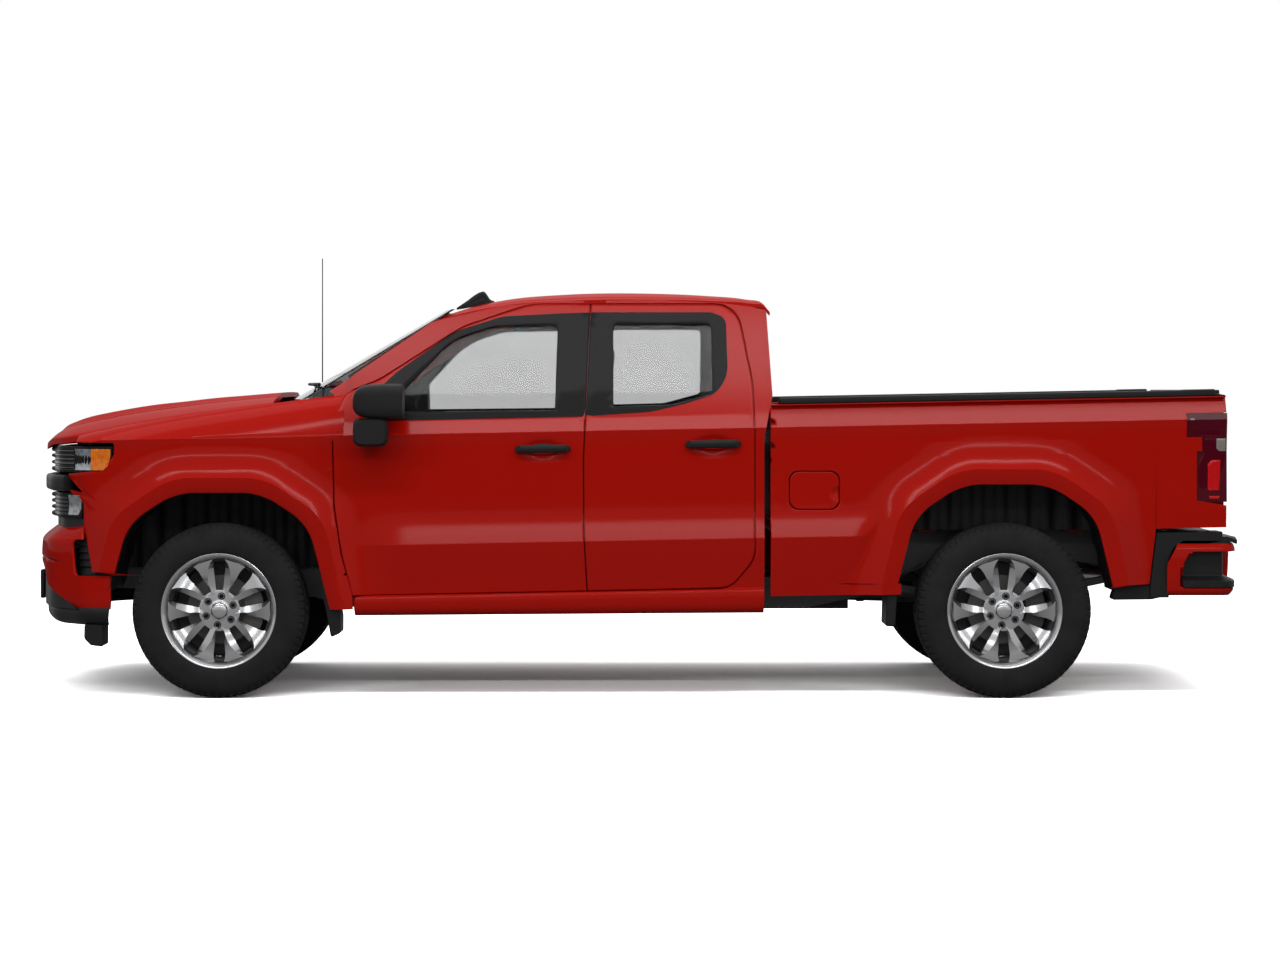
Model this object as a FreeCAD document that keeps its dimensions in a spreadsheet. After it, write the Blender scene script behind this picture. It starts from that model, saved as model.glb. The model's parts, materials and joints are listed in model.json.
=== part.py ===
"""A full-size extended-cab pickup truck, built as an assembly of separate pieces.

Frame: millimetres, +Z up, the truck's nose towards -X, its left side towards -Y. The origin lies on
the ground under the middle of the truck's bounding box.
"""

import FreeCAD, Part

import math
import os

import Sketcher
from FreeCAD import Placement, Rotation, Vector

doc = FreeCAD.newDocument("pickup_truck")

# Driving sizes in millimetres, degrees or plain ratios
SIZES = {
    # overall
    "plate_stand": 45,
    "front_overhang": 950,
    "wheelbase": 3745,
    "rear_overhang": 1145,
    "track": 1732,
    "rake": 0.019,
    "seam": 6,
    "running_gap": 0.3,
    # side profile: half widths and heights at the front edge of the front door
    "rocker_low": 395,
    "rocker_half": 985,
    "sill_height": 490,
    "sill_half": 968,
    "crease_rise": 235,
    "low_crease_half": 1003,
    "waist_rise": 125,
    "waist_half": 978,
    "flank_drop": 120,
    "flank_half": 974,
    "belt_drop": 62,
    "shoulder_half": 990,
    "belt_height": 1312,
    "belt_half": 962,
    "cant_rise": 560,
    "cant_half": 735,
    "door_top_rise": 12,
    "roof_crown": 32,
    "roof_thickness": 25,
    "cab_floor_height": 590,
    "cab_floor_thickness": 35,
    # cab stations, measured back from the front axle
    "door_front": 545,
    "door_split": 1735,
    "door_rear": 2552,
    "cab_back": 2600,
    "bed_gap": 30,
    "door_skin": 14,
    "door_depth": 96,
    "frame_depth": 116,
    "upper_depth": 64,
    "flange": 40,
    "glass_thickness": 6,
    "door_open_gap": 6,
    # outside mirrors
    "mirror_half": 1215,
    "mirror_back": 109,
    "mirror_rise": 22,
    "mirror_depth": 235,
    "mirror_height": 166,
    "mirror_foot": 123,
    # wheels
    "tyre_radius": 417,
    "tyre_half_width": 138,
    "tyre_tread_half": 104,
    "tyre_flats": 72,
    "bead_step": 11,
    "bead_width": 14,
    "wall_reach": 78,
    "tread_drop": 26,
    "bore_spare": 20,
    "bead_radius": 256,
    "rim_flange_radius": 273,
    "rim_half_width": 124,
    "barrel_thickness": 14,
    "hub_radius": 88,
    "bolt_circle": 139.7,
    "lug_radius": 12,
    "disc_radius": 165,
    "disc_thickness": 32,
    # arches
    "arch_half_low": 558,
    "arch_half_mid": 430,
    "arch_half_top": 205,
    "arch_mid_height": 830,
    "arch_top_height": 980,
    "arch_rear_rise": 42,
    "flare_width": 72,
    "flare_half": 1031,
    # hood and nose
    "hood_half": 850,
    "hood_thickness": 26,
    "fender_skin": 20,
    "lamp_inner_half": 560,
    "plate_half": 158,
    "plate_low": 420,
    # load bed
    "ball_hole_radius": 12.7,
    "bed_tail": 1057,
    "bed_floor_height": 805,
    "bed_floor_thickness": 34,
    "bed_wall_lean": 0.035,
    "bed_inner_half": 907,
    "wheelhouse_half": 642,
    "rail_rise": 49,
    "rail_cap": 32,
    "tailgate_low": 838,
    "tail_lamp_inner": 830,
    "tailgate_half": 782,
    "post_half": 788,
    "post_depth": 92,
    # frame and running gear
    "rail_half": 430,
    "rail_width": 84,
    "rail_depth": 150,
    "rail_mid_low": 400,
    "frame_rear_low": 630,
    "kingpin_inset": 161,
    "lower_ball": 305,
    "upper_ball": 650,
    "axle_tube": 42,
    "spring_half": 560,
    "tank_length": 900,
    "tank_width": 290,
    "tank_height": 180,
    "mast_top": 2175,
    # wheel detail
    "lip_thickness": 5,
    "spoke_depth": 28,
    "spoke_face": 86,
    "window_count": 10,
    "window_root": 30,
    "window_width": 56,
    "window_reach": 118,
    "cap_radius": 36,
    "disc_back": 40,
}

sheet = doc.addObject("Spreadsheet::Sheet", "dim")
for row, (alias, number) in enumerate(SIZES.items(), start=1):
    sheet.set(f"A{row}", alias)
    sheet.set(f"B{row}", str(number))
    sheet.setAlias(f"B{row}", alias)
doc.recompute()


def size(alias):
    """A driving size, read from the spreadsheet."""
    return float(sheet.get(alias))


FRONT_AXLE = size("plate_stand") + size("front_overhang") - (
    size("plate_stand") + size("front_overhang") + size("wheelbase") + size("rear_overhang")
) / 2
REAR_AXLE = FRONT_AXLE + size("wheelbase")
TAIL = REAR_AXLE + size("rear_overhang")
NOSE = FRONT_AXLE - size("front_overhang")
AXLE_HEIGHT = size("tyre_radius")
WHEEL_Y = size("track") / 2
SEAM = size("seam")
RAKE = size("rake")
UP = Vector(0, 0, 1)
LOW_CREASE = size("sill_height") + size("crease_rise")
WAIST = LOW_CREASE + size("waist_rise")
SHOULDER = size("belt_height") - size("belt_drop")
FLANK = SHOULDER - size("flank_drop")
CANT = size("belt_height") + size("cant_rise")
DOOR_TOP = CANT + size("door_top_rise")
RAIL_TOP = size("belt_height") + size("rail_rise")

NODES = []


def from_front(distance):
    """Station behind the front axle."""
    return FRONT_AXLE + distance


def from_rear(distance):
    """Station behind the rear axle."""
    return REAR_AXLE + distance


def raked(height, station):
    """Height of a body line at a station, since the body sits nose-down by the rake."""
    return height + RAKE * (station - from_front(size("door_front")))


def rounded_wire(points, place):
    """Closed wire through flat points; a third number rounds that corner with a tangent arc."""
    count = len(points)
    corners = []
    for index, point in enumerate(points):
        here = Vector(point[0], point[1], 0)
        before = Vector(*points[index - 1][:2], 0)
        after = Vector(*points[(index + 1) % count][:2], 0)
        radius = point[2] if len(point) > 2 else 0
        if not radius:
            corners.append((here, None, here))
            continue
        back = (before - here).normalize()
        forth = (after - here).normalize()
        half = math.acos(max(-1, min(1, back.dot(forth)))) / 2
        room = 0.49 * min((before - here).Length, (after - here).Length)
        reach = min(radius / math.tan(half), room)
        radius = reach * math.tan(half)
        middle = here + (back + forth).normalize() * (radius / math.sin(half) - radius)
        corners.append((here + back * reach, middle, here + forth * reach))
    edges = []
    for index, (start, middle, end) in enumerate(corners):
        if middle is not None:
            edges.append(Part.Arc(place(start), place(middle), place(end)).toShape())
        following = corners[(index + 1) % count][0]
        if (following - end).Length > 1e-6:
            edges.append(Part.LineSegment(place(end), place(following)).toShape())
    return Part.Wire(edges)


def side_prism(points, y_from, y_to):
    """Outline in side view (station, height), carried across the truck."""
    wire = rounded_wire(points, lambda p: Vector(p.x, y_from, p.y))
    return Part.Face(wire).extrude(Vector(0, y_to - y_from, 0))


def plan_prism(points, z_from, z_to):
    """Outline in plan view (station, side), carried upwards."""
    wire = rounded_wire(points, lambda p: Vector(p.x, p.y, z_from))
    return Part.Face(wire).extrude(Vector(0, 0, z_to - z_from))


def front_prism(points, x_from, x_to, rake=0.0):
    """Outline in front view (side, height), carried along the truck and up by the rake."""
    wire = rounded_wire(points, lambda p: Vector(x_from, p.x, p.y))
    run = x_to - x_from
    return Part.Face(wire).extrude(Vector(run, 0, run * rake))


def box(x_from, x_to, y_from, y_to, z_from, z_to):
    """A plain block between two corners."""
    return Part.makeBox(x_to - x_from, y_to - y_from, z_to - z_from, Vector(x_from, y_from, z_from))


def rod(start, end, radius):
    """A round bar between two points."""
    start, end = Vector(*start), Vector(*end)
    return Part.makeCylinder(radius, (end - start).Length, start, end - start)


def both_sides(shape):
    """A left-hand shape and its mirror image on the right."""
    return Part.makeCompound([shape, shape.mirror(Vector(0, 0, 0), Vector(0, 1, 0))])


def fuse(shapes):
    """One shape from several, with the seams between their faces removed."""
    first, *others = shapes
    return first.fuse(others).removeSplitter() if others else first


def piece(name, shape):
    """A sub-part whose shape is worked out by this script."""
    item = doc.addObject("Part::Feature", name)
    item.Shape = shape
    item.Label = name
    NODES.append(item)
    return item


def mirrored_piece(name, source):
    """The right-hand twin of a left-hand sub-part."""
    item = doc.addObject("Part::Mirroring", name)
    item.Source = source
    item.Base = Vector(0, 0, 0)
    item.Normal = Vector(0, 1, 0)
    item.Label = name
    NODES.append(item)
    return item


# Body side: one profile gives the skin of doors, pillars, fenders and bed sides

def side_profile():
    """Half widths and heights of the left body side, from the rocker up to the roof's edge."""
    return [
        (size("rocker_half") - 45, size("rocker_low")),
        (size("rocker_half"), size("rocker_low") + 35),
        (size("rocker_half"), size("sill_height") - 20),
        (size("sill_half"), size("sill_height")),
        (size("low_crease_half"), LOW_CREASE),
        (size("waist_half"), WAIST),
        (size("flank_half"), FLANK),
        (size("shoulder_half"), SHOULDER),
        (size("belt_half"), size("belt_height")),
        (size("cant_half"), CANT),
        (size("cant_half") - 40, CANT + 100),
    ]


def half_at(height):
    """Half width of the body side at an unraked height."""
    points = side_profile()
    for (low_half, low), (high_half, high) in zip(points, points[1:]):
        if low <= height <= high:
            return low_half + (high_half - low_half) * (height - low) / (high - low)
    return points[-1][0]


def side_band(depth_from, depth_to, x_from, x_to):
    """The left body side between two depths under its skin, along part of the truck."""
    points = side_profile()
    lift = RAKE * (x_from - from_front(size("door_front")))
    outer = [(-half + depth_from, height + lift) for half, height in points]
    inner = [(-half + depth_to, height + lift) for half, height in reversed(points)]
    return front_prism(outer + inner, x_from, x_to, RAKE)


def shrink(points, distance):
    """A side outline with every edge moved inwards; corner radii stay."""
    area = sum(a[0] * b[1] - b[0] * a[1] for a, b in zip(points, points[1:] + points[:1]))
    turn = 1 if area > 0 else -1
    lines = []
    for a, b in zip(points, points[1:] + points[:1]):
        run = Vector(b[0] - a[0], b[1] - a[1], 0).normalize()
        inward = Vector(-run.y, run.x, 0) * turn * distance
        lines.append((Vector(a[0], a[1], 0) + inward, run))
    moved = []
    for index, point in enumerate(points):
        (p, u), (q, v) = lines[index - 1], lines[index]
        cross = u.x * v.y - u.y * v.x
        if abs(cross) < 1e-6:
            corner = q
        else:
            gap = q - p
            corner = p + u * ((gap.x * v.y - gap.y * v.x) / cross)
        moved.append((corner.x, corner.y, *point[2:]))
    return moved


DOOR_FRONT = from_front(size("door_front"))
DOOR_SPLIT = from_front(size("door_split"))
DOOR_REAR = from_front(size("door_rear"))
CAB_BACK = from_front(size("cab_back"))


def front_door_outline():
    """Front door in side view, counted from its lower front corner."""
    x, split = DOOR_FRONT, DOOR_SPLIT
    top = DOOR_TOP
    return [
        (x + 95, size("sill_height") + 6),
        (x + 45, LOW_CREASE - 38, 220),
        (x + 8, WAIST + 70, 300),
        (x, SHOULDER, 160),
        (x + 12, size("belt_height") + 50, 110),
        (x + 55, size("belt_height") + 142, 30),
        (x + 215, size("belt_height") + 206, 300),
        (x + 605, top - 112, 420),
        (x + 935, top, 420),
        (split + 34, top),
        (split + 8, raked(size("belt_height"), split), 40),
        (split, FLANK, 400),
        (split + 2, LOW_CREASE + 60, 300),
        (split + 18, raked(size("sill_height"), split)),
    ]


def rear_door_outline():
    """Rear door in side view, behind the front door by one seam."""
    split, rear = DOOR_SPLIT + SEAM, DOOR_REAR
    top = DOOR_TOP
    return [
        (split + 18, raked(size("sill_height"), split)),
        (split + 2, LOW_CREASE + 60, 300),
        (split, FLANK, 400),
        (split + 8, raked(size("belt_height"), split), 40),
        (split + 34, top),
        (rear - 75, top, 130),
        (rear - 8, size("belt_height") + 200, 300),
        (rear, size("belt_height"), 300),
        (rear, LOW_CREASE - 60, 130),
        (rear - 115, raked(size("sill_height"), rear), 120),
    ]


def front_window_outline():
    """Glass opening of the front door."""
    x, split = DOOR_FRONT, DOOR_SPLIT
    low = raked(size("belt_height"), split) + 38
    high = CANT - 90
    return [
        (x + 250, low - 8, 30),
        (x + 330, low + 95, 60),
        (x + 560, high - 70, 300),
        (x + 760, high - 6, 200),
        (split - 122, high, 25),
        (split - 134, low, 10),
    ]


def rear_window_outline():
    """Glass opening of the rear door."""
    split, rear = DOOR_SPLIT + SEAM, DOOR_REAR
    low = raked(size("belt_height"), split) + 56
    high = CANT - 84
    return [
        (split + 140, low, 20),
        (split + 140, high, 25),
        (rear - 200, high, 25),
        (rear - 200, low + 60, 25),
        (split + 420, low + 8, 200),
    ]


def mirror_head():
    """Outside mirror: a rounded head on a foot that leans out from the door's front corner."""
    x, base = DOOR_FRONT + size("mirror_back"), size("belt_height") + size("mirror_rise")
    out, deep, tall, foot = (size(f"mirror_{word}") for word in ("half", "depth", "height", "foot"))
    head = side_prism(
        [
            (x, base, 35),
            (x + 14, base + tall, 60),
            (x + deep, base + tall, 28),
            (x + deep, base, 24),
        ],
        -out,
        -1015,
    )
    arm = front_prism(
        [
            (-out + 40, base + 1, 20),
            (-out + 75, base - foot, 40),
            (-(size("shoulder_half") - 30), base - foot, 10),
            (-(size("shoulder_half") - 30), base - 8),
            (-1016, base + 1),
        ],
        x,
        x + 0.7 * deep,
    )
    return fuse([head, arm])


def door_handle(x_rear, z):
    """Pull handle: a bar that stands off the skin on two feet."""
    skin = half_at(FLANK)
    length, height = 270, 42
    bar = side_prism(
        [
            (x_rear - length, z - height / 2, 20),
            (x_rear - length, z + height / 2, 20),
            (x_rear, z + height / 2, 20),
            (x_rear, z - height / 2, 20),
        ],
        -skin - 42,
        -skin - 22,
    )
    feet = [
        box(x_rear - length + 12, x_rear - length + 70, -skin - 24, -skin + 8, z - 16, z + 16),
        box(x_rear - 75, x_rear - 12, -skin - 24, -skin + 8, z - 16, z + 16),
    ]
    return fuse([bar, *feet])


def door(name, outline, window, extras):
    """A door: a full-size skin, a deep lower box and a shallower window frame inside the opening."""
    x_from, x_to = DOOR_FRONT - 50, DOOR_REAR + 50
    inset = size("flange") + size("door_open_gap")
    skin = side_band(0, size("door_skin"), x_from, x_to).common(side_prism(outline, -1200, -500))
    inner = side_prism(shrink(outline, inset), -1200, -500)
    low = side_band(size("door_skin"), size("door_depth"), x_from, x_to).common(inner)
    belt = box(x_from, x_to, -1200, -500, 0, raked(size("belt_height"), DOOR_SPLIT))
    low = low.common(belt)
    high = side_band(size("door_skin"), size("upper_depth") - 6, x_from, x_to).common(inner).cut(belt)
    shell = fuse([skin, low, high]).cut(side_prism(window, -1200, -500))
    item = piece(name, fuse([shell, *extras]))
    pane = side_band(
        size("door_skin") - 1 - size("glass_thickness"), size("door_skin") - 1, x_from, x_to
    ).common(side_prism(window, -1200, -500))
    glass = piece(name.replace("door", "glass"), pane)
    return item, glass


front_handle = door_handle(DOOR_SPLIT - 62, SHOULDER - 62)
rear_handle = door_handle(DOOR_REAR - 64, SHOULDER - 36)
door_front_left, glass_front_left = door(
    "door_front_left", front_door_outline(), front_window_outline(), [front_handle, mirror_head()]
)
door_rear_left, glass_rear_left = door(
    "door_rear_left", rear_door_outline(), rear_window_outline(), [rear_handle]
)
for twin in (door_front_left, glass_front_left, door_rear_left, glass_rear_left):
    mirrored_piece(twin.Label.replace("left", "right"), twin)


# Cab

def roof_line():
    """Stations of the roof's edge, each with its height, from the windscreen to the back."""
    top = DOOR_TOP
    return [
        (DOOR_FRONT + 460, top - 86),
        (DOOR_FRONT + 800, top - 4),
        (DOOR_FRONT + 1100, top + 16),
        (DOOR_FRONT + 1550, top + 22),
        (CAB_BACK - 206, top + 8),
        (CAB_BACK - 54, top - 12),
        (CAB_BACK + 20, top - 28),
    ]


def cab_outline():
    """The cab's side, from the hinge pillar over the windscreen pillar and the roof to the back."""
    x = DOOR_FRONT
    return [
        (x + 100, size("rocker_low")),
        (x + 100, size("sill_height") - 14),
        (x + 10, size("sill_height") + 30),
        (x - 4, size("belt_height") + 20),
        (x - 4, size("belt_height") + 138),
        (x - 28, size("belt_height") + 150),
        *roof_line(),
        (CAB_BACK + 42, size("belt_height") + 130, 60),
        (CAB_BACK, SHOULDER, 60),
        (CAB_BACK, size("rocker_low") + 30),
    ]


def hinge_pockets(x_from, x_to):
    """Room in the pillars for the front edge of each door, which swings inwards as it opens."""
    pockets = []
    for edge in (DOOR_FRONT - 30, DOOR_SPLIT + SEAM - 4):
        low = box(edge, edge + 110, -1200, -500, 0, size("belt_height") + 20)
        high = box(edge, edge + 110, -1200, -500, size("belt_height"), 2000)
        pockets.append(side_band(-60, 76, x_from, x_to).common(low))
        pockets.append(side_band(-60, 42, x_from, x_to).common(high))
    return pockets


def door_hinges(door_shape, edge):
    """Hinge leaves on a pillar that meet the front face of a door."""
    leaves = []
    for low in (660, 1060):
        skin = half_at(low) - size("door_skin")
        leaf = box(edge + 26, edge + 120, -skin + 64, -skin + 70, low, low + 80)
        leaf = leaf.cut(door_shape.translated(Vector(-size("running_gap"), 0, 0)))
        leaves.append(min(leaf.Solids, key=lambda solid: solid.BoundBox.XMin))
    return leaves


def side_frame():
    """Pillars, sill and cant rail as one pressing, with a stepped opening for each door."""
    x_from, x_to = DOOR_FRONT - 250, CAB_BACK + 60
    depth = size("frame_depth")
    whole = side_band(0, depth, x_from, x_to).common(side_prism(cab_outline(), -1200, -400))
    upper = box(x_from, x_to, -1200, -500, raked(size("belt_height"), DOOR_SPLIT), 2000)
    whole = whole.cut(side_band(size("upper_depth"), depth + 200, x_from, x_to).common(upper))
    sill = box(x_from, x_to, -1300, -400, 0, size("sill_height") + 6)
    for pocket in hinge_pockets(x_from, x_to):
        whole = whole.cut(pocket.cut(sill))
    for outline in (front_door_outline(), rear_door_outline()):
        step = side_band(-60, size("door_skin") + size("door_open_gap"), x_from, x_to)
        whole = whole.cut(step.common(side_prism(shrink(outline, -SEAM), -1300, -400)))
        whole = whole.cut(side_prism(shrink(outline, size("flange")), -1300, -400))
    hinges = door_hinges(door_front_left.Shape, DOOR_FRONT)
    hinges += door_hinges(door_rear_left.Shape, DOOR_SPLIT + SEAM)
    return fuse([whole, *hinges])




def roof_section(station, edge_height):
    """One cross-section of the roof panel, whose edge stands on the side frame."""
    lift = RAKE * (station - DOOR_FRONT)
    half = half_at(edge_height - lift)
    thick, crown = size("roof_thickness"), size("roof_crown")
    low, high = edge_height, edge_height + thick
    inset = 0.45 * thick
    corners = [Vector(station, -half, low), Vector(station, -half + inset, high)]
    corners += [Vector(station, half - inset, high), Vector(station, half, low)]
    return Part.Wire(
        [
            Part.LineSegment(corners[0], corners[1]).toShape(),
            Part.Arc(corners[1], Vector(station, 0, high + crown), corners[2]).toShape(),
            Part.LineSegment(corners[2], corners[3]).toShape(),
            Part.Arc(corners[3], Vector(station, 0, low + crown), corners[0]).toShape(),
        ]
    )


SCREEN_RUN = Vector(752, 0, 438)
SCREEN_MIDDLE = from_front(279)
SCREEN_EDGE = from_front(392)


def roof_panel():
    """Roof, crowned across, whose front edge bows with the windscreen."""
    panel = Part.makeLoft([roof_section(*s) for s in roof_line()], True, True)
    gap = 14
    middle, edge = SCREEN_MIDDLE + SCREEN_RUN.x + gap, SCREEN_EDGE + SCREEN_RUN.x + gap
    bow = Part.Arc(Vector(edge, -880, 1500), Vector(middle, 0, 1500), Vector(edge, 880, 1500)).toShape()
    ahead = [Vector(edge, 880, 1500), Vector(-2000, 880, 1500)]
    ahead += [Vector(-2000, -880, 1500), Vector(edge, -880, 1500)]
    front = Part.Face(Part.Wire([bow, *Part.makePolygon(ahead).Edges])).extrude(Vector(0, 0, 700))
    return panel.cut(front)


ROOF = roof_panel()
piece("roof", ROOF)


def cab_inside(x_from, x_to, depth):
    """The space between the side frames, as a solid to trim cross panels with."""
    points = side_profile()
    lift = RAKE * (x_from - from_front(size("door_front")))
    left = [(-half + depth, height + lift) for half, height in points]
    right = [(half - depth, height + lift) for half, height in reversed(points)]
    return front_prism(left + right, x_from, x_to, RAKE)


def cab_tub():
    """Floor, firewall and back wall, welded into one tub."""
    x_from = DOOR_FRONT - 30
    low = size("cab_floor_height")
    inside = cab_inside(x_from, CAB_BACK + 50, size("frame_depth"))
    floor = inside.common(box(x_from, CAB_BACK, -1000, 1000, low, low + size("cab_floor_thickness")))
    firewall = inside.common(box(x_from, x_from + 45, -1000, 1000, low, size("belt_height") + 60))
    wall_points = [
        (CAB_BACK - 50, low),
        (CAB_BACK, low),
        (CAB_BACK, SHOULDER),
        (CAB_BACK + 42, size("belt_height") + 130),
        (CAB_BACK + 12, CANT - 6),
        (CAB_BACK - 38, CANT - 6),
        (CAB_BACK - 8, size("belt_height") + 130),
        (CAB_BACK - 50, SHOULDER),
    ]
    wall = side_prism(wall_points, -1000, 1000)
    upper_inside = cab_inside(x_from, CAB_BACK + 60, size("upper_depth"))
    split = raked(size("belt_height"), DOOR_SPLIT)
    wall = fuse(
        [
            wall.common(inside).common(box(-3000, 3000, -1000, 1000, 0, split)),
            wall.common(upper_inside).common(box(-3000, 3000, -1000, 1000, split, 2000)),
        ]
    )
    window = back_window_prism(0)
    return fuse([floor, firewall, wall]).cut(window).cut(ROOF)


def back_window_prism(grow):
    """Opening of the back window, seen from behind."""
    low, high = size("belt_height") + 105, CANT - 95
    return front_prism(
        [
            (-680 - grow, low - grow, 70),
            (-600 - grow, high + grow, 70),
            (600 + grow, high + grow, 70),
            (680 + grow, low - grow, 70),
        ],
        CAB_BACK - 150,
        CAB_BACK + 150,
    )


tub = piece("cab_tub", cab_tub())


def windscreen():
    """Bowed windscreen: a plan arc carried up the slope of the pillars."""
    base = size("belt_height") + 113
    middle, edge, half = SCREEN_MIDDLE, SCREEN_EDGE, 880
    thick = 16
    front = Part.Arc(Vector(edge, -half, base), Vector(middle, 0, base), Vector(edge, half, base))
    back = Part.Arc(
        Vector(edge + thick, half, base), Vector(middle + thick, 0, base), Vector(edge + thick, -half, base)
    )
    ends = [
        Part.LineSegment(Vector(edge, half, base), Vector(edge + thick, half, base)),
        Part.LineSegment(Vector(edge + thick, -half, base), Vector(edge, -half, base)),
    ]
    face = Part.Face(Part.Wire([s.toShape() for s in (front, ends[0], back, ends[1])]))
    sheet_glass = face.extrude(SCREEN_RUN)
    inside = cab_inside(from_front(200), from_front(1300), size("upper_depth"))
    return sheet_glass.common(inside).cut(ROOF)


def back_glass():
    """Pane of the back window, in the middle of the wall's thickness."""
    pane = side_prism(
        [
            (CAB_BACK + 17, size("belt_height") + 20),
            (CAB_BACK + 23, size("belt_height") + 20),
            (CAB_BACK + 23, size("belt_height") + 130),
            (CAB_BACK - 7, CANT - 6),
            (CAB_BACK - 13, CANT - 6),
            (CAB_BACK + 17, size("belt_height") + 130),
        ],
        -1000,
        1000,
    )
    return pane.common(back_window_prism(0))


piece("cab_glass", Part.makeCompound([windscreen(), back_glass()]))

# Fenders, with the flare round each arch

def arch_outline(centre, rise, grow):
    """Wheel arch opening; grow moves it outwards, as for the crease of the flare."""
    low = 200
    return [
        (centre - size("arch_half_low") - 42 - grow, low),
        (centre - size("arch_half_mid") - grow, size("arch_mid_height") + rise + 0.5 * grow, 260),
        (centre - size("arch_half_top") - 0.3 * grow, size("arch_top_height") + rise + grow, 320),
        (centre + size("arch_half_top") + 0.3 * grow, size("arch_top_height") + rise + grow, 320),
        (centre + size("arch_half_mid") + grow, size("arch_mid_height") + rise + 0.5 * grow, 260),
        (centre + size("arch_half_low") + 32 + grow, low),
    ]


def flare(centre, rise, low):
    """Raised band round an arch: widest at its crease and falling back towards the lip."""
    grow, out = size("flare_width"), size("flare_half")

    def ring(extra, y):
        return rounded_wire(arch_outline(centre, rise, extra), lambda p: Vector(p.x, y, p.y))

    swell = Part.makeLoft([ring(grow + 170, -970), ring(grow, -out), ring(0, -out + 16)], True, True)
    floor = box(centre - 900, centre + 900, -1200, -900, 0, low)
    return swell.cut(floor)


def nose_plan(offset):
    """Half of the nose in plan, from the side to the middle line, moved back by an offset."""
    x = FRONT_AXLE
    return [
        (x - 420, -990 + offset),
        (x - 640 + 0.4 * offset, -962 + 0.9 * offset),
        (x - 800 + 0.8 * offset, -800 + 0.7 * offset),
        (x - 878 + offset, -500),
        (x - 900 + offset, 0),
    ]


def nose_x(half, offset):
    """Station of the nose at a distance from the middle line."""
    points = nose_plan(offset)
    for (x_out, y_out), (x_in, y_in) in zip(points, points[1:]):
        if y_out <= -half <= y_in:
            return x_out + (x_in - x_out) * (-half - y_out) / (y_in - y_out)
    return points[-1][0]


def nose_band(depth_from, depth_to, z_from, z_to, radii=(0, 130, 160, 200, 0)):
    """Upright skin that follows the nose's plan, on the left half."""
    outer = [(*p, r) if r else p for p, r in zip(nose_plan(depth_from), radii)]
    inner = [(*p, r) if r else p for p, r in zip(nose_plan(depth_to), radii)]
    return plan_prism(outer + inner[::-1], z_from, z_to)


def hood_edge(station):
    """Height of the seam between hood and fender."""
    back = station - FRONT_AXLE
    return size("belt_height") + 62 + 0.13 * back - 0.00011 * min(back, 0) ** 2 * 0.62


def fender_section(station):
    """Cross-section of the left fender: flank, shoulder and the top that runs in to the hood."""
    lift = RAKE * (station - DOOR_FRONT)
    edge = hood_edge(station)
    shoulder = min(SHOULDER + lift, edge - 95)
    belt = min(size("belt_height") + lift + 6, edge - 36)
    line = [
        (size("sill_half"), 430),
        (size("low_crease_half"), LOW_CREASE + lift),
        (size("waist_half"), WAIST + lift),
        (size("flank_half"), FLANK + lift - 60),
        (size("shoulder_half"), shoulder),
        (size("belt_half"), belt),
        (size("hood_half") + SEAM, edge),
    ]
    skin = size("fender_skin")
    inner = [(half - skin, height - (skin if half < size("belt_half") + 1 else 0)) for half, height in line]
    inner[-1] = (line[-1][0], line[-1][1] - skin)
    inner[0] = (line[0][0] - skin, line[0][1])
    return Part.makePolygon([Vector(station, -h, z) for h, z in [*line, *reversed(inner), line[0]]])


def fender_outline():
    """Front fender in side view."""
    x = FRONT_AXLE
    door_line = DOOR_FRONT - SEAM
    return [
        (door_line + 103, size("rocker_low") + 32),
        (door_line + 98, size("sill_height") + 6),
        (door_line + 45, LOW_CREASE - 38, 220),
        (door_line + 8, WAIST + 70, 300),
        (door_line, SHOULDER, 160),
        (door_line + 12, size("belt_height") + 50, 110),
        (door_line + 52, size("belt_height") + 142),
        (x - 700, size("belt_height") + 200),
        (x - 640, size("belt_height") - 94),
        (x - 500, size("belt_height") - 106),
        (x - 500, size("belt_height") - 162, 40),
        (x - 590, size("belt_height") - 228, 30),
        (x - 735, size("belt_height") - 244),
        (x - 729, size("belt_height") - 327),
        (x - 655, size("belt_height") - 330),
        (x - 648, size("belt_height") - 490),
        (x - 598, 592),
        (x - 440, 588),
    ]


def fender():
    """Left fender: the side skin, the wrap round the nose and the flare, cut out for the wheel."""
    outline = side_prism(fender_outline(), -1300, -600)
    stations = [FRONT_AXLE - 560, FRONT_AXLE - 380, FRONT_AXLE - 190, FRONT_AXLE, DOOR_FRONT + 110]
    skin = Part.makeLoft([fender_section(s) for s in stations], True, True).common(outline)
    corner = nose_band(0, size("fender_skin"), 400, 1205).common(outline)
    body = fuse([skin, corner, flare(FRONT_AXLE, 0, 430).common(outline)])
    return body.cut(side_prism(arch_outline(FRONT_AXLE, 0, 0), -1300, -600))


FENDER = fender()
piece("fenders", both_sides(FENDER))
piece("side_frames", both_sides(side_frame().cut(FENDER)))


# Hood

HOOD_REAR = FRONT_AXLE + 245
HOOD_PIVOT = Vector(FRONT_AXLE + 310, 0, size("belt_height") + 62)


def hood_section(station, half, edge, middle):
    """One cross-section of the hood, crowned across."""
    thick = size("hood_thickness")
    left, right = Vector(station, -half, edge), Vector(station, half, edge)
    low_left, low_right = left - UP * thick, right - UP * thick
    return Part.Wire(
        [
            Part.Arc(left, Vector(station, 0, middle), right).toShape(),
            Part.LineSegment(right, low_right).toShape(),
            Part.Arc(low_right, Vector(station, 0, middle - thick), low_left).toShape(),
            Part.LineSegment(low_left, left).toShape(),
        ]
    )


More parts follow.
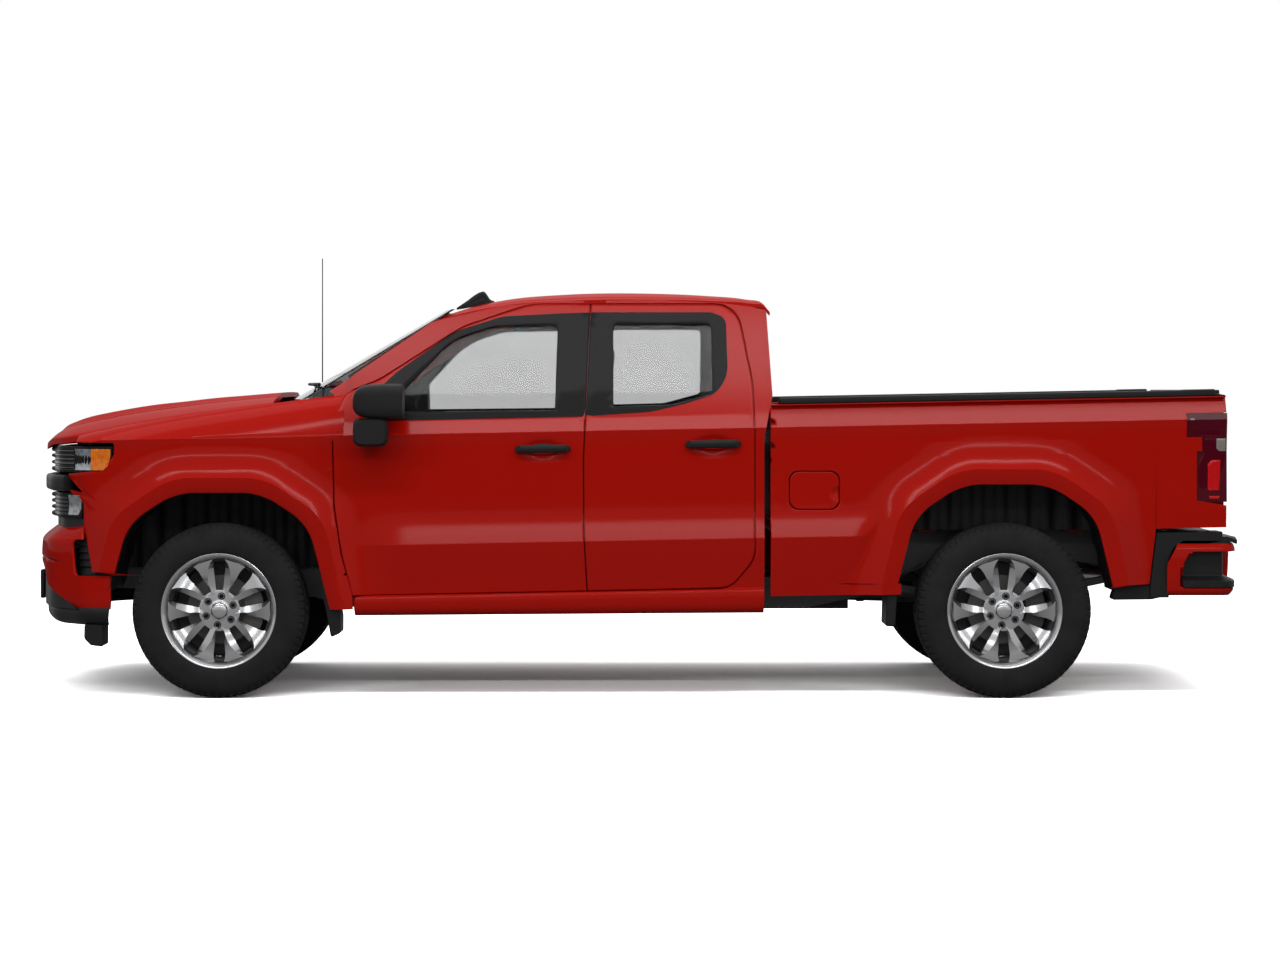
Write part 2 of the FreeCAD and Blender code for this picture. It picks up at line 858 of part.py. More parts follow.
def hood_panel():
    """Hood with its two hinge arms, which reach back under the cowl."""
    half, x, belt = size("hood_half"), FRONT_AXLE, size("belt_height")
    sections = [
        (x - 876, half - 260, belt - 84, belt - 66),
        (x - 780, half - 95, belt - 80, belt + 2),
        (x - 650, half - 22, belt - 62, belt + 40),
        (x - 500, half, hood_edge(x - 500), belt + 66),
        (x - 283, half, hood_edge(x - 283), belt + 96),
        (x + 13, half, hood_edge(x + 13), belt + 125),
        (HOOD_REAR, half, hood_edge(HOOD_REAR), belt + 146),
    ]
    panel = Part.makeLoft([hood_section(*s) for s in sections], True, False)
    arms = []
    for side in (-1, 1):
        y = side * (half - 90)
        bar = side_prism(
            [
                (HOOD_REAR - 120, HOOD_PIVOT.z + 12),
                (HOOD_REAR - 120, HOOD_PIVOT.z - 14),
                (HOOD_PIVOT.x - 4, HOOD_PIVOT.z - 20),
                (HOOD_PIVOT.x + 20, HOOD_PIVOT.z),
                (HOOD_PIVOT.x - 4, HOOD_PIVOT.z + 18),
            ],
            y - 8,
            y + 8,
        )
        post = box(HOOD_REAR - 120, HOOD_REAR - 60, y - 8, y + 8, HOOD_PIVOT.z - 14, HOOD_PIVOT.z + 44)
        arms += [bar, post]
    return fuse([panel, *arms])


piece("hood", hood_panel())


# Nose

def nose_part(depth_from, depth_to, z_from, z_to, y_limit=(-1100, 0)):
    """A full-width strip that follows the nose's plan, limited to part of each half."""
    half = nose_band(depth_from, depth_to, z_from, z_to)
    half = half.common(box(-4000, 4000, y_limit[0], y_limit[1], z_from - 1, z_to + 1))
    mirror = half.mirror(Vector(0, 0, 0), Vector(0, 1, 0))
    return half.fuse(mirror).removeSplitter() if y_limit[1] == 0 else Part.makeCompound([half, mirror])


def grille():
    """Grille between the lamps: a dark backing with bars that stand out from it."""
    belt = size("belt_height")
    lamp = size("lamp_inner_half")
    backing = nose_part(30, 46, belt - 458, belt - 118, (-lamp, 0))
    bars = []
    for low in (belt - 452, belt - 422, belt - 392, belt - 362, belt - 200, belt - 154):
        bars.append(nose_part(-16, 32, low, low + 18, (-lamp, 0)))
    bars.append(nose_part(-26, 32, belt - 326, belt - 252, (-880, 0)))
    return fuse([backing, *bars]).cut(both_sides(FENDER))


def lamps():
    """Upper and lower head lamps on both sides, let into the fenders."""
    belt, x = size("belt_height"), FRONT_AXLE
    inner = -(size("lamp_inner_half") + SEAM)
    upper = nose_part(4, 90, belt - 240, belt - 118, (-1100, inner))
    upper = upper.common(box(x - 900, x - 506, -1100, 1100, 0, 2000))
    lower = nose_part(4, 90, belt - 458, belt - 334, (-1100, inner))
    lower = lower.common(box(x - 900, x - 655 - size("running_gap"), -1100, 1100, 0, 2000))
    both = both_sides(FENDER)
    return Part.makeCompound([*upper.cut(both).Solids, *lower.cut(both).Solids])


BUMPER_INNER = -10
BUMPER_WALL = 60


def front_bumper():
    """Painted bumper that wraps round both front corners, with a vent in each corner."""
    x = FRONT_AXLE
    band = nose_part(-50, BUMPER_INNER, 420, size("belt_height") - 492)
    side = [
        (x - 1100, 424),
        (x - 1100, 760),
        (x - 820, 818),
        (x - 656, 818),
        (x - 604, 585),
        (x - 510, 578),
        (x - 510, 424),
    ]
    vent = [(x - 690, 640), (x - 700, 770), (x - 600, 770), (x - 600, 600), (x - 660, 600)]
    middle = box(-4000, x - 700, -430, 430, 0, 575)
    return band.common(side_prism(side, -1200, 1200)).cut(side_prism(vent, -1200, 1200)).cut(middle)


def front_valance():
    """Dark lower lip of the bumper, with the bracket for the plate."""
    x = FRONT_AXLE
    band = nose_part(-20, 30, 346, 423.7)
    band = band.common(box(x - 1100, x - 500, -1200, 1200, 0, 2000))
    centre = box(x - 925, x - 894, -429, 429, 410, 559)
    bracket = box(
        NOSE - size("plate_stand"),
        x - 915,
        -size("plate_half"),
        size("plate_half"),
        size("plate_low"),
        size("plate_low") + 150,
    )
    return fuse([band, centre, bracket])


piece("grille", grille())
piece("head_lamps", lamps())
piece("front_bumper", front_bumper())
piece("front_valance", front_valance())


# Cowl between the hood and the windscreen

def cowl():
    """Dark panel under the wipers, lower than the hood's rear edge."""
    x, belt = FRONT_AXLE, size("belt_height")
    outline = [
        (x + 262, belt - 60),
        (x + 262, belt + 40),
        (x + 330, belt + 96),
        (x + 392, belt + 108),
        (x + 515 - size("running_gap"), belt + 60),
        (x + 515 - size("running_gap"), belt - 60),
    ]
    panel = side_prism(outline, -830, 830)
    arm = size("hood_half") - 90
    for side in (-1, 1):
        low, high = sorted((side * (arm - 40), side * (arm + 30)))
        panel = panel.cut(box(x + 262, x + 380, low, high, belt, belt + 200))
    face = arm + 8 + size("running_gap")
    x, z = HOOD_PIVOT.x, HOOD_PIVOT.z
    pins = [rod((x, side * face, z), (x, side * (arm + 34), z), 8) for side in (-1, 1)]
    return fuse([panel, *pins])


piece("cowl", cowl())


# Load bed

BED_FRONT = CAB_BACK + size("bed_gap")
BED_REAR = REAR_AXLE + size("bed_tail")


def bed_profile():
    """Half widths and heights of the bed's side."""
    return [
        (size("sill_half") - 6, 455),
        *side_profile()[4:8],
        (size("belt_half") + 18, size("belt_height")),
        (size("belt_half") + 14, RAIL_TOP),
    ]


def bed_band(depth_from, inner_half, x_from, x_to):
    """The bed's left side from its skin to a flat inner face."""
    lift = RAKE * (x_from - DOOR_FRONT)
    outer = [(-half + depth_from, height + lift) for half, height in bed_profile()]
    low, high = outer[0][1], outer[-1][1]
    return front_prism([*outer, (-inner_half, high), (-inner_half, low)], x_from, x_to, RAKE)


FILLER_POCKET = size("flank_half") - 44
FILLER_LID_INNER = size("flank_half") - 26


def fuel_door_outline(grow=0):
    """Rounded square of the fuel filler's door."""
    x, z, half = REAR_AXLE - 907, FLANK - 138, 90 + grow
    side = 118 + grow
    return [
        (x - side, z - half, 45),
        (x - side, z + half, 45),
        (x + side, z + half, 45),
        (x + side, z - half, 45),
    ]


def bed_side():
    """Left side of the bed with its flare, cut out for wheel, tail lamp and fuel door."""
    x = REAR_AXLE
    outline = [
        (BED_FRONT, 477),
        (BED_FRONT, size("belt_height") + 20, 60),
        (BED_FRONT + 38, RAIL_TOP + 80),
        (BED_REAR, RAIL_TOP + 80),
        (BED_REAR, 800),
        (x + 720, 792),
        (x + 690, 545),
        (x, 530),
    ]
    prism = side_prism(outline, -1300, -600)
    side = bed_band(0, size("bed_inner_half"), BED_FRONT, BED_REAR).common(prism)
    side = fuse([side, flare(x, size("arch_rear_rise"), 480).common(prism)])
    side = side.cut(side_prism(arch_outline(x, size("arch_rear_rise"), 0), -1300, -600))
    side = side.cut(side_prism(arch_outline(x, size("arch_rear_rise"), 14), -960, -600))
    post_front = BED_REAR - size("post_depth")
    post = bed_band(60, size("post_half"), post_front, BED_REAR - 2)
    post = post.common(box(post_front, BED_REAR, -1300, -600, size("tailgate_low"), 2000))
    side = fuse([side, post])
    gap = size("running_gap")
    lamp = side_prism(tail_lamp_outline(gap), -1300, -(size("tail_lamp_inner") - gap))
    pocket = side_prism(fuel_door_outline(SEAM / 2), -1300, -FILLER_POCKET)
    x_hinge = x - 907 - 118
    hinge = box(x_hinge + 8, x_hinge + 28, -FILLER_LID_INNER + gap, -FILLER_POCKET + 5, 960, 1020)
    return fuse([side.cut(lamp).cut(pocket), hinge])


def tail_lamp_outline(grow=0):
    """Tail lamp in side view."""
    x, belt = REAR_AXLE, size("belt_height")
    return [
        (x + 866 - grow, belt - 65 - grow),
        (x + 866 - grow, belt + 49 + grow, 20),
        (x + 1100, belt + 49 + grow),
        (x + 1100, belt - 375 - grow),
        (x + 915 - grow, belt - 375 - grow, 20),
        (x + 915 - grow, belt - 130, 20),
        (x + 940 - grow, belt - 65 - grow, 20),
    ]


def tail_lamps():
    """Tail lamps that wrap round both rear corners of the bed."""
    side = bed_band(2, size("tail_lamp_inner"), BED_FRONT, BED_REAR + 2)
    lamp = side.common(side_prism(tail_lamp_outline(), -1300, -size("tail_lamp_inner")))
    return both_sides(lamp)


def bed_box():
    """Floor, front wall and wheelhouses of the load bed."""
    x, half = REAR_AXLE, size("bed_inner_half") - size("running_gap")
    thick, floor = size("bed_floor_thickness"), size("bed_floor_height")
    rise = size("arch_rear_rise")
    lift = RAKE * (BED_FRONT - DOOR_FRONT)
    plate = front_prism(
        [
            (-half, floor + lift - thick),
            (-half, floor + lift),
            (half, floor + lift),
            (half, floor + lift - thick),
        ],
        BED_FRONT,
        BED_REAR - size("post_depth") - size("running_gap"),
        RAKE,
    )
    low, high = floor - thick, RAIL_TOP + lift
    lean = size("bed_wall_lean") * (high - low)
    front, rear = BED_FRONT + 30, BED_FRONT + 70
    wall = side_prism([(front, low), (front - lean, high), (rear - lean, high), (rear, low)], -half, half)
    inner = size("wheelhouse_half")
    void = both_sides(side_prism(arch_outline(x, rise, 14), -half - 1, -inner - 18))
    cover = both_sides(side_prism(arch_outline(x, rise, 32), -half, -inner))
    above = box(x - 900, x + 900, -1000, 1000, floor + lift - thick + 12, 2000)
    sill_low, sill_half = size("frame_rear_low") + size("rail_depth"), size("wheelhouse_half") - 2
    sills = []
    for reach in (-830, -380, 330, 640):
        top = floor - thick + 6 + RAKE * (x + reach - DOOR_FRONT)
        sills.append(box(x + reach, x + reach + 90, -sill_half, sill_half, sill_low, top))
    shell = fuse([plate, wall, *cover.common(above).Solids, *sills])
    return shell.cut(void)


BED_SIDE = bed_side()
piece("bed_sides", both_sides(BED_SIDE))
piece("bed_box", bed_box())
piece("tail_lamps", tail_lamps())


def rail_caps():
    """Dark protective caps along both bed rails."""
    lift = RAKE * (BED_FRONT + 40 - DOOR_FRONT)
    z = RAIL_TOP + lift
    outer = size("belt_half") + 16
    inner = size("bed_inner_half") - 10
    cap = front_prism(
        [
            (-outer, z + size("running_gap"), 0),
            (-outer, z + size("rail_cap") - 6, 12),
            (-outer + 40, z + size("rail_cap"), 30),
            (-inner, z + size("rail_cap"), 12),
            (-inner, z + size("running_gap"), 0),
        ],
        BED_FRONT + 40,
        BED_REAR - 190,
        RAKE,
    )
    return both_sides(cap)


piece("rail_caps", rail_caps())

TAILGATE_PIVOT = Vector(BED_REAR - 44, 0, size("tailgate_low") + 25)


def tailgate():
    """Tailgate with a spoiler lip along its top and a pin at each lower corner."""
    low, half = size("tailgate_low"), size("tailgate_half")
    top = RAIL_TOP + RAKE * (BED_REAR - DOOR_FRONT) + size("rail_cap")
    front = BED_REAR - 62
    outline = [
        (front, low),
        (front, top, 12),
        (BED_REAR + 14, top, 20),
        (BED_REAR + 4, top - 70, 60),
        (BED_REAR - 8, (low + top) / 2, 300),
        (BED_REAR, low + 60, 60),
        (BED_REAR - 6, low),
    ]
    panel = side_prism(outline, -half, half)
    reach = size("post_half") - size("running_gap")
    pins = rod((TAILGATE_PIVOT.x, -reach, TAILGATE_PIVOT.z), (TAILGATE_PIVOT.x, reach, TAILGATE_PIVOT.z), 9)
    return fuse([panel, pins])


piece("tailgate", tailgate())


def fuel_door():
    """Filler door flush with the bed's left side, with a finger notch at its rear edge."""
    skin = bed_band(0, FILLER_LID_INNER, BED_FRONT, BED_REAR)
    return skin.common(side_prism(fuel_door_outline(-SEAM / 2), -1300, -FILLER_POCKET))


piece("fuel_door", fuel_door())


def rear_bumper():
    """Painted rear bumper with a dark tread on top and a step cut into each corner."""
    x = REAR_AXLE
    outline = [
        (x + 778, 478),
        (x + 728, 690, 30),
        (x + 830, 770),
        (TAIL - 14, 770, 20),
        (TAIL, 709),
        (TAIL - 14, 562),
        (TAIL - 88, 500),
    ]
    beam = side_prism(outline, -985, 985)
    hollow = box(x + 700, TAIL - BUMPER_WALL, -880, 880, 400, 740)
    ball_hole = rod((x + 1040, 0, 700), (x + 1040, 0, 800), size("ball_hole_radius"))
    step = box(x + 880, TAIL + 50, -1100, -640, 560, 690)
    step = step.fuse(box(x + 880, TAIL + 50, 640, 1100, 560, 690))
    return beam.cut(hollow).cut(step).cut(ball_hole)


piece("rear_bumper", rear_bumper())


# Ladder frame

def frame():
    """Two boxed rails that rise over the axles, joined by cross members."""
    front, rear = FRONT_AXLE, REAR_AXLE
    low, deep, kick = size("rail_mid_low"), size("rail_depth"), size("frame_rear_low")
    outer = size("rail_half") + size("rail_width") / 2
    inner = size("rail_half") - size("rail_width") / 2
    tip = nose_x(outer, BUMPER_INNER) + size("running_gap")
    back = TAIL - BUMPER_WALL - size("running_gap")
    outline = [
        (tip, 500),
        (front - 300, 490, 400),
        (front + 300, 480, 200),
        (front + 600, low, 200),
        (rear - 900, low, 200),
        (rear - 620, low + 60, 200),
        (rear - 330, kick, 200),
        (rear + 400, kick, 300),
        (rear + 680, kick - 48, 300),
        (back, kick - 48),
        (back, kick - 48 + deep),
        (rear + 720, kick - 48 + deep, 300),
        (rear + 400, kick + deep, 300),
        (rear - 400, kick + deep, 200),
        (rear - 700, low + deep + 60, 200),
        (rear - 960, low + deep, 200),
        (front + 600, low + deep, 200),
        (front + 300, 480 + deep, 200),
        (front - 300, 490 + deep, 400),
        (tip, 500 + deep),
    ]
    rails = both_sides(side_prism(outline, -outer, -inner)).Solids
    cross = [
        box(NOSE + 150, NOSE + 210, -inner - 10, inner + 10, 520, 620),
        box(front - 90, front + 90, -inner - 10, inner + 10, 492, 532),
        box(front + 1200, front + 1300, -inner - 10, inner + 10, low + 2, low + 30),
        box(rear - 590, rear - 530, -inner - 10, inner + 10, low + 132, low + 200),
        box(rear + 420, rear + 500, -inner - 10, inner + 10, kick + 40, kick + 120),
        box(rear + 850, rear + 925, -inner - 10, inner + 10, kick - 30, kick + 70),
    ]
    mounts = []
    for station in (front + 760, front + 1650, front + 2500):
        top = size("cab_floor_height") + RAKE * 0 - size("running_gap")
        y = -size("rail_half")
        mounts.append(rod((station, y, low + deep - 6), (station, y, top), 34))
    towers = side_prism(
        [(front - 75, 560), (front - 60, 770), (front + 60, 770), (front + 75, 560)],
        -outer - 120,
        -outer + 10,
    ).cut(box(front - 60, front + 60, -outer - 121, -outer - 1, 500, 748))
    brackets = []
    for reach in (-190, 150):
        brackets.append(box(front + reach, front + reach + 40, -outer, -inner, size("lower_ball") - 24, 500))
    for reach in (-145, 95):
        brackets.append(box(front + reach, front + reach + 50, -outer, -inner, 600, size("upper_ball") + 65))
    carried = Part.makeCompound([*mounts, towers, *brackets])
    return fuse([*rails, *cross, *both_sides(carried).Solids])


FRAME = frame()
piece("frame", FRAME)

FRONT_X = "(dim.plate_stand + dim.front_overhang - dim.wheelbase - dim.rear_overhang) / 2"
REAR_X = f"({FRONT_X} + dim.wheelbase)"


def place(item, x="0", y="0", z="0"):
    """Ties an object's position to the sheet."""
    for axis, text in zip("xyz", (x, y, z)):
        item.setExpression(f".Placement.Base.{axis}", text)


def cylinder(name, radius, length, at, along="y"):
    """A round primitive whose sizes and place are expressions."""
    item = doc.addObject("Part::Cylinder", name)
    item.setExpression("Radius", radius)
    item.setExpression("Height", length)
    turns = {"x": Rotation(Vector(0, 1, 0), 90), "y": Rotation(Vector(1, 0, 0), -90), "z": Rotation()}
    item.Placement = Placement(Vector(), turns[along])
    place(item, *at)
    return item


def prism(name, sides, radius, length, at, along="y"):
    """A regular prism whose sizes and place are expressions."""
    item = doc.addObject("Part::Prism", name)
    item.Polygon = sides
    item.setExpression("Circumradius", radius)
    item.setExpression("Height", length)
    turns = {"x": Rotation(Vector(0, 1, 0), 90), "y": Rotation(Vector(1, 0, 0), -90), "z": Rotation()}
    item.Placement = Placement(Vector(), turns[along])
    place(item, *at)
    return item


def block(name, lengths, at):
    """A box primitive whose sizes and place are expressions."""
    item = doc.addObject("Part::Box", name)
    for side, text in zip(("Length", "Width", "Height"), lengths):
        item.setExpression(side, text)
    place(item, *at)
    return item


def joined(name, parts):
    """Several primitives welded into one."""
    item = doc.addObject("Part::MultiFuse", name)
    item.Shapes = parts
    item.Refine = True
    return item


def cut(name, base, tool):
    """One object less another."""
    item = doc.addObject("Part::Cut", name)
    item.Base = base
    item.Tool = tool
    item.Refine = True
    return item


def node(item, label):
    """Marks an object as a finished sub-part."""
    item.Label = label
    NODES.append(item)
    return item


# Wheels
RIM_SIDES = 36


def tyre(label, x):
    """Left-hand tyre: one ring of flats per profile point, skinned in straight bands, less the rim's bore."""
    flats = int(size("tyre_flats"))
    profile = [
        ("dim.rim_half_width - dim.bead_step", "dim.bead_radius + dim.bead_width"),
        ("dim.tyre_half_width", "dim.bead_radius + dim.wall_reach"),
        ("dim.tyre_half_width - dim.bead_step", "dim.tyre_radius - dim.tread_drop"),
        ("dim.tyre_tread_half", "dim.tyre_radius"),
    ]
    stations = [(f"-({offset})", radius) for offset, radius in profile]
    stations += reversed(profile)
    rings = []
    for index, (offset, radius) in enumerate(stations):
        ring = doc.addObject("Part::RegularPolygon", f"{label}_ring_{index}")
        ring.Polygon = flats
        ring.setExpression("Circumradius", radius)
        ring.Placement = Placement(Vector(), Rotation(Vector(1, 0, 0), -90))
        place(ring, x, f"-dim.track / 2 + {offset}", "dim.tyre_radius")
        rings.append(ring)
    skin = doc.addObject("Part::Loft", f"{label}_skin")
    skin.Sections = rings
    skin.Solid = True
    skin.Ruled = True
    reach = "(dim.rim_half_width + dim.bore_spare)"
    bore = prism(
        f"{label}_bore",
        RIM_SIDES,
        "dim.bead_radius",
        f"2 * {reach}",
        (x, f"-dim.track / 2 - {reach}", "dim.tyre_radius"),
    )
    return node(cut(f"{label}_ring", skin, bore), label)


def wheel(label, x):
    """Left-hand wheel: barrel, ten windows, hub, nuts and the brake disc that turns with it."""
    sides = RIM_SIDES
    y0 = "-dim.track / 2"
    z0 = "dim.tyre_radius"

    def ring(name, outer, inner, start, length):
        solid = prism(f"{label}_{name}", sides, outer, length, (x, f"{y0} + ({start})", z0))
        mouth = (x, f"{y0} + ({start}) - 10", z0)
        hole = prism(f"{label}_{name}_bore", sides, inner, f"({length}) + 20", mouth)
        return cut(f"{label}_{name}_ring", solid, hole)

    bore = "dim.bead_radius - dim.barrel_thickness"
    outer = "dim.bead_radius - dim.running_gap"
    barrel = ring("barrel", outer, bore, "-dim.rim_half_width", "2 * dim.rim_half_width")
    lips = [
        ring(name, "dim.rim_flange_radius", bore, start, "dim.lip_thickness")
        for name, start in (
            ("outer_lip", "-dim.rim_half_width"),
            ("inner_lip", "dim.rim_half_width - dim.lip_thickness"),
        )
    ]
    disc = prism(
        f"{label}_disc", sides, "dim.bead_radius - dim.barrel_thickness + 1", "dim.spoke_depth",
        (x, f"{y0} - dim.spoke_face", z0),
    )
    count = int(size("window_count"))
    windows = []
    for index in range(count):
        item = doc.addObject("Part::Wedge", f"{label}_window_{index}")
        for alias, value in (
            ("Xmin", "-dim.window_root / 2"), ("Xmax", "dim.window_root / 2"),
            ("X2min", "-dim.window_width / 2"), ("X2max", "dim.window_width / 2"),
            ("Ymin", "0"), ("Ymax", "dim.window_reach"),
            ("Zmin", "-dim.spoke_depth - 10"), ("Zmax", "10"),
            ("Z2min", "-dim.spoke_depth - 10"), ("Z2max", "10"),
        ):
            item.setExpression(alias, value)
        angle = 360 / count * index
        turn = Rotation(Vector(0, 1, 0), angle).multiply(Rotation(Vector(1, 0, 0), 90))
        item.Placement = Placement(Vector(), turn)
        sine, cosine = f"sin({angle}deg)", f"cos({angle}deg)"
        start = "(dim.hub_radius + 14)"
        place(
            item,
            f"{x} + {sine} * {start}",
            f"{y0} - dim.spoke_face",
            f"{z0} + {cosine} * {start}",
        )
        windows.append(item)
    spider = cut(f"{label}_spider", disc, joined(f"{label}_windows", windows))
    hub = prism(
        f"{label}_hub",
        24,
        "dim.hub_radius - 8",
        "dim.spoke_face + dim.disc_back - 6",
        (x, f"{y0} - dim.spoke_face + 6", z0),
    )
    cap = prism(f"{label}_cap", 24, "dim.cap_radius", "24", (x, f"{y0} - dim.spoke_face - 8", z0))
    rotor = prism(
        f"{label}_rotor", sides, "dim.disc_radius", "dim.disc_thickness",
        (x, f"{y0} + dim.disc_back - dim.disc_thickness", z0),
    )
    nuts = []
    for index in range(6):
        angle = 60 * index + 20
        nuts.append(
            prism(
                f"{label}_nut_{index}", 6, "dim.lug_radius", "30",
                (
                    f"{x} + cos({angle}deg) * dim.bolt_circle / 2",
                    f"{y0} - dim.spoke_face - 6",
                    f"{z0} + sin({angle}deg) * dim.bolt_circle / 2",
                ),
            )
        )
    return node(joined(f"{label}_wheel", [barrel, *lips, spider, hub, cap, rotor, *nuts]), label)


def twin(name, source):
    """The mirrored sub-part on the truck's right side."""
    return mirrored_piece(name, source)


for end, station in (("front", FRONT_X), ("rear", REAR_X)):
    rubber = tyre(f"tyre_{end}_left", station)
    alloy = wheel(f"wheel_{end}_left", station)
    twin(f"tyre_{end}_right", rubber)
    twin(f"wheel_{end}_right", alloy)


# Brakes and steering knuckles

def caliper(name, x):
    """Brake caliper round the disc, with the shield that carries it."""
    hub_y = "-dim.track / 2"

    def sector(suffix, radius, start, length):
        item = cylinder(f"{name}_{suffix}", radius, length, (x, f"{hub_y} + ({start})", "dim.tyre_radius"))
        item.Angle = 64
        turn = Rotation(Vector(1, 0, 0), -90).multiply(Rotation(Vector(0, 0, 1), -32))
        item.Placement = Placement(Vector(), turn)
        return item

    start = "dim.disc_back - dim.disc_thickness - 26"
    jaw = sector("jaw", "dim.disc_radius + 42", start, "dim.disc_thickness + 52")
    core = cylinder(
        f"{name}_core", "dim.disc_radius - 48", "dim.disc_thickness + 200",
        (x, f"{hub_y} + dim.disc_back - dim.disc_thickness - 100", "dim.tyre_radius"),
    )
    slot = cylinder(
        f"{name}_slot", "dim.disc_radius + 6", "dim.disc_thickness + 12",
        (x, f"{hub_y} + dim.disc_back - dim.disc_thickness - 6", "dim.tyre_radius"),
    )
    body = cut(f"{name}_open", cut(f"{name}_hollow", jaw, core), slot)
    shield = cylinder(
        f"{name}_shield", "dim.disc_radius - 12", "10",
        (x, f"{hub_y} + dim.disc_back + 22", "dim.tyre_radius"),
    )
    return [body, shield]


KINGPIN_Y = "(dim.track / 2 - dim.kingpin_inset)"
knuckle_parts = [
    *caliper("front_brake", FRONT_X),
    cylinder(
        "spindle", "62", "dim.kingpin_inset - dim.disc_back - dim.running_gap + 12",
        (FRONT_X, "-dim.track / 2 + dim.disc_back + dim.running_gap", "dim.tyre_radius"),
    ),
    block(
        "knuckle_neck",
        ("50", "30", "dim.upper_ball - dim.lower_ball"),
        (f"{FRONT_X} - 25", f"-{KINGPIN_Y} - 10", "dim.lower_ball"),
    ),
    block(
        "steering_arm",
        ("110", "22", "26"),
        (f"{FRONT_X} - 130", f"-{KINGPIN_Y}", "dim.tyre_radius - 90"),
    ),
]
knuckle_left = node(joined("knuckle_left_forging", knuckle_parts), "knuckle_left")
twin("knuckle_right", knuckle_left)


def wishbones():
    """Upper and lower arms with the ball joints that carry the knuckle, and the coil-over strut."""
    x, ball = FRONT_AXLE, WHEEL_Y - size("kingpin_inset")
    low, high = size("lower_ball"), size("upper_ball")
    gap = size("running_gap")
    rail = size("rail_half") + size("rail_width") / 2 + gap
    lower = [rod((x, -ball, low - 44), (x, -ball, low - gap), 30)]
    upper = [rod((x, -ball, high + gap), (x, -ball, high + 34), 26)]
    for reach in (-170, 170):
        lower.append(rod((x + reach, -rail, low + 5), (x, -ball + 8, low - 24), 18))
    for reach in (-120, 120):
        upper.append(rod((x + reach, -rail, high + 40), (x, -ball + 6, high + 17), 12))
    lower.append(rod((x, -ball + 95, low - 14), (x, -rail - 62, 748 - gap), 45))
    return both_sides(fuse(lower).cut(FRAME)), both_sides(fuse(upper).cut(FRAME))


lower_arms, upper_arms = wishbones()
piece("front_suspension", Part.makeCompound([*lower_arms.Solids, *upper_arms.Solids]))


# Rear axle and springs

axle_parts = [
    cylinder(
        "axle_tube", "dim.axle_tube", "dim.track - 2 * dim.disc_back - 2 * dim.running_gap",
        (REAR_X, "-dim.track / 2 + dim.disc_back + dim.running_gap", "dim.tyre_radius"),
    ),
    cylinder("differential", "130", "170", (f"{REAR_X} - 130", "0", "dim.tyre_radius"), "x"),
]
left_brake = joined("rear_brake_left", caliper("rear_brake", REAR_X))
right_brake = doc.addObject("Part::Mirroring", "rear_brake_right")
right_brake.Source = left_brake
right_brake.Normal = Vector(0, 1, 0)
node(joined("rear_axle_assembly", [*axle_parts, left_brake, right_brake]), "rear_axle")


def leaf_springs():
    """Leaf packs over the axle, hung from brackets on the frame, with a shock absorber each."""
    x, y, tube = REAR_AXLE, size("spring_half"), size("axle_tube")
    seat = size("tyre_radius") + tube + size("running_gap")
    rail = size("rail_half") + size("rail_width") / 2 + size("running_gap")
    thick = 34

    def arc(rise):
        return Part.Arc(
            Vector(x - 660, -y - 32, seat + 58 + rise),
            Vector(x, -y - 32, seat + rise),
            Vector(x + 660, -y - 32, seat + 98 + rise),
        )

    low, high = arc(0), arc(thick)
    low_edge, high_edge = low.toShape(), high.toShape()
    ends = [
        Part.makeLine(low_edge.Vertexes[-1].Point, high_edge.Vertexes[-1].Point),
        Part.makeLine(high_edge.Vertexes[0].Point, low_edge.Vertexes[0].Point),
    ]
    loop = Part.__sortEdges__([low_edge, ends[0], high_edge, ends[1]])
    pack = Part.Face(Part.Wire(loop)).extrude(Vector(0, 64, 0))
    front_eye = rod((x - 660, -y - 36, seat + 78), (x - 660, -rail, seat + 78), 28)
    shackle = box(x + 630, x + 680, -y - 36, -rail, seat + 90, size("frame_rear_low") + 60)
    return both_sides(fuse([pack, front_eye, shackle]))


piece("rear_springs", leaf_springs())

# Drive line

piece(
    "powertrain",
    fuse(
        [
            box(FRONT_AXLE - 230, FRONT_AXLE + 340, -290, 290, 532 + size("running_gap"), 1130),
            box(FRONT_AXLE + 340, FRONT_AXLE + 1250, -150, 150, size("rail_mid_low") + 30, 580),
        ]
    ),
)
piece(
    "driveshaft",
    fuse(
        [
            rod((FRONT_AXLE + 1252, 0, 500), (REAR_AXLE - 133, 0, 430), 42),
            rod((REAR_AXLE - 180, 0, 430), (REAR_AXLE - 130.3, 0, 430), 70),
        ]
    ),
)


def exhaust():
    """Muffler under the cab, and a tail pipe that passes over the axle to the right rear."""
    x, rear, radius = FRONT_AXLE, REAR_AXLE, 32
    route = [
        (x + 700, 250, 480),
        (x + 1650, 250, 480),
        (rear - 520, 250, 480),
        (rear - 260, 290, 590),
        (rear + 180, 300, 590),
        (rear + 480, 320, 520),
        (rear + 800, 470, 490),
        (rear + 900, 800, 470),
    ]
    pipes = [rod(a, b, radius) for a, b in zip(route, route[1:])]
    balls = [Part.makeSphere(radius, Vector(*p)) for p in route[1:-1]]
    muffler = rod((x + 1700, 250, 480), (x + 2350, 250, 480), 92)
    rail = size("rail_half") - size("rail_width") / 2 - size("running_gap")
    hangers = [rod((x + reach, 260, 485), (x + reach, rail, 485), 7) for reach in (1000, 2500)]
    return fuse([*pipes, *balls, muffler, *hangers])


piece("exhaust", exhaust())
node(
    block(
        "tank_shell",
        ("dim.tank_length", "dim.tank_width", "dim.tank_height"),
        (
            f"{REAR_X} - 700 - dim.tank_length",
            "-dim.rail_half + dim.rail_width / 2 + dim.running_gap",
            "dim.rail_mid_low - 12",
        ),
    ),
    "fuel_tank",
)


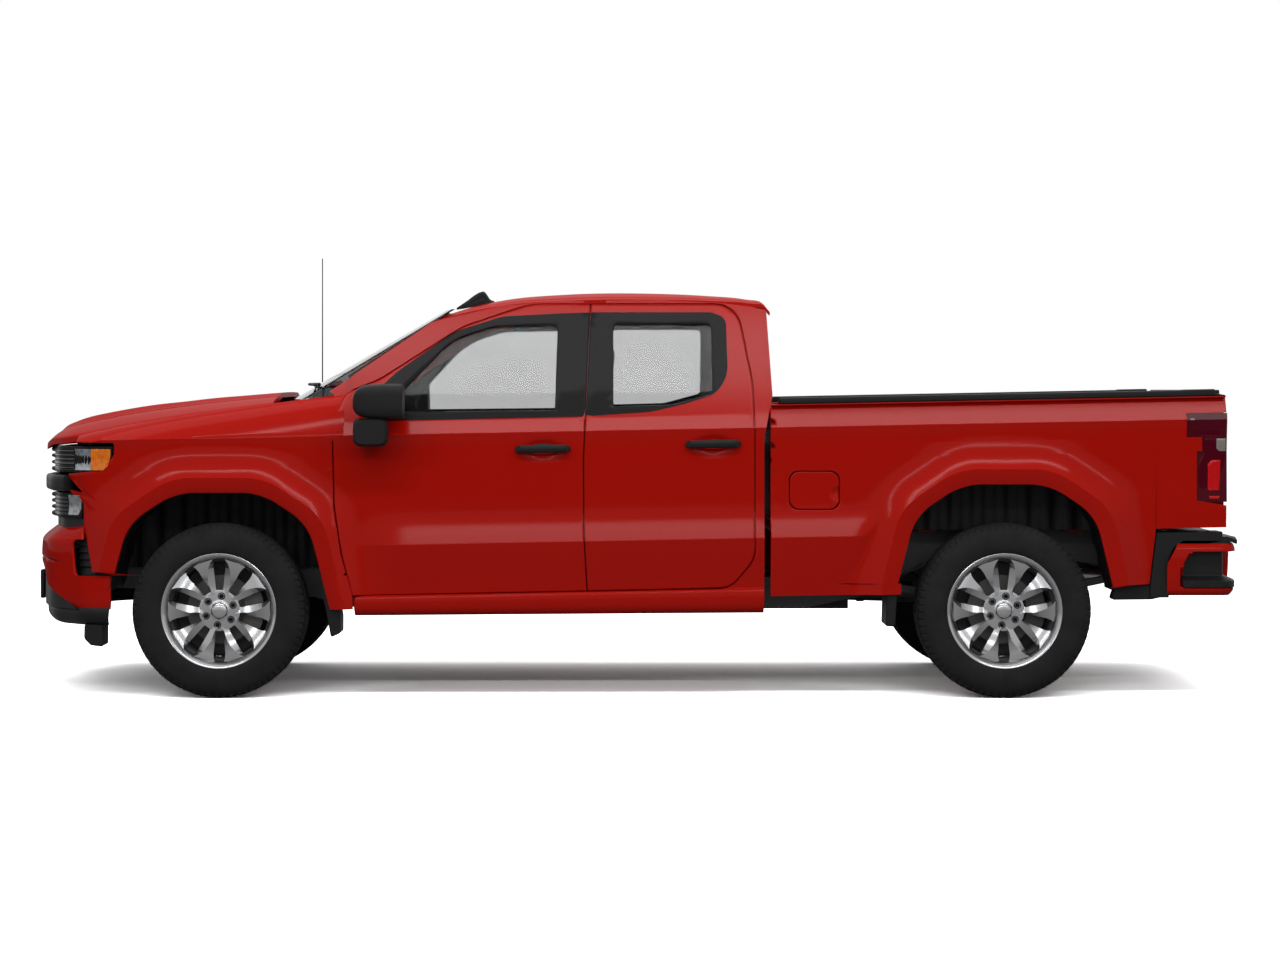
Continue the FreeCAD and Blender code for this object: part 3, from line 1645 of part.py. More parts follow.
# Inside of the cab

FLOOR = size("cab_floor_height") + size("cab_floor_thickness") + size("running_gap")


def dashboard():
    """Dashboard across the cab, with the centre stack below it."""
    x, belt = FRONT_AXLE + 560 + size("running_gap"), size("belt_height")
    outline = [
        (x, belt - 190),
        (x, belt + 20),
        (x + 260, belt - 10, 60),
        (x + 330, belt - 90, 60),
        (x + 300, belt - 260, 60),
        (x + 160, belt - 300, 40),
    ]
    beam = side_prism(outline, -834, 834)
    stack = side_prism(
        [(x + 80, belt - 280), (x + 310, belt - 200), (x + 330, FLOOR + 120, 40), (x + 120, FLOOR)], -150, 150
    )
    return fuse([beam, stack])


DASHBOARD = dashboard()


def flat_sided_bar(centre, axis, radius, length, flats=36):
    """A bar of regular cross section about a slanted line, its first corner to the truck's right."""
    across = Vector(0, 1, 0)
    other = axis.cross(across)
    corners = []
    for index in range(flats):
        angle = 2 * math.pi * index / flats
        corners.append(centre + across * (radius * math.cos(angle)) + other * (radius * math.sin(angle)))
    return Part.Face(Part.makePolygon([*corners, corners[0]])).extrude(axis * length)


def steering_wheel():
    """Steering wheel on its column: a rim of flats, three spokes and a hub."""
    centre = Vector(FRONT_AXLE + 1010, -400, 1180)
    axis = Vector(0.9, 0, 0.43).normalize()
    rim_outer, rim_inner, rim_depth = 195, 167, 26
    start = centre - axis * (rim_depth / 2)
    ring = flat_sided_bar(start, axis, rim_outer, rim_depth)
    ring = ring.cut(flat_sided_bar(start, axis, rim_inner, rim_depth))
    hub = flat_sided_bar(centre - axis * 40, axis, 48, 50, 18)
    column = flat_sided_bar(centre - axis * 140, axis, 30, 130, 18)
    spokes = []
    for angle in (0, 90, 180):
        bar = Part.makeBox(12, 26, 178, Vector(-18, -13, 0))
        bar.Placement = Placement(centre, Rotation(Vector(1, 0, 0), axis))
        bar.rotate(centre, axis, angle + 90)
        spokes.append(bar)
    return fuse([ring, hub, column, *spokes]).cut(DASHBOARD)


def seat(x, y, width, back_height):
    """One seat: plinth, cushion, reclined back and head rest."""
    cushion = side_prism(
        [(x, 800, 40), (x, 930, 60), (x + 500, 900), (x + 500, 790)], y - width / 2, y + width / 2
    )
    back = side_prism(
        [(x + 420, 800), (x + 560, 1480, 50), (x + 660, 1480, 50), (x + 560, 790)],
        y - width / 2,
        y + width / 2,
    )
    return cushion, back


def seats():
    """Two front seats and the rear bench."""
    made = []
    for side in (-1, 1):
        y = side * 400
        x = FRONT_AXLE + 1190
        cushion, back = seat(x, y, 520, 1480)
        plinth = box(x + 60, x + 460, y - 200, y + 200, FLOOR, 830)
        post = rod((x + 600, y, 1460), (x + 620, y, 1560), 22)
        pad = [(x + 570, 1520, 30), (x + 580, 1680, 40), (x + 680, 1680, 40), (x + 670, 1520, 30)]
        rest = side_prism(pad, y - 135, y + 135)
        made.append(fuse([cushion, back, plinth, post, rest]))
    x = FRONT_AXLE + 1930
    cushion = side_prism([(x, 800, 40), (x, 920, 60), (x + 460, 890), (x + 460, 790)], -720, 720)
    back = side_prism([(x + 430, 800), (x + 520, 1420, 50), (x + 610, 1420), (x + 560, 790)], -720, 720)
    plinth = box(x + 150, x + 450, -680, 680, FLOOR, 830)
    rests = []
    for y in (-420, 420):
        pad = [(x + 520, 1400), (x + 530, 1540, 40), (x + 605, 1540, 30), (x + 600, 1400)]
        rests.append(side_prism(pad, y - 130, y + 130))
    made.append(fuse([cushion, back, plinth, *rests]))
    return Part.makeCompound(made)


piece("dashboard", DASHBOARD)
piece("steering_wheel", steering_wheel())
piece("seats", seats())


# Small outside pieces

def splash_guards():
    """Dark flaps behind the front wheels and ahead of the rear ones, hung in the arches."""
    x, rear = FRONT_AXLE, REAR_AXLE
    front_flap = [(x + 515, 330), (x + 520, 560), (x + 545, 570), (x + 580, 360), (x + 560, 296)]
    rear_flap = [(rear - 562, 345), (rear - 548, 600), (rear - 534, 607), (rear - 520, 350)]
    front = side_prism(front_flap, -960, -780)
    back = side_prism(rear_flap, -960, -760)
    front, back = front.cut(FENDER), back.cut(BED_SIDE)
    return Part.makeCompound([*both_sides(front).Solids, *both_sides(back).Solids])


def aerials():
    """Roof fin and the whip aerial on the right fender."""
    x = DOOR_FRONT + 543
    top = DOOR_TOP - 72 + size("roof_thickness") + size("roof_crown")
    fin = side_prism(
        [
            (x, top - 40),
            (x, top),
            (x + 70, top + 60),
            (x + 130, top + 100),
            (x + 195, top + 62),
            (x + 195, top - 40),
        ],
        -34,
        34,
    )
    gap = UP * size("running_gap")
    fin = fin.cut(ROOF.translated(gap)).Solids[-1]
    at_x, at_y = FRONT_AXLE + 330, 890
    low = hood_edge(at_x) - 60
    foot = Vector(at_x, at_y, low)
    stem = fuse([rod(foot, (at_x, at_y, size("mast_top")), 4), rod(foot, foot + Vector(0, 0, 86), 12)])
    stem = stem.cut(FENDER.mirror(Vector(0, 0, 0), Vector(0, 1, 0)).translated(gap))
    tallest = max(stem.Solids, key=lambda solid: solid.Volume)
    return Part.makeCompound([fin, tallest])


piece("splash_guards", splash_guards())
piece("aerials", aerials())

doc.recompute()


def check_and_export():
    """Stops on a failed object, then writes each sub-part's STEP file."""
    for item in doc.Objects:
        if {"Invalid", "Error"} & set(item.State):
            raise RuntimeError(f"{item.Label} failed: {item.State}")
    os.makedirs("parts", exist_ok=True)
    for item in NODES:
        shape = item.Shape
        if shape.isNull() or not shape.isValid() or not shape.Solids:
            raise RuntimeError(f"{item.Label} has no valid solid")
        shape.exportStep(f"parts/{item.Label}.step")
        print(item.Label, len(shape.Solids), round(shape.Volume / 1e6, 2), "litres")


check_and_export()
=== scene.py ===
"""Pickup truck: materials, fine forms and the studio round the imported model.

Metres, +Z up, the nose towards -X and the left side towards -Y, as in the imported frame.
"""

import json
import logging
import math
from dataclasses import dataclass, field
from enum import Enum
from typing import Callable, Iterable, Sequence

import bpy
import numpy as np
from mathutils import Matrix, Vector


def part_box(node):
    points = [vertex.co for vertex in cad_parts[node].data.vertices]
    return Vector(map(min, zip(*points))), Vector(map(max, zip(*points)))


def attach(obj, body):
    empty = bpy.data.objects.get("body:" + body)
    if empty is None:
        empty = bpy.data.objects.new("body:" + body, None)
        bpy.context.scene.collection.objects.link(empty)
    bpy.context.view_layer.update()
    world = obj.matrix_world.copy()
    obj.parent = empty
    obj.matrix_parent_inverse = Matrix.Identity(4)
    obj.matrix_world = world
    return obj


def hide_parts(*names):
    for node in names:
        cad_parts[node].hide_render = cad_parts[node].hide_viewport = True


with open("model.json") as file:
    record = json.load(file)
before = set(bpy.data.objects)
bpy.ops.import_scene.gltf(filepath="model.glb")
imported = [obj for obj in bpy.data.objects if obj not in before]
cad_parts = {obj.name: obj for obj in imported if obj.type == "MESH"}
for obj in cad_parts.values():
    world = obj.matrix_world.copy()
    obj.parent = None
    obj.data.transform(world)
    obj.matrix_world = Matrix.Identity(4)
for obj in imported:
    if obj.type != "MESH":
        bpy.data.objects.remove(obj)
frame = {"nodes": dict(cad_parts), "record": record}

LOG = logging.getLogger("truck")
Array = np.ndarray
Socket = bpy.types.NodeSocket
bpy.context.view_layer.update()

FRONT_AXLE, REAR_AXLE = -1.9475, 1.7975
AXLE_HEIGHT, WHEEL_Y = 0.417, 0.866
# Stations of the front door's front edge, of both sides of the seam between the doors, of the rear edge.
DOOR_FRONT, SPLIT, SPLIT_REAR, DOOR_REAR = -1.4025, -0.2125, -0.2065, 0.6045
# The body's rise for each metre to the rear, and heights along it: doors' foot, their waist, bed's edge.
RAKE, DOOR_FOOT, WAIST, BED_TOP = 0.019, 0.4905, 1.312, 1.361
# How far the crease of a flare stands off the arch's edge.
FLARE = 0.072
# Even rows lie this many times their pitch apart; rolled edges and creases have rows at these distances.
COARSE = 2.2
EDGE_STEPS = np.array([0, 0.0007, 0.0024, 0.0068])
CREASE_STEPS = 0.0012 * np.array([-3, -1, 0, 1, 3])


class Side(Enum):
    """The two sides of the truck, with the sign of their y."""

    LEFT = -1
    RIGHT = 1

    @property
    def word(self) -> str:
        """The side's word in names."""
        return self.name.lower()


# Meshes


class Shell:
    """Collects closed surfaces and turns them into one mesh."""

    def __init__(self) -> None:
        """Starts with no points."""
        self.points: list[Array] = []
        self.faces: list[Array] = []
        self.count = 0

    def add(self, points: Array, faces: Array) -> "Shell":
        """Adds a closed surface: points with quads that index them.

        One whose signed volume, the sum of its faces' cones to its first point, is less than nothing
        has its faces turned.

        Args:
            points: n by 3.
            faces: m by 4; a triangle repeats its last corner.

        Returns:
            The shell itself.
        """
        points = np.asarray(points, float).reshape(-1, 3)
        a, b, c, d = (points[faces[:, k]] - points[0] for k in range(4))
        if (np.cross(a, b) * c).sum() + (np.cross(a, c) * d).sum() < 0:
            faces = faces[:, ::-1]
        self.points.append(points)
        self.faces.append(faces + self.count)
        self.count += len(points)
        return self

    @staticmethod
    def quads(nu: int, nv: int, loop_u: bool = False, loop_v: bool = False) -> Array:
        """Quads of a grid of nu rows and nv columns."""
        index = np.arange(nu * nv).reshape(nu, nv)
        if loop_u:
            index = np.vstack([index, index[:1]])
        if loop_v:
            index = np.hstack([index, index[:, :1]])
        return np.stack([index[:-1, :-1], index[1:, :-1], index[1:, 1:], index[:-1, 1:]], -1).reshape(-1, 4)

    def tube(self, points: Array) -> "Shell":
        """Adds rows that are each a closed ring, with a fan over the first and the last row.

        Args:
            points: nu by nv by 3.

        Returns:
            The shell itself.
        """
        nu, nv = points.shape[:2]
        steps = np.arange(nv)
        following = np.roll(steps, -1)
        end = (nu - 1) * nv
        first = np.column_stack([np.full(nv, nu * nv), steps, following, following])
        last = np.column_stack([np.full(nv, nu * nv + 1), following + end, steps + end, steps + end])
        flat = np.vstack([points.reshape(-1, 3), points[0].mean(0), points[-1].mean(0)])
        return self.add(flat, np.vstack([self.quads(nu, nv, False, True), first, last]))

    def slab(self, outer: Array, inner: Array, loop: bool = False) -> "Shell":
        """Adds a closed plate between two grids of the same shape: both faces and the edges between.

        Args:
            outer: nu by nv by 3, the face that shows.
            inner: the same for the back.
            loop: joins the last row to the first, so that the plate is a ring.
        Returns:
            The shell itself.
        """
        nu, nv = outer.shape[:2]
        size = nu * nv
        front = self.quads(nu, nv, loop)
        if loop:
            rows = np.arange(nu) * nv
            following = np.roll(rows, -1)
            ends = np.column_stack([rows, following, following + size, rows + size])
            rim = np.vstack([ends, (ends + nv - 1)[:, ::-1]])
        else:
            border = np.concatenate([np.arange(nv), nv * np.arange(1, nu) + nv - 1,
                                     nu * nv - 2 - np.arange(nv - 1), nv * np.arange(nu - 2, 0, -1)])
            following = np.roll(border, -1)
            rim = np.column_stack([border, following, following + size, border + size])
        faces = np.vstack([front, front[:, ::-1] + size, rim])
        return self.add(np.vstack([outer.reshape(-1, 3), inner.reshape(-1, 3)]), faces)

    def turned(self, profile: Array, hub: Sequence[float], count: int, closed: bool = True) -> "Shell":
        """Adds a profile turned about a level axis across the truck.

        Args:
            profile: n by 2, distance from the axis and place along it; a closed loop, or one that starts
                and ends on the axis.
            hub: a point of the axis.
            count: steps round.
            closed: whether the profile is a loop.
        Returns:
            The shell itself.
        """
        turn = turns(count)[:, None]
        radius, along = profile[None, :, 0], profile[None, :, 1]
        points = np.stack([hub[0] + radius * np.cos(turn), hub[1] + along + 0 * turn,
                           hub[2] + radius * np.sin(turn)], -1)
        return self.add(points, self.quads(count, len(profile), True, closed))

    def mirrored(self) -> "Shell":
        """A copy on the other side of the truck, with its faces turned to match."""
        twin = Shell()
        twin.points = [points * (1, -1, 1) for points in self.points]
        twin.faces = [faces[:, ::-1] for faces in self.faces]
        twin.count = self.count
        return twin

    def joined(self, other: "Shell") -> "Shell":
        """Takes in another shell's points and faces."""
        for points, faces in zip(other.points, other.faces):
            self.points.append(points)
            self.faces.append(faces + self.count)
        self.count += other.count
        return self

    def build(self, name: str, smooth: float = 35.0) -> bpy.types.Object:
        """Makes the object, with doubled points merged and no empty faces.

        Args:
            name: of the object.
            smooth: edges sharper than this many degrees stay sharp.

        Returns:
            A linked object at the origin.
        """
        points = np.vstack(self.points)
        keys = np.round(points * 1e6).astype(np.int64)
        _, first, where = np.unique(keys, axis=0, return_index=True, return_inverse=True)
        return mesh_object(name, points[first], where.reshape(-1)[np.vstack(self.faces)], smooth)


def mesh_object(name: str, points: Array, faces: Array, smooth: float) -> bpy.types.Object:
    """Makes a linked object from points and four-column faces.

    Args:
        name: of the object.
        points: n by 3.
        faces: m by 4, where repeated corners mean a triangle or nothing.
        smooth: edges sharper than this many degrees stay sharp.

    Returns:
        The object.
    """
    following = np.roll(faces, -1, axis=1)
    keep = faces != following
    sizes = keep.sum(1)
    good = sizes >= 3
    faces, keep, sizes = faces[good], keep[good], sizes[good]
    loops = faces[keep]
    mesh = bpy.data.meshes.new(name)
    mesh.vertices.add(len(points))
    mesh.vertices.foreach_set("co", points.astype(np.float32).ravel())
    mesh.loops.add(len(loops))
    mesh.loops.foreach_set("vertex_index", loops.astype(np.int32))
    mesh.polygons.add(len(sizes))
    starts = np.concatenate([[0], np.cumsum(sizes)[:-1]]).astype(np.int32)
    mesh.polygons.foreach_set("loop_start", starts)
    mesh.polygons.foreach_set("loop_total", sizes.astype(np.int32))
    mesh.update(calc_edges=True)
    mesh.validate()
    mesh.polygons.foreach_set("use_smooth", np.ones(len(mesh.polygons), bool))
    mesh.set_sharp_from_angle(angle=math.radians(smooth))
    item = bpy.data.objects.new(name, mesh)
    bpy.context.scene.collection.objects.link(item)
    return item


# Finishes


def wired(tree: bpy.types.NodeTree, kind: str, sockets: dict[str | int, object],
          **settings: object) -> Socket:
    """Adds a node.

    Args:
        tree: that it goes into.
        kind: its type.
        sockets: an output to join, or a value, for each of its inputs by name or number.
        settings: its own properties.

    Returns:
        Its first output.
    """
    node = tree.nodes.new(kind)
    for key, value in settings.items():
        setattr(node, key, value)
    for key, value in sockets.items():
        if isinstance(value, Socket):
            tree.links.new(value, node.inputs[key])
        else:
            node.inputs[key].default_value = value
    return node.outputs[0] if node.outputs else None


def spread(tree: bpy.types.NodeTree, fac: Socket, low: float | Socket, high: float) -> Socket:
    """A factor from nought to one carried onto another range."""
    return wired(tree, "ShaderNodeMapRange", {"Value": fac, "To Min": low, "To Max": high})


class Nodes:
    """A material's node tree, with short calls for the nodes that the finishes use."""

    def __init__(self, name: str) -> None:
        """Makes an empty material with a shader and its output."""
        self.material = bpy.data.materials.new(name)
        self.material.use_nodes = True
        self.tree = self.material.node_tree
        self.tree.nodes.clear()
        self.shader = self.tree.nodes.new("ShaderNodeBsdfPrincipled")
        wired(self.tree, "ShaderNodeOutputMaterial", {0: self.shader.outputs[0]})
        self.place = self.tree.nodes.new("ShaderNodeTexCoord").outputs["Object"]

    def set(self, **values: object) -> "Nodes":
        """Sets the shader's own sockets, with underscores for spaces in their names."""
        for key, value in values.items():
            self.shader.inputs[key.replace("_", " ")].default_value = value
        return self

    def scaled(self, scale: Sequence[float]) -> Socket:
        """Object coordinates scaled along each axis."""
        return wired(self.tree, "ShaderNodeMapping", {"Vector": self.place, "Scale": scale})

    def noise(self, scale: float, detail: float = 3, rough: float = 0.55, at: Socket | None = None) -> Socket:
        """Smooth noise, as a factor."""
        return wired(self.tree, "ShaderNodeTexNoise",
                     {"Vector": at or self.place, "Scale": scale, "Detail": detail, "Roughness": rough})

    def cells(self, scale: float) -> Socket:
        """Distance to the nearest of scattered points."""
        return wired(self.tree, "ShaderNodeTexVoronoi", {"Vector": self.place, "Scale": scale}, feature="F1")

    def waves(self, scale: float, direction: str) -> Socket:
        """Even bands across one axis."""
        node = wired(self.tree, "ShaderNodeTexWave", {"Vector": self.place, "Scale": scale},
                     bands_direction=direction).node
        return node.outputs["Fac"]

    def ramp(self, fac: Socket, stops: Sequence[tuple[float, Sequence[float]]]) -> Socket:
        """A colour from a factor."""
        colour = wired(self.tree, "ShaderNodeValToRGB", {"Fac": fac})
        elements = colour.node.color_ramp.elements
        while len(elements) < len(stops):
            elements.new(0.5)
        for element, (at, shade) in zip(elements, stops):
            element.position = at
            element.color = (*shade, 1)
        return colour

    def feed(self, socket: str, value: Socket) -> "Nodes":
        """Joins an output to one of the shader's sockets."""
        self.tree.links.new(value, self.shader.inputs[socket])
        return self

    def bump(self, height: Socket, strength: float, depth: float, after: Socket | None = None) -> Socket:
        """A bump of a depth in metres, on top of another if given, wired to the shader's normal."""
        sockets = {"Height": height, "Strength": strength, "Distance": depth}
        normal = wired(self.tree, "ShaderNodeBump", sockets | ({"Normal": after} if after else {}))
        self.feed("Normal", normal)
        return normal


@dataclass(frozen=True)
class Finish:
    """A finish: its slot in the record and the look of its surface."""

    name: str
    slot: str
    colour: tuple[float, float, float]
    vary: float = 0.08
    vary_scale: float = 6.0
    rough: float = 0.5
    rough_vary: float = 0.08
    metal: float = 0.0
    coat: float = 0.0
    coat_rough: float = 0.03
    grain_scale: float = 900.0
    grain_depth: float = 0.00005
    grain_strength: float = 0.3
    level: float = 0.5
    extra: Callable[[Nodes], None] | None = field(default=None, compare=False)

    def material(self) -> bpy.types.Material:
        """The finish as a material, made once: a broad colour change, varied roughness and a fine grain."""
        known = bpy.data.materials.get(self.name)
        if known:
            return known
        nodes = Nodes(self.name)
        nodes.set(Metallic=self.metal, Coat_Weight=self.coat, Coat_Roughness=self.coat_rough,
                  Specular_IOR_Level=self.level)
        broad = nodes.noise(self.vary_scale, 4)
        dark = tuple(c * (1 - self.vary) for c in self.colour)
        light = tuple(min(1.0, c * (1 + self.vary)) for c in self.colour)
        nodes.feed("Base Color", nodes.ramp(broad, [(0.3, dark), (0.7, light)]))
        spots = nodes.noise(self.vary_scale * 5, 3)
        low, high = max(0.02, self.rough - self.rough_vary), min(1.0, self.rough + self.rough_vary)
        nodes.feed("Roughness", spread(nodes.tree, spots, low, high))
        nodes.bump(nodes.noise(self.grain_scale, 2), self.grain_strength, self.grain_depth)
        if self.extra:
            self.extra(nodes)
        return nodes.material

    def dress(self, item: bpy.types.Object) -> bpy.types.Object:
        """Gives an object this finish alone."""
        item.data.materials.clear()
        item.data.materials.append(self.material())
        return item


def flake(nodes: Nodes) -> None:
    """Fine flakes under the lacquer: small cells tint the colour coat a little."""
    cells = nodes.cells(2600)
    nodes.feed("Base Color", nodes.ramp(cells, [(0.0, (0.50, 0.008, 0.003)), (0.55, (0.45, 0.006, 0.002)),
                                                (1.0, (0.41, 0.005, 0.002))]))


def clear(nodes: Nodes) -> None:
    """Light passes through."""
    nodes.set(Transmission_Weight=1.0, IOR=1.14)


def brushed(nodes: Nodes) -> None:
    """Fine turned lines round the wheel's axis, as low waves across the radius."""
    nodes.bump(nodes.noise(260, 5, 0.7, nodes.scaled((1, 0.2, 1))), 0.15, 0.0001)


def woven(nodes: Nodes) -> None:
    """Crossed threads about two millimetres apart."""
    first = nodes.bump(nodes.waves(160, "X"), 0.35, 0.0006)
    nodes.bump(nodes.waves(160, "Y"), 0.35, 0.0006, first)
    nodes.set(Sheen_Weight=0.25)


class Finishes:
    """Every finish of the truck."""

    PAINT = Finish("red_lacquer", "paint", (0.46, 0.006, 0.002), rough=0.42, rough_vary=0.03, coat=0.16,
                   coat_rough=0.12, grain_scale=140, grain_depth=0.00002, grain_strength=0.05, level=0.0,
                   extra=flake)
    BLACK = Finish("black_moulding", "black_plastic", (0.009, 0.009, 0.010), rough=0.48, rough_vary=0.1,
                   grain_scale=1500, level=0.16)
    GLOSS_BLACK = Finish("gloss_black_moulding", "black_plastic", (0.007, 0.007, 0.008), rough=0.36,
                         rough_vary=0.03, coat=0.03, level=0.06)
    GLASS = Finish("tinted_glass", "glass", (0.66, 0.662, 0.665), vary=0.02, rough=0.02, rough_vary=0.0,
                   grain_depth=0.00001, grain_strength=0.02, extra=clear)
    DARK_GLASS = Finish("dark_glass", "glass", (0.10, 0.105, 0.11), vary=0.02, rough=0.02, rough_vary=0.0,
                        grain_depth=0.00001, grain_strength=0.02, extra=clear)
    LENS = Finish("clear_lens", "lamp_lens", (0.95, 0.96, 0.96), vary=0.01, rough=0.03, rough_vary=0.01,
                  grain_depth=0.00001, grain_strength=0.02, extra=clear)
    TAIL = Finish("red_lens", "tail_lens", (0.085, 0.001, 0.009), rough=0.14, rough_vary=0.02, coat=0.10,
                  level=0.02, grain_scale=220, grain_depth=0.0002, grain_strength=0.15)
    ALLOY = Finish("bright_alloy", "alloy", (0.36, 0.362, 0.37), vary=0.03, rough=0.22, rough_vary=0.05,
                   metal=0.92, extra=brushed)
    SILVER = Finish("mirror_silver", "glass", (0.88, 0.89, 0.90), vary=0.01, rough=0.03, rough_vary=0.01,
                    metal=1.0, grain_depth=0.00001, grain_strength=0.01)
    RUBBER = Finish("tyre_rubber", "tyre", (0.016, 0.016, 0.016), vary=0.25, vary_scale=9, rough=0.76,
                    grain_scale=700, grain_depth=0.0002, level=0.14)
    STEEL = Finish("black_steel", "steel", (0.030, 0.030, 0.031), vary=0.2, rough=0.5, grain_scale=400)
    CAST = Finish("cast_iron", "cast", (0.13, 0.125, 0.12), vary=0.2, rough=0.62, metal=0.6,
                  grain_scale=350, grain_depth=0.0004)
    PIPE = Finish("pipe_steel", "exhaust_steel", (0.42, 0.40, 0.37), vary=0.12, rough=0.38, metal=1.0,
                  grain_scale=500)
    TRIM = Finish("cabin_moulding", "trim", (0.030, 0.030, 0.033), vary=0.12, rough=0.62, grain_scale=800,
                  grain_depth=0.0002)
    SLATS = Finish("lamp_black", "black_plastic", (0.010, 0.010, 0.012), rough=0.34, rough_vary=0.02,
                   level=0.12)
    BOWL = Finish("lamp_silver", "lamp_lens", (0.30, 0.31, 0.33), vary=0.45, vary_scale=38, rough=0.22,
                  rough_vary=0.06, metal=0.5, coat=0.3)
    AMBER = Finish("lamp_amber", "lamp_lens", (0.98, 0.20, 0.004), vary=0.30, vary_scale=45, rough=0.14,
                   rough_vary=0.03, coat=0.2, level=0.2)
    TRIM_BRIGHT = Finish("dark_chrome", "black_plastic", (0.055, 0.055, 0.06), vary=0.05, rough=0.20,
                         rough_vary=0.03, metal=0.5, coat=0.2)
    TAIL_BRIGHT = Finish("red_lens_bright", "tail_lens", (0.62, 0.004, 0.006), rough=0.12, rough_vary=0.02,
                         coat=0.15, level=0.15, grain_scale=260, grain_depth=0.0002, grain_strength=0.2)
    # Pale lens colour: the real reverse lens, and also a painted highlight patch on the upper tail lamp.
    PALE_LENS = Finish("pale_lens", "tail_lens", (0.26, 0.22, 0.20), rough=0.14, rough_vary=0.02, coat=0.2)
    CLOTH = Finish("seat_cloth", "cloth", (0.040, 0.040, 0.043), vary=0.18, rough=0.9, extra=woven)

    BY_SLOT = {
        "paint": PAINT, "black_plastic": BLACK, "glass": GLASS, "lamp_lens": LENS, "tail_lens": TAIL,
        "alloy": ALLOY, "tyre": RUBBER, "steel": STEEL, "cast": CAST, "exhaust_steel": PIPE,
        "trim": TRIM, "cloth": CLOTH,
    }


def keep(shell: Shell, name: str, finish: Finish, body: str, smooth: float = 35.0,
         instead_of: Iterable[str] = ()) -> bpy.types.Object:
    """Builds a shell, dresses it and sets it on its body.

    Args:
        shell: the mesh parts.
        name: of the piece.
        finish: its material.
        body: the body that it rides on.
        smooth: edges sharper than this many degrees stay sharp.
        instead_of: nodes that it stands for.

    Returns:
        The piece.
    """
    item = finish.dress(shell.build(name, smooth))
    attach(item, body)
    if instead_of:
        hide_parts(*instead_of)
    LOG.info("%s: %d faces on %s", name, len(item.data.polygons), body)
    return item


def both_sides(shell: Shell, name: str, finish: Finish, bodies: Sequence[str] = ("chassis",),
               smooth: float = 35.0, instead_of: str = "") -> None:
    """Builds a left-hand shell and its mirror image, each on its own body.

    Args:
        shell: the left-hand mesh parts.
        name: the pieces' name before the side's word.
        finish: their material.
        bodies: body of the left and of the right piece, or of both.
        smooth: edges sharper than this many degrees stay sharp.
        instead_of: node that they stand for; one that ends in a bar gets the side's word.
    """
    for side, one, body in ((Side.LEFT, shell, bodies[0]), (Side.RIGHT, shell.mirrored(), bodies[-1])):
        node = instead_of + side.word if instead_of.endswith("_") else instead_of
        keep(one, f"{name}_{side.word}", finish, body, smooth, [node] if node else [])


# Curves and rings


def turns(count: int) -> Array:
    """Angles of even steps round a full turn."""
    return np.linspace(0, 2 * math.pi, count, endpoint=False)


def powered(value: Array, power: float) -> Array:
    """A power of a value's size with the value's sign; below one it squares off the round of a sine."""
    return np.sign(value) * np.abs(value) ** power


def rounded(corners: Sequence[Sequence[float]], steps: int = 8) -> Array:
    """Closed outline with tangent arcs: each corner's third number is its radius, cut to the room beside it.

    Args:
        corners: two numbers, or three with a radius, for each corner.
        steps: points on each arc.

    Returns:
        n by 2 points.
    """
    flat = np.array([corner[:2] for corner in corners], float)
    radii = np.array([corner[2] if len(corner) > 2 else 0.0 for corner in corners])
    back, forth = np.roll(flat, 1, 0) - flat, np.roll(flat, -1, 0) - flat
    long_back, long_forth = np.linalg.norm(back, axis=1), np.linalg.norm(forth, axis=1)
    back, forth = back / long_back[:, None], forth / long_forth[:, None]
    half = np.arccos(np.clip((back * forth).sum(1), -1, 1)) / 2
    reach = np.minimum(radii / np.tan(half), 0.49 * np.minimum(long_back, long_forth))
    start, end = flat + back * reach[:, None], flat + forth * reach[:, None]
    share = np.linspace(0, 1, steps)[None, :, None]
    blend = (1 - share) ** 2 * start[:, None] + share ** 2 * end[:, None]
    weight = np.sin(half)[:, None, None] * 2 * share * (1 - share)
    curve = (blend + weight * flat[:, None]) / ((1 - share) ** 2 + share ** 2 + weight)
    points = np.where(radii[:, None, None] > 0, curve, flat[:, None]).reshape(-1, 2)
    apart = np.linalg.norm(points - np.roll(points, 1, 0), axis=1) > 1e-7
    return points[apart]


def dense(loop: Array, step: float = 0.004) -> Array:
    """A closed line with extra points on its straight runs, none longer than a step."""
    ends = np.roll(loop, -1, 0)
    counts = np.maximum(1, np.ceil(np.linalg.norm(ends - loop, axis=1) / step).astype(int))
    which = np.repeat(np.arange(len(loop)), counts)
    offset = np.arange(len(which)) - np.repeat(np.cumsum(counts) - counts, counts)
    share = (offset / counts[which])[:, None]
    return loop[which] * (1 - share) + ends[which] * share


def inset(loop: Array, distance: float) -> Array:
    """A closed outline moved inwards by a distance, each point along its own normal."""
    along = np.roll(loop, -1, 0) - np.roll(loop, 1, 0)
    normal = np.stack([-along[:, 1], along[:, 0]], 1) / np.linalg.norm(along, axis=1, keepdims=True)
    area = np.sum(loop[:, 0] * np.roll(loop[:, 1], -1) - np.roll(loop[:, 0], -1) * loop[:, 1])
    return loop + normal * distance * np.sign(area)


def polar(loop: Array, centre: Sequence[float], angles: Array) -> Array:
    """Distance from a centre to an outline along each angle, for an outline seen whole from the centre."""
    apart = dense(loop) - centre
    around = np.arctan2(apart[:, 1], apart[:, 0]) % (2 * math.pi)
    order = np.argsort(around)
    return np.interp(angles % (2 * math.pi), around[order], np.hypot(*apart.T)[order], period=2 * math.pi)


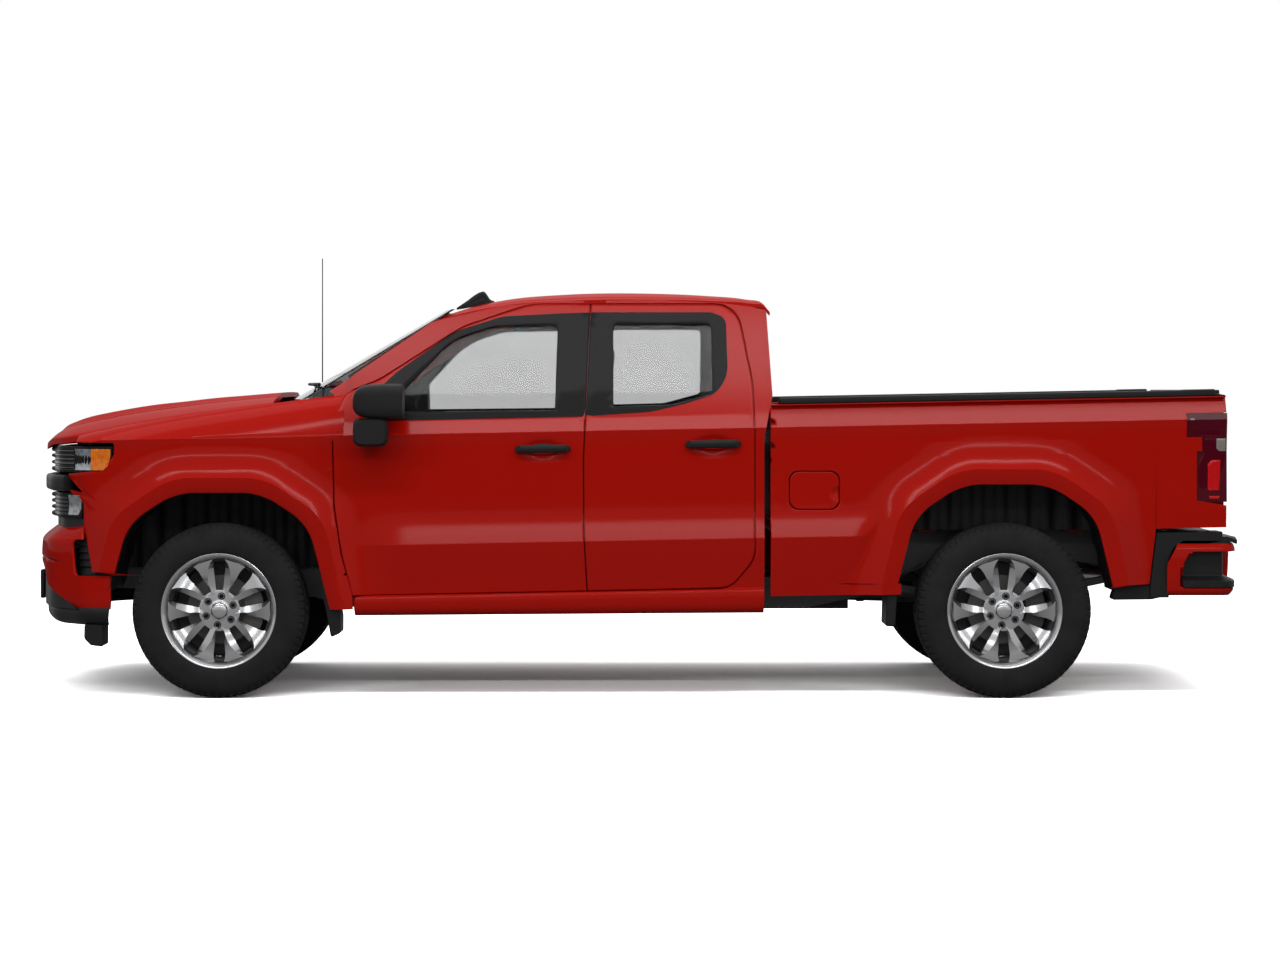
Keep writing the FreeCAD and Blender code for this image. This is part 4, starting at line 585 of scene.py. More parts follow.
def span(loop: Array, rows: Array, axis: int = 1) -> tuple[Array, Array]:
    """The least and greatest place where an outline crosses each of some straight lines.

    Args:
        loop: closed outline.
        rows: where the lines lie on one axis.
        axis: 1 for level lines, 0 for upright ones.

    Returns:
        The two ends on the other axis, for each line.
    """
    a, b = loop, np.roll(loop, -1, 0)
    low, high = a[None, :, axis], b[None, :, axis]
    level = rows[:, None]
    run = np.where(np.abs(high - low) < 1e-12, 1.0, high - low)
    share = np.clip((level - low) / run, 0, 1)
    place = a[None, :, 1 - axis] * (1 - share) + b[None, :, 1 - axis] * share
    hit = (np.minimum(low, high) <= level + 1e-9) & (np.maximum(low, high) >= level - 1e-9)
    return np.where(hit, place, np.inf).min(1), np.where(hit, place, -np.inf).max(1)


def near(points: Array, loop: Array) -> Array:
    """Distance from each point to the nearest point of a finely divided outline."""
    fine = dense(loop, 0.003)
    flat = points.reshape(-1, 2)
    best = np.full(len(flat), np.inf)
    for part in np.array_split(fine, max(1, len(fine) // 150)):
        best = np.minimum(best, ((flat[:, None] - part[None]) ** 2).sum(2).min(1))
    return np.sqrt(best).reshape(points.shape[:-1])


def ruled(low: float, high: float, pitch: float, marks: Iterable[float] = (),
          edges: tuple[bool, bool] = (True, True)) -> Array:
    """Rows between two values: close together at the ends and round each mark, even between.

    Args:
        low: first value.
        high: last value.
        pitch: distance between the even rows, before it is made coarser.
        marks: values with a crease.
        edges: whether the first and the last end are rolled.

    Returns:
        Sorted values.
    """
    rows = [np.linspace(low, high, max(2, int(round((high - low) / (pitch * COARSE))) + 1)),
            low + EDGE_STEPS if edges[0] else np.array([low]),
            high - EDGE_STEPS if edges[1] else np.array([high])]
    rows += [mark + CREASE_STEPS for mark in marks if low < mark < high]
    values = np.unique(np.round(np.clip(np.concatenate(rows), low, high), 6))
    return values[np.concatenate([[True], np.diff(values) > 0.00025])]


def hem(distance: Array, radius: float = 0.0045) -> Array:
    """How far a rolled edge falls back: a quarter circle, full at the edge and none at its radius."""
    inside = np.clip(radius - distance, 0, radius)
    return radius - np.sqrt(radius ** 2 - inside ** 2)


def smooth_step(value: Array, low: float, high: float) -> Array:
    """Nought below a value, one above another, and an S-shaped curve between."""
    share = np.clip((value - low) / (high - low), 0, 1)
    return share * share * (3 - 2 * share)


def eased(knots: Sequence[tuple[float, float]], at: Array) -> Array:
    """A smooth curve through points: a cubic between each two, with slopes from their neighbours.

    Args:
        knots: rising places with their values.
        at: where the curve is read.

    Returns:
        The values.
    """
    x, y = np.array(knots, float).T
    slope = np.gradient(y, x)
    index = np.clip(np.searchsorted(x, at) - 1, 0, len(x) - 2)
    step = x[index + 1] - x[index]
    share = np.clip((at - x[index]) / step, 0, 1)
    rest = 1 - share
    ends = y[index] * (1 + 2 * share) * rest ** 2 + y[index + 1] * (3 - 2 * share) * share ** 2
    return ends + step * (slope[index] * share * rest ** 2 - slope[index + 1] * rest * share ** 2)


def sweep(path: Array, radius: float | Array, sides: int = 12) -> Array:
    """Rings of a round bar along a path: each lies square to the path's run there.

    Args:
        path: n by 3 points.
        radius: of the bar, one number or one for each point.
        sides: points on each ring.

    Returns:
        n by sides by 3.
    """
    path = np.asarray(path, float)
    along = np.gradient(path, axis=0)
    along /= np.linalg.norm(along, axis=1, keepdims=True)
    guide = np.where(np.abs(along[:, 2:]) > 0.9, (1.0, 0.0, 0.0), (0.0, 0.0, 1.0))
    first = np.cross(along, guide)
    first /= np.linalg.norm(first, axis=1, keepdims=True)
    second = np.cross(along, first)
    turn = turns(sides)
    size = np.broadcast_to(np.asarray(radius, float), (len(path),))[:, None, None]
    ring = first[:, None] * np.cos(turn)[None, :, None] + second[:, None] * np.sin(turn)[None, :, None]
    return path[:, None] + ring * size


def block(low: Sequence[float], high: Sequence[float], radius: float, axis: int = 0) -> Array:
    """Rings of a rounded block: rounded rectangles along one axis, smaller at both ends by a quarter circle.

    Args:
        low: least corner.
        high: greatest corner.
        radius: of every edge.
        axis: that the rings follow.

    Returns:
        rings by points by 3.
    """
    low, high = np.array(low, float), np.array(high, float)
    a, b = [k for k in range(3) if k != axis]
    outline = rounded([(low[a], low[b], radius), (high[a], low[b], radius), (high[a], high[b], radius),
                       (low[a], high[b], radius)], 7)
    middle = (outline.min(0) + outline.max(0)) / 2
    half = (outline.max(0) - outline.min(0)) / 2
    turn = np.linspace(0, math.pi / 2, 5)
    pull = np.concatenate([radius * (1 - np.sin(turn)), radius * (1 - np.cos(turn))])
    points = np.zeros((len(pull), len(outline), 3))
    points[..., axis] = np.concatenate([low[axis] + radius * (1 - np.cos(turn)),
                                        high[axis] - radius * (1 - np.sin(turn))])[:, None]
    points[..., [a, b]] = middle + (outline - middle)[None] * (1 - pull[:, None] / half[None])[:, None]
    return points


def prism(outline: Array, start: float, end: float, axis: int = 1, bevel: float = 0.003) -> Shell:
    """An outline carried along an axis, with small bevels at both ends.

    Args:
        outline: n by 2 closed outline in the other two axes.
        start: where it begins.
        end: where it ends.
        axis: that it is carried along.
        bevel: size of the bevels.

    Returns:
        Its shell.
    """
    small, off = inset(outline, bevel), math.copysign(bevel, end - start)
    points = np.zeros((4, len(outline), 3))
    for row, (line, place) in enumerate(((small, start), (outline, start + off), (outline, end - off),
                                         (small, end))):
        points[row, :, axis] = place
        points[row, :, [k for k in range(3) if k != axis]] = line.T
    return Shell().tube(points)


def raked(level: Array | float, x: Array | float) -> Array | float:
    """Height above the ground of a level along the body's rake at a station."""
    return level + RAKE * (x - DOOR_FRONT)


# Body


@dataclass(frozen=True)
class BodySide:
    """The painted side as one surface: half width as a function of station and height.

    Heights are read along the body's own rake. The section's slope is given at a few heights and summed
    upwards; the bulge under the low crease fades in behind the door's front edge and out before the rear
    wheel; each wheel arch adds a flare that falls off with the square of the distance from its crease.
    """

    sill: float = 0.490
    crease: float = 0.7265
    shoulder: float = 1.2515
    belly: float = 0.88
    crease_half: float = 1.0045
    flare_half: float = 1.033
    lip_half: float = 1.017
    flare_reach: float = 0.17
    side_half: float = 0.990
    arch_half: tuple[float, float, float] = (0.558, 0.430, 0.205)
    rear_rise: float = 0.042
    plan: tuple[tuple[float, float, float], ...] = (
        (-0.30, -0.990, 0.0), (-0.42, -0.990, 0.0), (-0.64, -0.962, 0.13), (-0.80, -0.80, 0.16),
        (-0.878, -0.50, 0.20), (-0.90, 0.0, 0.0), (0.0, 0.0, 0.0),
    )

    def levelled(self, outline: Array) -> Array:
        """An outline of stations and heights, with its heights read along the rake."""
        return np.stack([outline[:, 0], self.level(*outline.T)], 1)

    def level(self, x: Array, z: Array) -> Array:
        """Height along the rake."""
        return z - RAKE * (x - DOOR_FRONT)

    def section(self, level: Array) -> Array:
        """Half width of the full section: the slope table summed from the low crease."""
        knots = np.array([
            (0.40, 0.143), (0.49, 0.143), (0.70, 0.150), (0.7255, 0.150), (0.7275, -0.21), (0.82, -0.21),
            (0.85, -0.10), (0.88, 0.0), (1.10, 0.030), (1.16, 0.020), (1.20, 0.06), (1.2505, 0.15),
            (1.2525, -0.45), (1.3120, -0.45), (1.3130, -0.405), (2.0, -0.405),
        ])
        step = 0.0005
        fine = np.arange(knots[0, 0], knots[-1, 0], step)
        summed = np.cumsum(np.interp(fine, *knots.T)) * step
        summed += self.crease_half - np.interp(self.crease, fine, summed)
        return np.interp(level, fine, summed)

    def plain(self, level: Array) -> Array:
        """Half width without the lower bulge: an even slope from the sill to the waist."""
        low, high = self.section(np.array([self.sill, self.belly]))
        even = low + (high - low) * (level - self.sill) / (self.belly - self.sill)
        return np.where(level < self.belly, even, self.section(level))

    def bulge(self, x: Array, z: Array) -> Array:
        """How much of the lower bulge stands at a point."""
        start = smooth_step(x, DOOR_FRONT + 0.06, DOOR_FRONT + 0.36)
        return start * (1 - smooth_step(x - 0.45 * (z - 0.52), 0.985, 1.075))

    def arch(self, centre: float, grow: float) -> Array:
        """Outline of a wheel arch, or with grow the crease of its flare."""
        rise = self.rear_rise if centre > 0 else 0.0
        low, middle, top = self.arch_half
        height, knee = 0.980 + rise + grow, 0.830 + rise + 0.5 * grow
        return rounded([
            (centre - low - 0.042 - grow, 0.2), (centre - middle - grow, knee, 0.26),
            (centre - top - 0.3 * grow, height, 0.32), (centre + top + 0.3 * grow, height, 0.32),
            (centre + middle + grow, knee, 0.26), (centre + low + 0.032 + grow, 0.2),
        ], 12)

    def flared(self, x: Array, z: Array, half: Array) -> Array:
        """The half width with both flares: full at the crease, a little less at the lip."""
        for centre in (FRONT_AXLE, REAR_AXLE):
            hub = (centre, 0.55)
            angle = np.arctan2(z - hub[1], x - centre)
            distance = np.hypot(x - centre, z - hub[1])
            lip = polar(self.arch(centre, 0.0), hub, angle)
            crease = polar(self.arch(centre, FLARE), hub, angle)
            outside = np.clip(1 - (distance - crease) / self.flare_reach, 0, 1) ** 2
            inside = np.clip((crease - distance) / (crease - lip), 0, 1)
            edge = self.flare_half - (self.flare_half - self.lip_half) * inside ** 1.5
            swell = np.where(distance > crease, half + (self.flare_half - half) * outside, edge)
            half = np.where(distance < 1.1, np.maximum(half, swell), half)
        return half

    def nose(self, x: Array) -> Array:
        """Half width of the nose in plan, ahead of the front wheel."""
        outline = rounded([(FRONT_AXLE + a, b, r) for a, b, r in self.plan], 12)
        outline = outline[outline[:, 1] < -0.01]
        return -np.interp(x, *outline[np.argsort(outline[:, 0])].T)

    def half(self, x: Array, z: Array) -> Array:
        """Half width of the painted side at a station and height."""
        level = self.level(x, z)
        full, plain = self.section(level), self.plain(level)
        half = self.flared(x, z, plain + (full - plain) * self.bulge(x, z))
        return half - np.where(x < FRONT_AXLE - 0.30, self.side_half - self.nose(x), 0)


SIDE = BodySide()


@dataclass
class Panel:
    """A skin on the body side, made of blocks that share its outline.

    Each block is a closed plate: its outer face follows the body side and rolls in along the outline and
    along an opening; its inner face is the same surface moved in by the thickness.
    """

    outline: Array | None = None
    opening: Array | None = None
    thickness: float = 0.012
    roll: float = 0.0045
    proud: float = 0.0
    lip: float = 0.0
    dents: tuple[tuple[float, float, float, float, float], ...] = ()
    shell: Shell = field(default_factory=Shell)

    def surface(self, x: Array, z: Array, rolled: bool = True) -> Array:
        """Points on the skin at stations and heights, rolled in near the edges and dented where asked."""
        half = SIDE.half(x, z) + self.proud
        for at_x, at_z, wide, high, deep in self.dents:
            reach = np.clip(1 - ((x - at_x) / wide) ** 2 - ((z - at_z) / high) ** 2, 0, 1)
            half = half - deep * smooth_step(reach, 0.0, 0.75)
        if rolled:
            flat = np.stack([x, z], -1)
            half = half - hem(near(flat, self.outline), self.roll)
            if self.opening is not None:
                half = half - hem(near(flat, self.opening), self.roll)
        return np.stack([x, -half, z], -1)

    def behind(self, x: Array, z: Array) -> Array:
        """The inner face at stations and heights."""
        return np.stack([x, self.thickness - self.proud - SIDE.half(x, z), z], -1)

    def plate(self, x: Array, z: Array, rolled: bool = True) -> "Panel":
        """Adds a block given by its grid of stations and heights, or by the height of each of its rows."""
        z = np.broadcast_to(z, x.shape)
        self.shell.slab(self.surface(x, z, rolled), self.behind(x, z))
        return self

    def rows(self, levels: Array, left: Array | float, right: Array | float, pitch: float = 0.012,
             edges: tuple[bool, bool] = (True, True)) -> "Panel":
        """Adds a block of rows along the body's rake, from a left end to a right end on each.

        Args:
            levels: heights of the rows, along the rake.
            left: first station of each row, or of all.
            right: last station of each row, or of all.
            pitch: distance between the even columns.
            edges: whether the left and the right end are rolled.

        Returns:
            The panel itself.
        """
        x = between(np.broadcast_to(left, levels.shape), np.broadcast_to(right, levels.shape), pitch, edges)
        return self.plate(x, raked(levels[:, None], x))

    def ring(self, first: Array, last: Array, hub: Sequence[float], angles: Array, pitch: float = 0.012,
             through: Array | None = None, edges: tuple[bool, bool] = (True, True),
             loop: bool = False) -> "Panel":
        """Adds a block between two distances along rays from a hub.

        Args:
            first: nearer distance on each ray.
            last: farther distance.
            hub: station and height that the rays leave from.
            angles: of the rays.
            pitch: distance between the even rows.
            through: a distance between the two that a row follows, as a crease does.
            edges: whether the inner and the outer edge are rolled.
            loop: whether the rays go all the way round.
        Returns:
            The panel itself.
        """
        if through is None:
            distance = between(first, last, pitch, edges)
        else:
            through = np.minimum(through, last - 0.0005)
            distance = np.hstack([between(first, through, pitch, (edges[0], False)),
                                  between(through, last, pitch, (False, edges[1]))[:, 1:]])
        cosine, sine = np.cos(angles)[:, None], np.sin(angles)[:, None]
        x, z = hub[0] + distance * cosine, hub[1] + distance * sine
        outer, inner = self.surface(x, z), self.behind(x, z)
        if self.lip:
            turned_in = outer[:, :1] + (0, self.lip, 0)
            away = 0.003 * np.stack([cosine, 0 * cosine, sine], -1)
            inner[:, :1] += away
            outer = np.concatenate([turned_in, outer], 1)
            inner = np.concatenate([turned_in + away, inner], 1)
        self.shell.slab(outer, inner, loop)
        return self


def between(first: Array, last: Array, pitch: float, edges: tuple[bool, bool]) -> Array:
    """Columns from one end to another on each row, close together at the rolled ends.

    Args:
        first: where each row starts.
        last: where it ends.
        pitch: distance between the even columns of the longest row.
        edges: whether the first and the last end are rolled.

    Returns:
        rows by columns.
    """
    run = last - first
    wide = float(np.max(run))
    steps = ruled(0, wide, pitch, edges=edges)
    share = steps / wide
    values = first[:, None] * (1 - share) + last[:, None] * share
    long = (run > 0.03)[:, None]
    if edges[0]:
        values = np.where((steps < 0.0075)[None] & long, first[:, None] + steps, values)
    if edges[1]:
        values = np.where((wide - steps < 0.0075)[None] & long, last[:, None] - (wide - steps), values)
    return np.maximum.accumulate(values, 1)


def corner_angles(hub: Sequence[float], loops: Iterable[Array], low: float, high: float, count: int) -> Array:
    """Even angles between two limits, with those of every outline's corners as seen from a hub."""
    angles = [np.linspace(low, high, int(count / COARSE))]
    for loop in loops:
        back, forth = loop - np.roll(loop, 1, 0), np.roll(loop, -1, 0) - loop
        turned = np.abs(back[:, 0] * forth[:, 1] - back[:, 1] * forth[:, 0])
        loop = loop[turned > 0.006 * np.linalg.norm(back, axis=1) * np.linalg.norm(forth, axis=1)]
        around = np.arctan2(loop[:, 1] - hub[1], loop[:, 0] - hub[0]) % (2 * math.pi)
        angles.append(around[(around > low + 1e-4) & (around < high - 1e-4)])
    values = np.unique(np.round(np.concatenate(angles), 5))
    return values[np.concatenate([[True], np.diff(values) > 0.0006])]


@dataclass
class Door:
    """One door pair: painted skin, black pillar cover, window frame and inner trim."""

    name: str
    body: str
    outline: Sequence[Sequence[float]]
    window: Sequence[Sequence[float]]
    black: Sequence[Sequence[float]]
    handle: tuple[float, float]
    belt: float = 1.300
    skin: float = 0.012
    trim_depth: float = 0.094
    frame_depth: float = 0.056
    margin: float = 0.046
    pull_half: float = 0.134

    def clipped(self, level: Array) -> Array:
        """An outline's part above the belt row, carried from heights along the rake to real ones."""
        fine = dense(level, 0.003)
        left, right = (end[0] for end in span(level, np.array([self.belt])))
        above = fine[fine[:, 1] > self.belt + 0.0005]
        around = np.arctan2(above[:, 1] - self.belt, above[:, 0] - (left + right) / 2)
        line = np.vstack([[(right, self.belt)], above[np.argsort(around)], [(left, self.belt)]])
        return np.stack([line[:, 0], raked(line[:, 1], line[:, 0])], 1)

    def blocks(self, panel: Panel, outline: Array, bottom: float, window: Array, black: Array | None,
               pitch: float) -> tuple[Array, Array, Array, Array, Sequence[float]]:
        """Adds the block under the belt.

        Args:
            panel: that it is added to.
            outline: of the door.
            bottom: level of its foot.
            window: outline of the opening.
            black: outline of the pillar cover, if there is one.
            pitch: distance between the rows.

        Returns:
            The rays for the rings above the belt, their distances to the window, to the cover's edge and
            to the door's edge, and their hub.
        """
        level = SIDE.levelled(outline)
        levels = ruled(bottom, self.belt, pitch, (SIDE.crease, SIDE.shoulder), (True, False))
        corner = bottom + EDGE_STEPS[-1] + np.geomspace(0.004, 0.10, 9)
        levels = np.unique(np.concatenate([levels[(levels < corner[0]) | (levels > corner[-1])], corner]))
        panel.rows(levels, *span(level, levels), pitch)
        upper, hub = self.clipped(level), window.mean(0)
        loops = [window, upper] + ([black] if black is not None else [])
        angles = corner_angles(hub, loops, 0.0, 2 * math.pi, 260)[:-1]
        outer = polar(upper, hub, angles)
        middle = np.minimum(polar(black, hub, angles), outer) if black is not None else outer
        return angles, polar(window, hub, angles), middle, outer, hub

    def build(self) -> None:
        """Makes every piece of the pair."""
        outline, window, black = (rounded(line) for line in (self.outline, self.window, self.black))
        bodies = [f"{self.body}_left", f"{self.body}_right"]
        at_x, at_z = self.handle
        skin = Panel(outline, window, self.skin, dents=((at_x, at_z, 0.088, 0.044, 0.014),))
        angles, inner, middle, outer, hub = self.blocks(skin, outline, DOOR_FOOT, window, black, 0.010)
        skin.ring(middle, outer, hub, angles, edges=(False, True), loop=True)
        both_sides(skin.shell, f"{self.name}_skin", Finishes.PAINT, bodies, instead_of=f"{self.name}_")
        cover = Panel(outline, window, self.skin, proud=0.0012)
        cover.ring(inner, middle, hub, angles, 0.02, loop=True)
        both_sides(cover.shell, f"{self.name}_black", Finishes.GLOSS_BLACK, bodies)
        small = inset(dense(outline, 0.02), self.margin)
        trim = Panel(small, None, self.trim_depth - self.skin, 0.004, proud=-self.skin)
        angles, inner, middle, outer, hub = self.blocks(trim, small, DOOR_FOOT + self.margin, window, None,
                                                        0.03)
        both_sides(trim.shell, f"{self.name}_trim", Finishes.TRIM, bodies)
        frame_part = Panel(small, None, self.frame_depth - self.skin, 0.004, proud=-self.skin)
        frame_part.ring(inner, outer, hub, angles, 0.03, loop=True)
        both_sides(frame_part.shell, f"{self.name}_frame", Finishes.BLACK, bodies)
        self.pull(bodies)

    def pull(self, bodies: Sequence[str]) -> None:
        """The pull handle: an oval bar whose ends run back into the skin.

        Along the bar, its half height falls off as an eighth-power ellipse and it stands off by a
        fourth-power arch.
        """
        along, around = np.meshgrid(np.linspace(-1, 1, 41), turns(24), indexing="ij")
        taper = np.clip(1 - np.abs(along) ** 8, 0.02, 1) ** 0.5
        at_x, at_z = self.handle
        x = at_x + along * self.pull_half
        z = at_z + 0.018 * (x - at_x) + np.sin(around) * 0.0195 * taper
        off = 0.030 - 0.018 * np.abs(along) ** 4
        base = SIDE.half(np.full(1, at_x), np.full(1, at_z))[0]
        shell = Shell().tube(np.stack([x, -(base + off + np.cos(around) * 0.0095 * taper), z], -1))
        turn = turns(20)
        reach = np.array([-0.012, 0.004, 0.020, 0.028])[:, None]
        wide = np.array([1.3, 1.05, 1.0, 1.0])[:, None]
        for foot in (-0.112, 0.106):
            shell.tube(np.stack([at_x + foot + 0.020 * wide * np.cos(turn), -(base + reach + 0 * turn),
                                 at_z + 0.014 * wide * np.sin(turn)], -1))
        both_sides(shell, f"{self.name}_pull", Finishes.BLACK, bodies)


def doors() -> list[Door]:
    """The two door pairs."""
    d, s, t, r = DOOR_FRONT, SPLIT, SPLIT_REAR, DOOR_REAR
    low_front, low_rear = raked(WAIST, s) + 0.038, raked(WAIST, t) + 0.056
    front = Door(
        "door_front", "front_door",
        [(d + 0.095, DOOR_FOOT), (d + 0.045, 0.687, 0.22), (d + 0.008, 0.920, 0.30), (d, 1.250, 0.16),
         (d + 0.012, 1.362, 0.11), (d + 0.055, 1.454, 0.03), (d + 0.215, 1.518, 0.30),
         (d + 0.605, 1.772, 0.42), (d + 0.935, 1.884, 0.42), (s + 0.034, 1.884, 0.004),
         (s + 0.008, raked(WAIST, s), 0.04), (s, 1.130, 0.40), (s + 0.002, 0.785, 0.30),
         (s + 0.018, raked(DOOR_FOOT, s))],
        [(d + 0.25, low_front - 0.008, 0.03), (d + 0.33, low_front + 0.095, 0.06), (d + 0.56, 1.712, 0.30),
         (d + 0.76, 1.776, 0.20), (s - 0.122, 1.782, 0.025), (s - 0.134, low_front, 0.01)],
        [(d + 0.20, 1.322, 0.02), (d + 0.195, 1.46, 0.02), (d + 0.30, 1.560, 0.2), (d + 0.57, 1.752, 0.25),
         (d + 0.80, 1.826, 0.25), (s - 0.08, 1.842, 0.05), (s + 0.06, 1.846), (s + 0.06, 1.345)],
        (-0.403, 1.190),
    )
    rear = Door(
        "door_rear", "rear_door",
        [(t + 0.018, raked(DOOR_FOOT, t)), (t + 0.002, 0.785, 0.30), (t, 1.130, 0.40),
         (t + 0.008, raked(WAIST, t), 0.04), (t + 0.034, 1.884, 0.004), (r - 0.075, 1.884, 0.13),
         (r - 0.008, 1.512, 0.30), (r, WAIST, 0.30), (r, 0.665, 0.13),
         (r - 0.115, raked(DOOR_FOOT, r), 0.12)],
        [(t + 0.14, low_rear, 0.02), (t + 0.14, 1.788, 0.025), (r - 0.20, 1.788, 0.025),
         (r - 0.20, low_rear + 0.060, 0.025), (t + 0.42, low_rear + 0.008, 0.20)],
        [(t - 0.06, 1.341), (t - 0.06, 1.846), (r - 0.200, 1.846, 0.03), (r - 0.128, 1.82, 0.05),
         (r - 0.122, 1.54, 0.20), (r - 0.18, 1.452, 0.12), (r - 0.33, 1.404, 0.25), (t + 0.32, 1.366, 0.4)],
        (0.4085, 1.213),
    )
    return [front, rear]


@dataclass
class Fender:
    """Front fenders: the skin round the arch, the eyelid over the lamp and the run to the hood."""

    base: float = 0.588
    tail: float = 0.427
    split: float = 1.10
    top: float = 1.2265
    skin: float = 0.004

    def outline(self) -> Array:
        """Side view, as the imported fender's."""
        f, d = FRONT_AXLE, DOOR_FRONT - 0.006
        return rounded([
            (d + 0.103, 0.427), (d + 0.098, 0.496), (d + 0.045, 0.687, 0.22), (d + 0.008, 0.920, 0.30),
            (d, 1.250, 0.16), (d + 0.012, 1.362, 0.11), (d + 0.052, 1.454), (f - 0.700, 1.512),
            (f - 0.690, 1.218),
            (f - 0.500, 1.206), (f - 0.500, 1.150, 0.04), (f - 0.590, 1.084, 0.03), (f - 0.735, 1.068),
            (f - 0.729, 0.985), (f - 0.655, 0.982), (f - 0.648, 0.822), (f - 0.598, 0.592),
            (f - 0.440, 0.588),
        ])

    def edge(self, x: Array) -> Array:
        """Height of the seam with the hood."""
        back = x - FRONT_AXLE
        return 1.374 + 0.13 * back - 0.0682 * np.minimum(back, 0) ** 2

    def build(self) -> None:
        """Makes both fenders."""
        outline, arch, f = self.outline(), SIDE.arch(FRONT_AXLE, 0.0), FRONT_AXLE
        panel = Panel(outline, arch, self.skin, lip=0.024)
        hub, level, left = (f, self.base), SIDE.levelled(outline), f - 0.570
        right = span(level, np.array([self.split]))[1][0]
        ring = np.array([(f - 0.598, self.base), (f - 0.648, 0.822), (f - 0.655, 0.982), (f - 0.729, 0.985),
                         (f - 0.735, 1.068), (f - 0.590, 1.084), (left, raked(self.split, left)),
                         (right, raked(self.split, right))])
        edge = dense(outline, 0.01)
        edge = edge[(edge[:, 0] > f + 0.3) & (edge[:, 1] > self.base + 0.002)
                    & (SIDE.level(*edge.T) < self.split - 0.002)]
        foot = span(outline, np.array([self.base]))[1][0]
        loop = np.vstack([ring, edge[np.argsort(-edge[:, 1])], [(foot, self.base)]])
        angles = corner_angles(hub, [loop], 0.0, math.pi, 260)
        panel.ring(polar(arch, hub, angles), polar(loop, hub, angles), hub, angles,
                   through=polar(SIDE.arch(f, FLARE), hub, angles))
        self.lower(panel, outline, arch)
        self.upper(panel, level, left)
        both_sides(panel.shell, "fender", Finishes.PAINT, instead_of="fenders")

    def lower(self, panel: Panel, outline: Array, arch: Array) -> None:
        """The strip behind the wheel, below the ring."""
        rows = np.linspace(self.tail, self.base, 16)
        left, right = span(arch, rows)[1], span(outline, rows)[1]
        share = ruled(0, 1, 0.08, edges=(False, False))
        panel.plate(left[:, None] * (1 - share) + right[:, None] * share, rows[:, None])

    def upper(self, panel: Panel, level: Array, left: float) -> None:
        """The band above the ring up to the lamp's top, and the shoulder that runs in to the hood.

        The shoulder is a quadratic curve from the crease, tangent to the side there, to the hood's edge.
        """
        f = FRONT_AXLE
        levels = ruled(self.split, self.top, 0.010, edges=(False, False))
        ends = span(level, levels)
        start = np.where(raked(levels, left) > 1.148, f - 0.5, np.maximum(ends[0], left))
        panel.rows(levels, start, ends[1], 0.014)
        x = np.concatenate([np.linspace(f - 0.688, f - 0.45, 22),
                            np.linspace(f - 0.44, DOOR_FRONT + 0.05, 60)])
        low = raked(self.top, x)
        low = np.where(x < f - 0.5, np.maximum(low, 1.219), low)
        edge = self.edge(x)
        crease = np.maximum(np.minimum(raked(SIDE.shoulder, x), edge - 0.048), low + 0.004)
        up = np.linspace(0, 1, 5)[:, None]
        lower_z = low * (1 - up) + crease * up
        lower = panel.surface(np.broadcast_to(x, lower_z.shape), lower_z, rolled=False)
        top_half = np.interp(x, f + np.array([-0.876, -0.78, -0.65, -0.5]), [0.596, 0.761, 0.834, 0.856])
        start, end = lower[-1], np.stack([x, -top_half, edge], -1)
        bend = np.stack([x, start[:, 1] + 0.40 * (end[:, 1] - start[:, 1]),
                         start[:, 2] + 0.86 * (end[:, 2] - start[:, 2])], -1)
        share = np.linspace(0, 1, 14)[1:, None, None]
        curve = start * (1 - share) ** 2 + bend * 2 * share * (1 - share) + end * share ** 2
        roll = np.stack([end + (0, 0.0015, -0.001), end + (0, 0.003, -0.006), end + (0, 0.003, -0.02)])
        outer = np.concatenate([lower, curve, roll])
        inner = outer.copy()
        inner[:, :, 1] += np.linspace(0.004, 0.001, len(outer))[:, None]
        inner[:, :, 2] -= np.linspace(0.0, 0.004, len(outer))[:, None]
        panel.shell.slab(outer, inner)


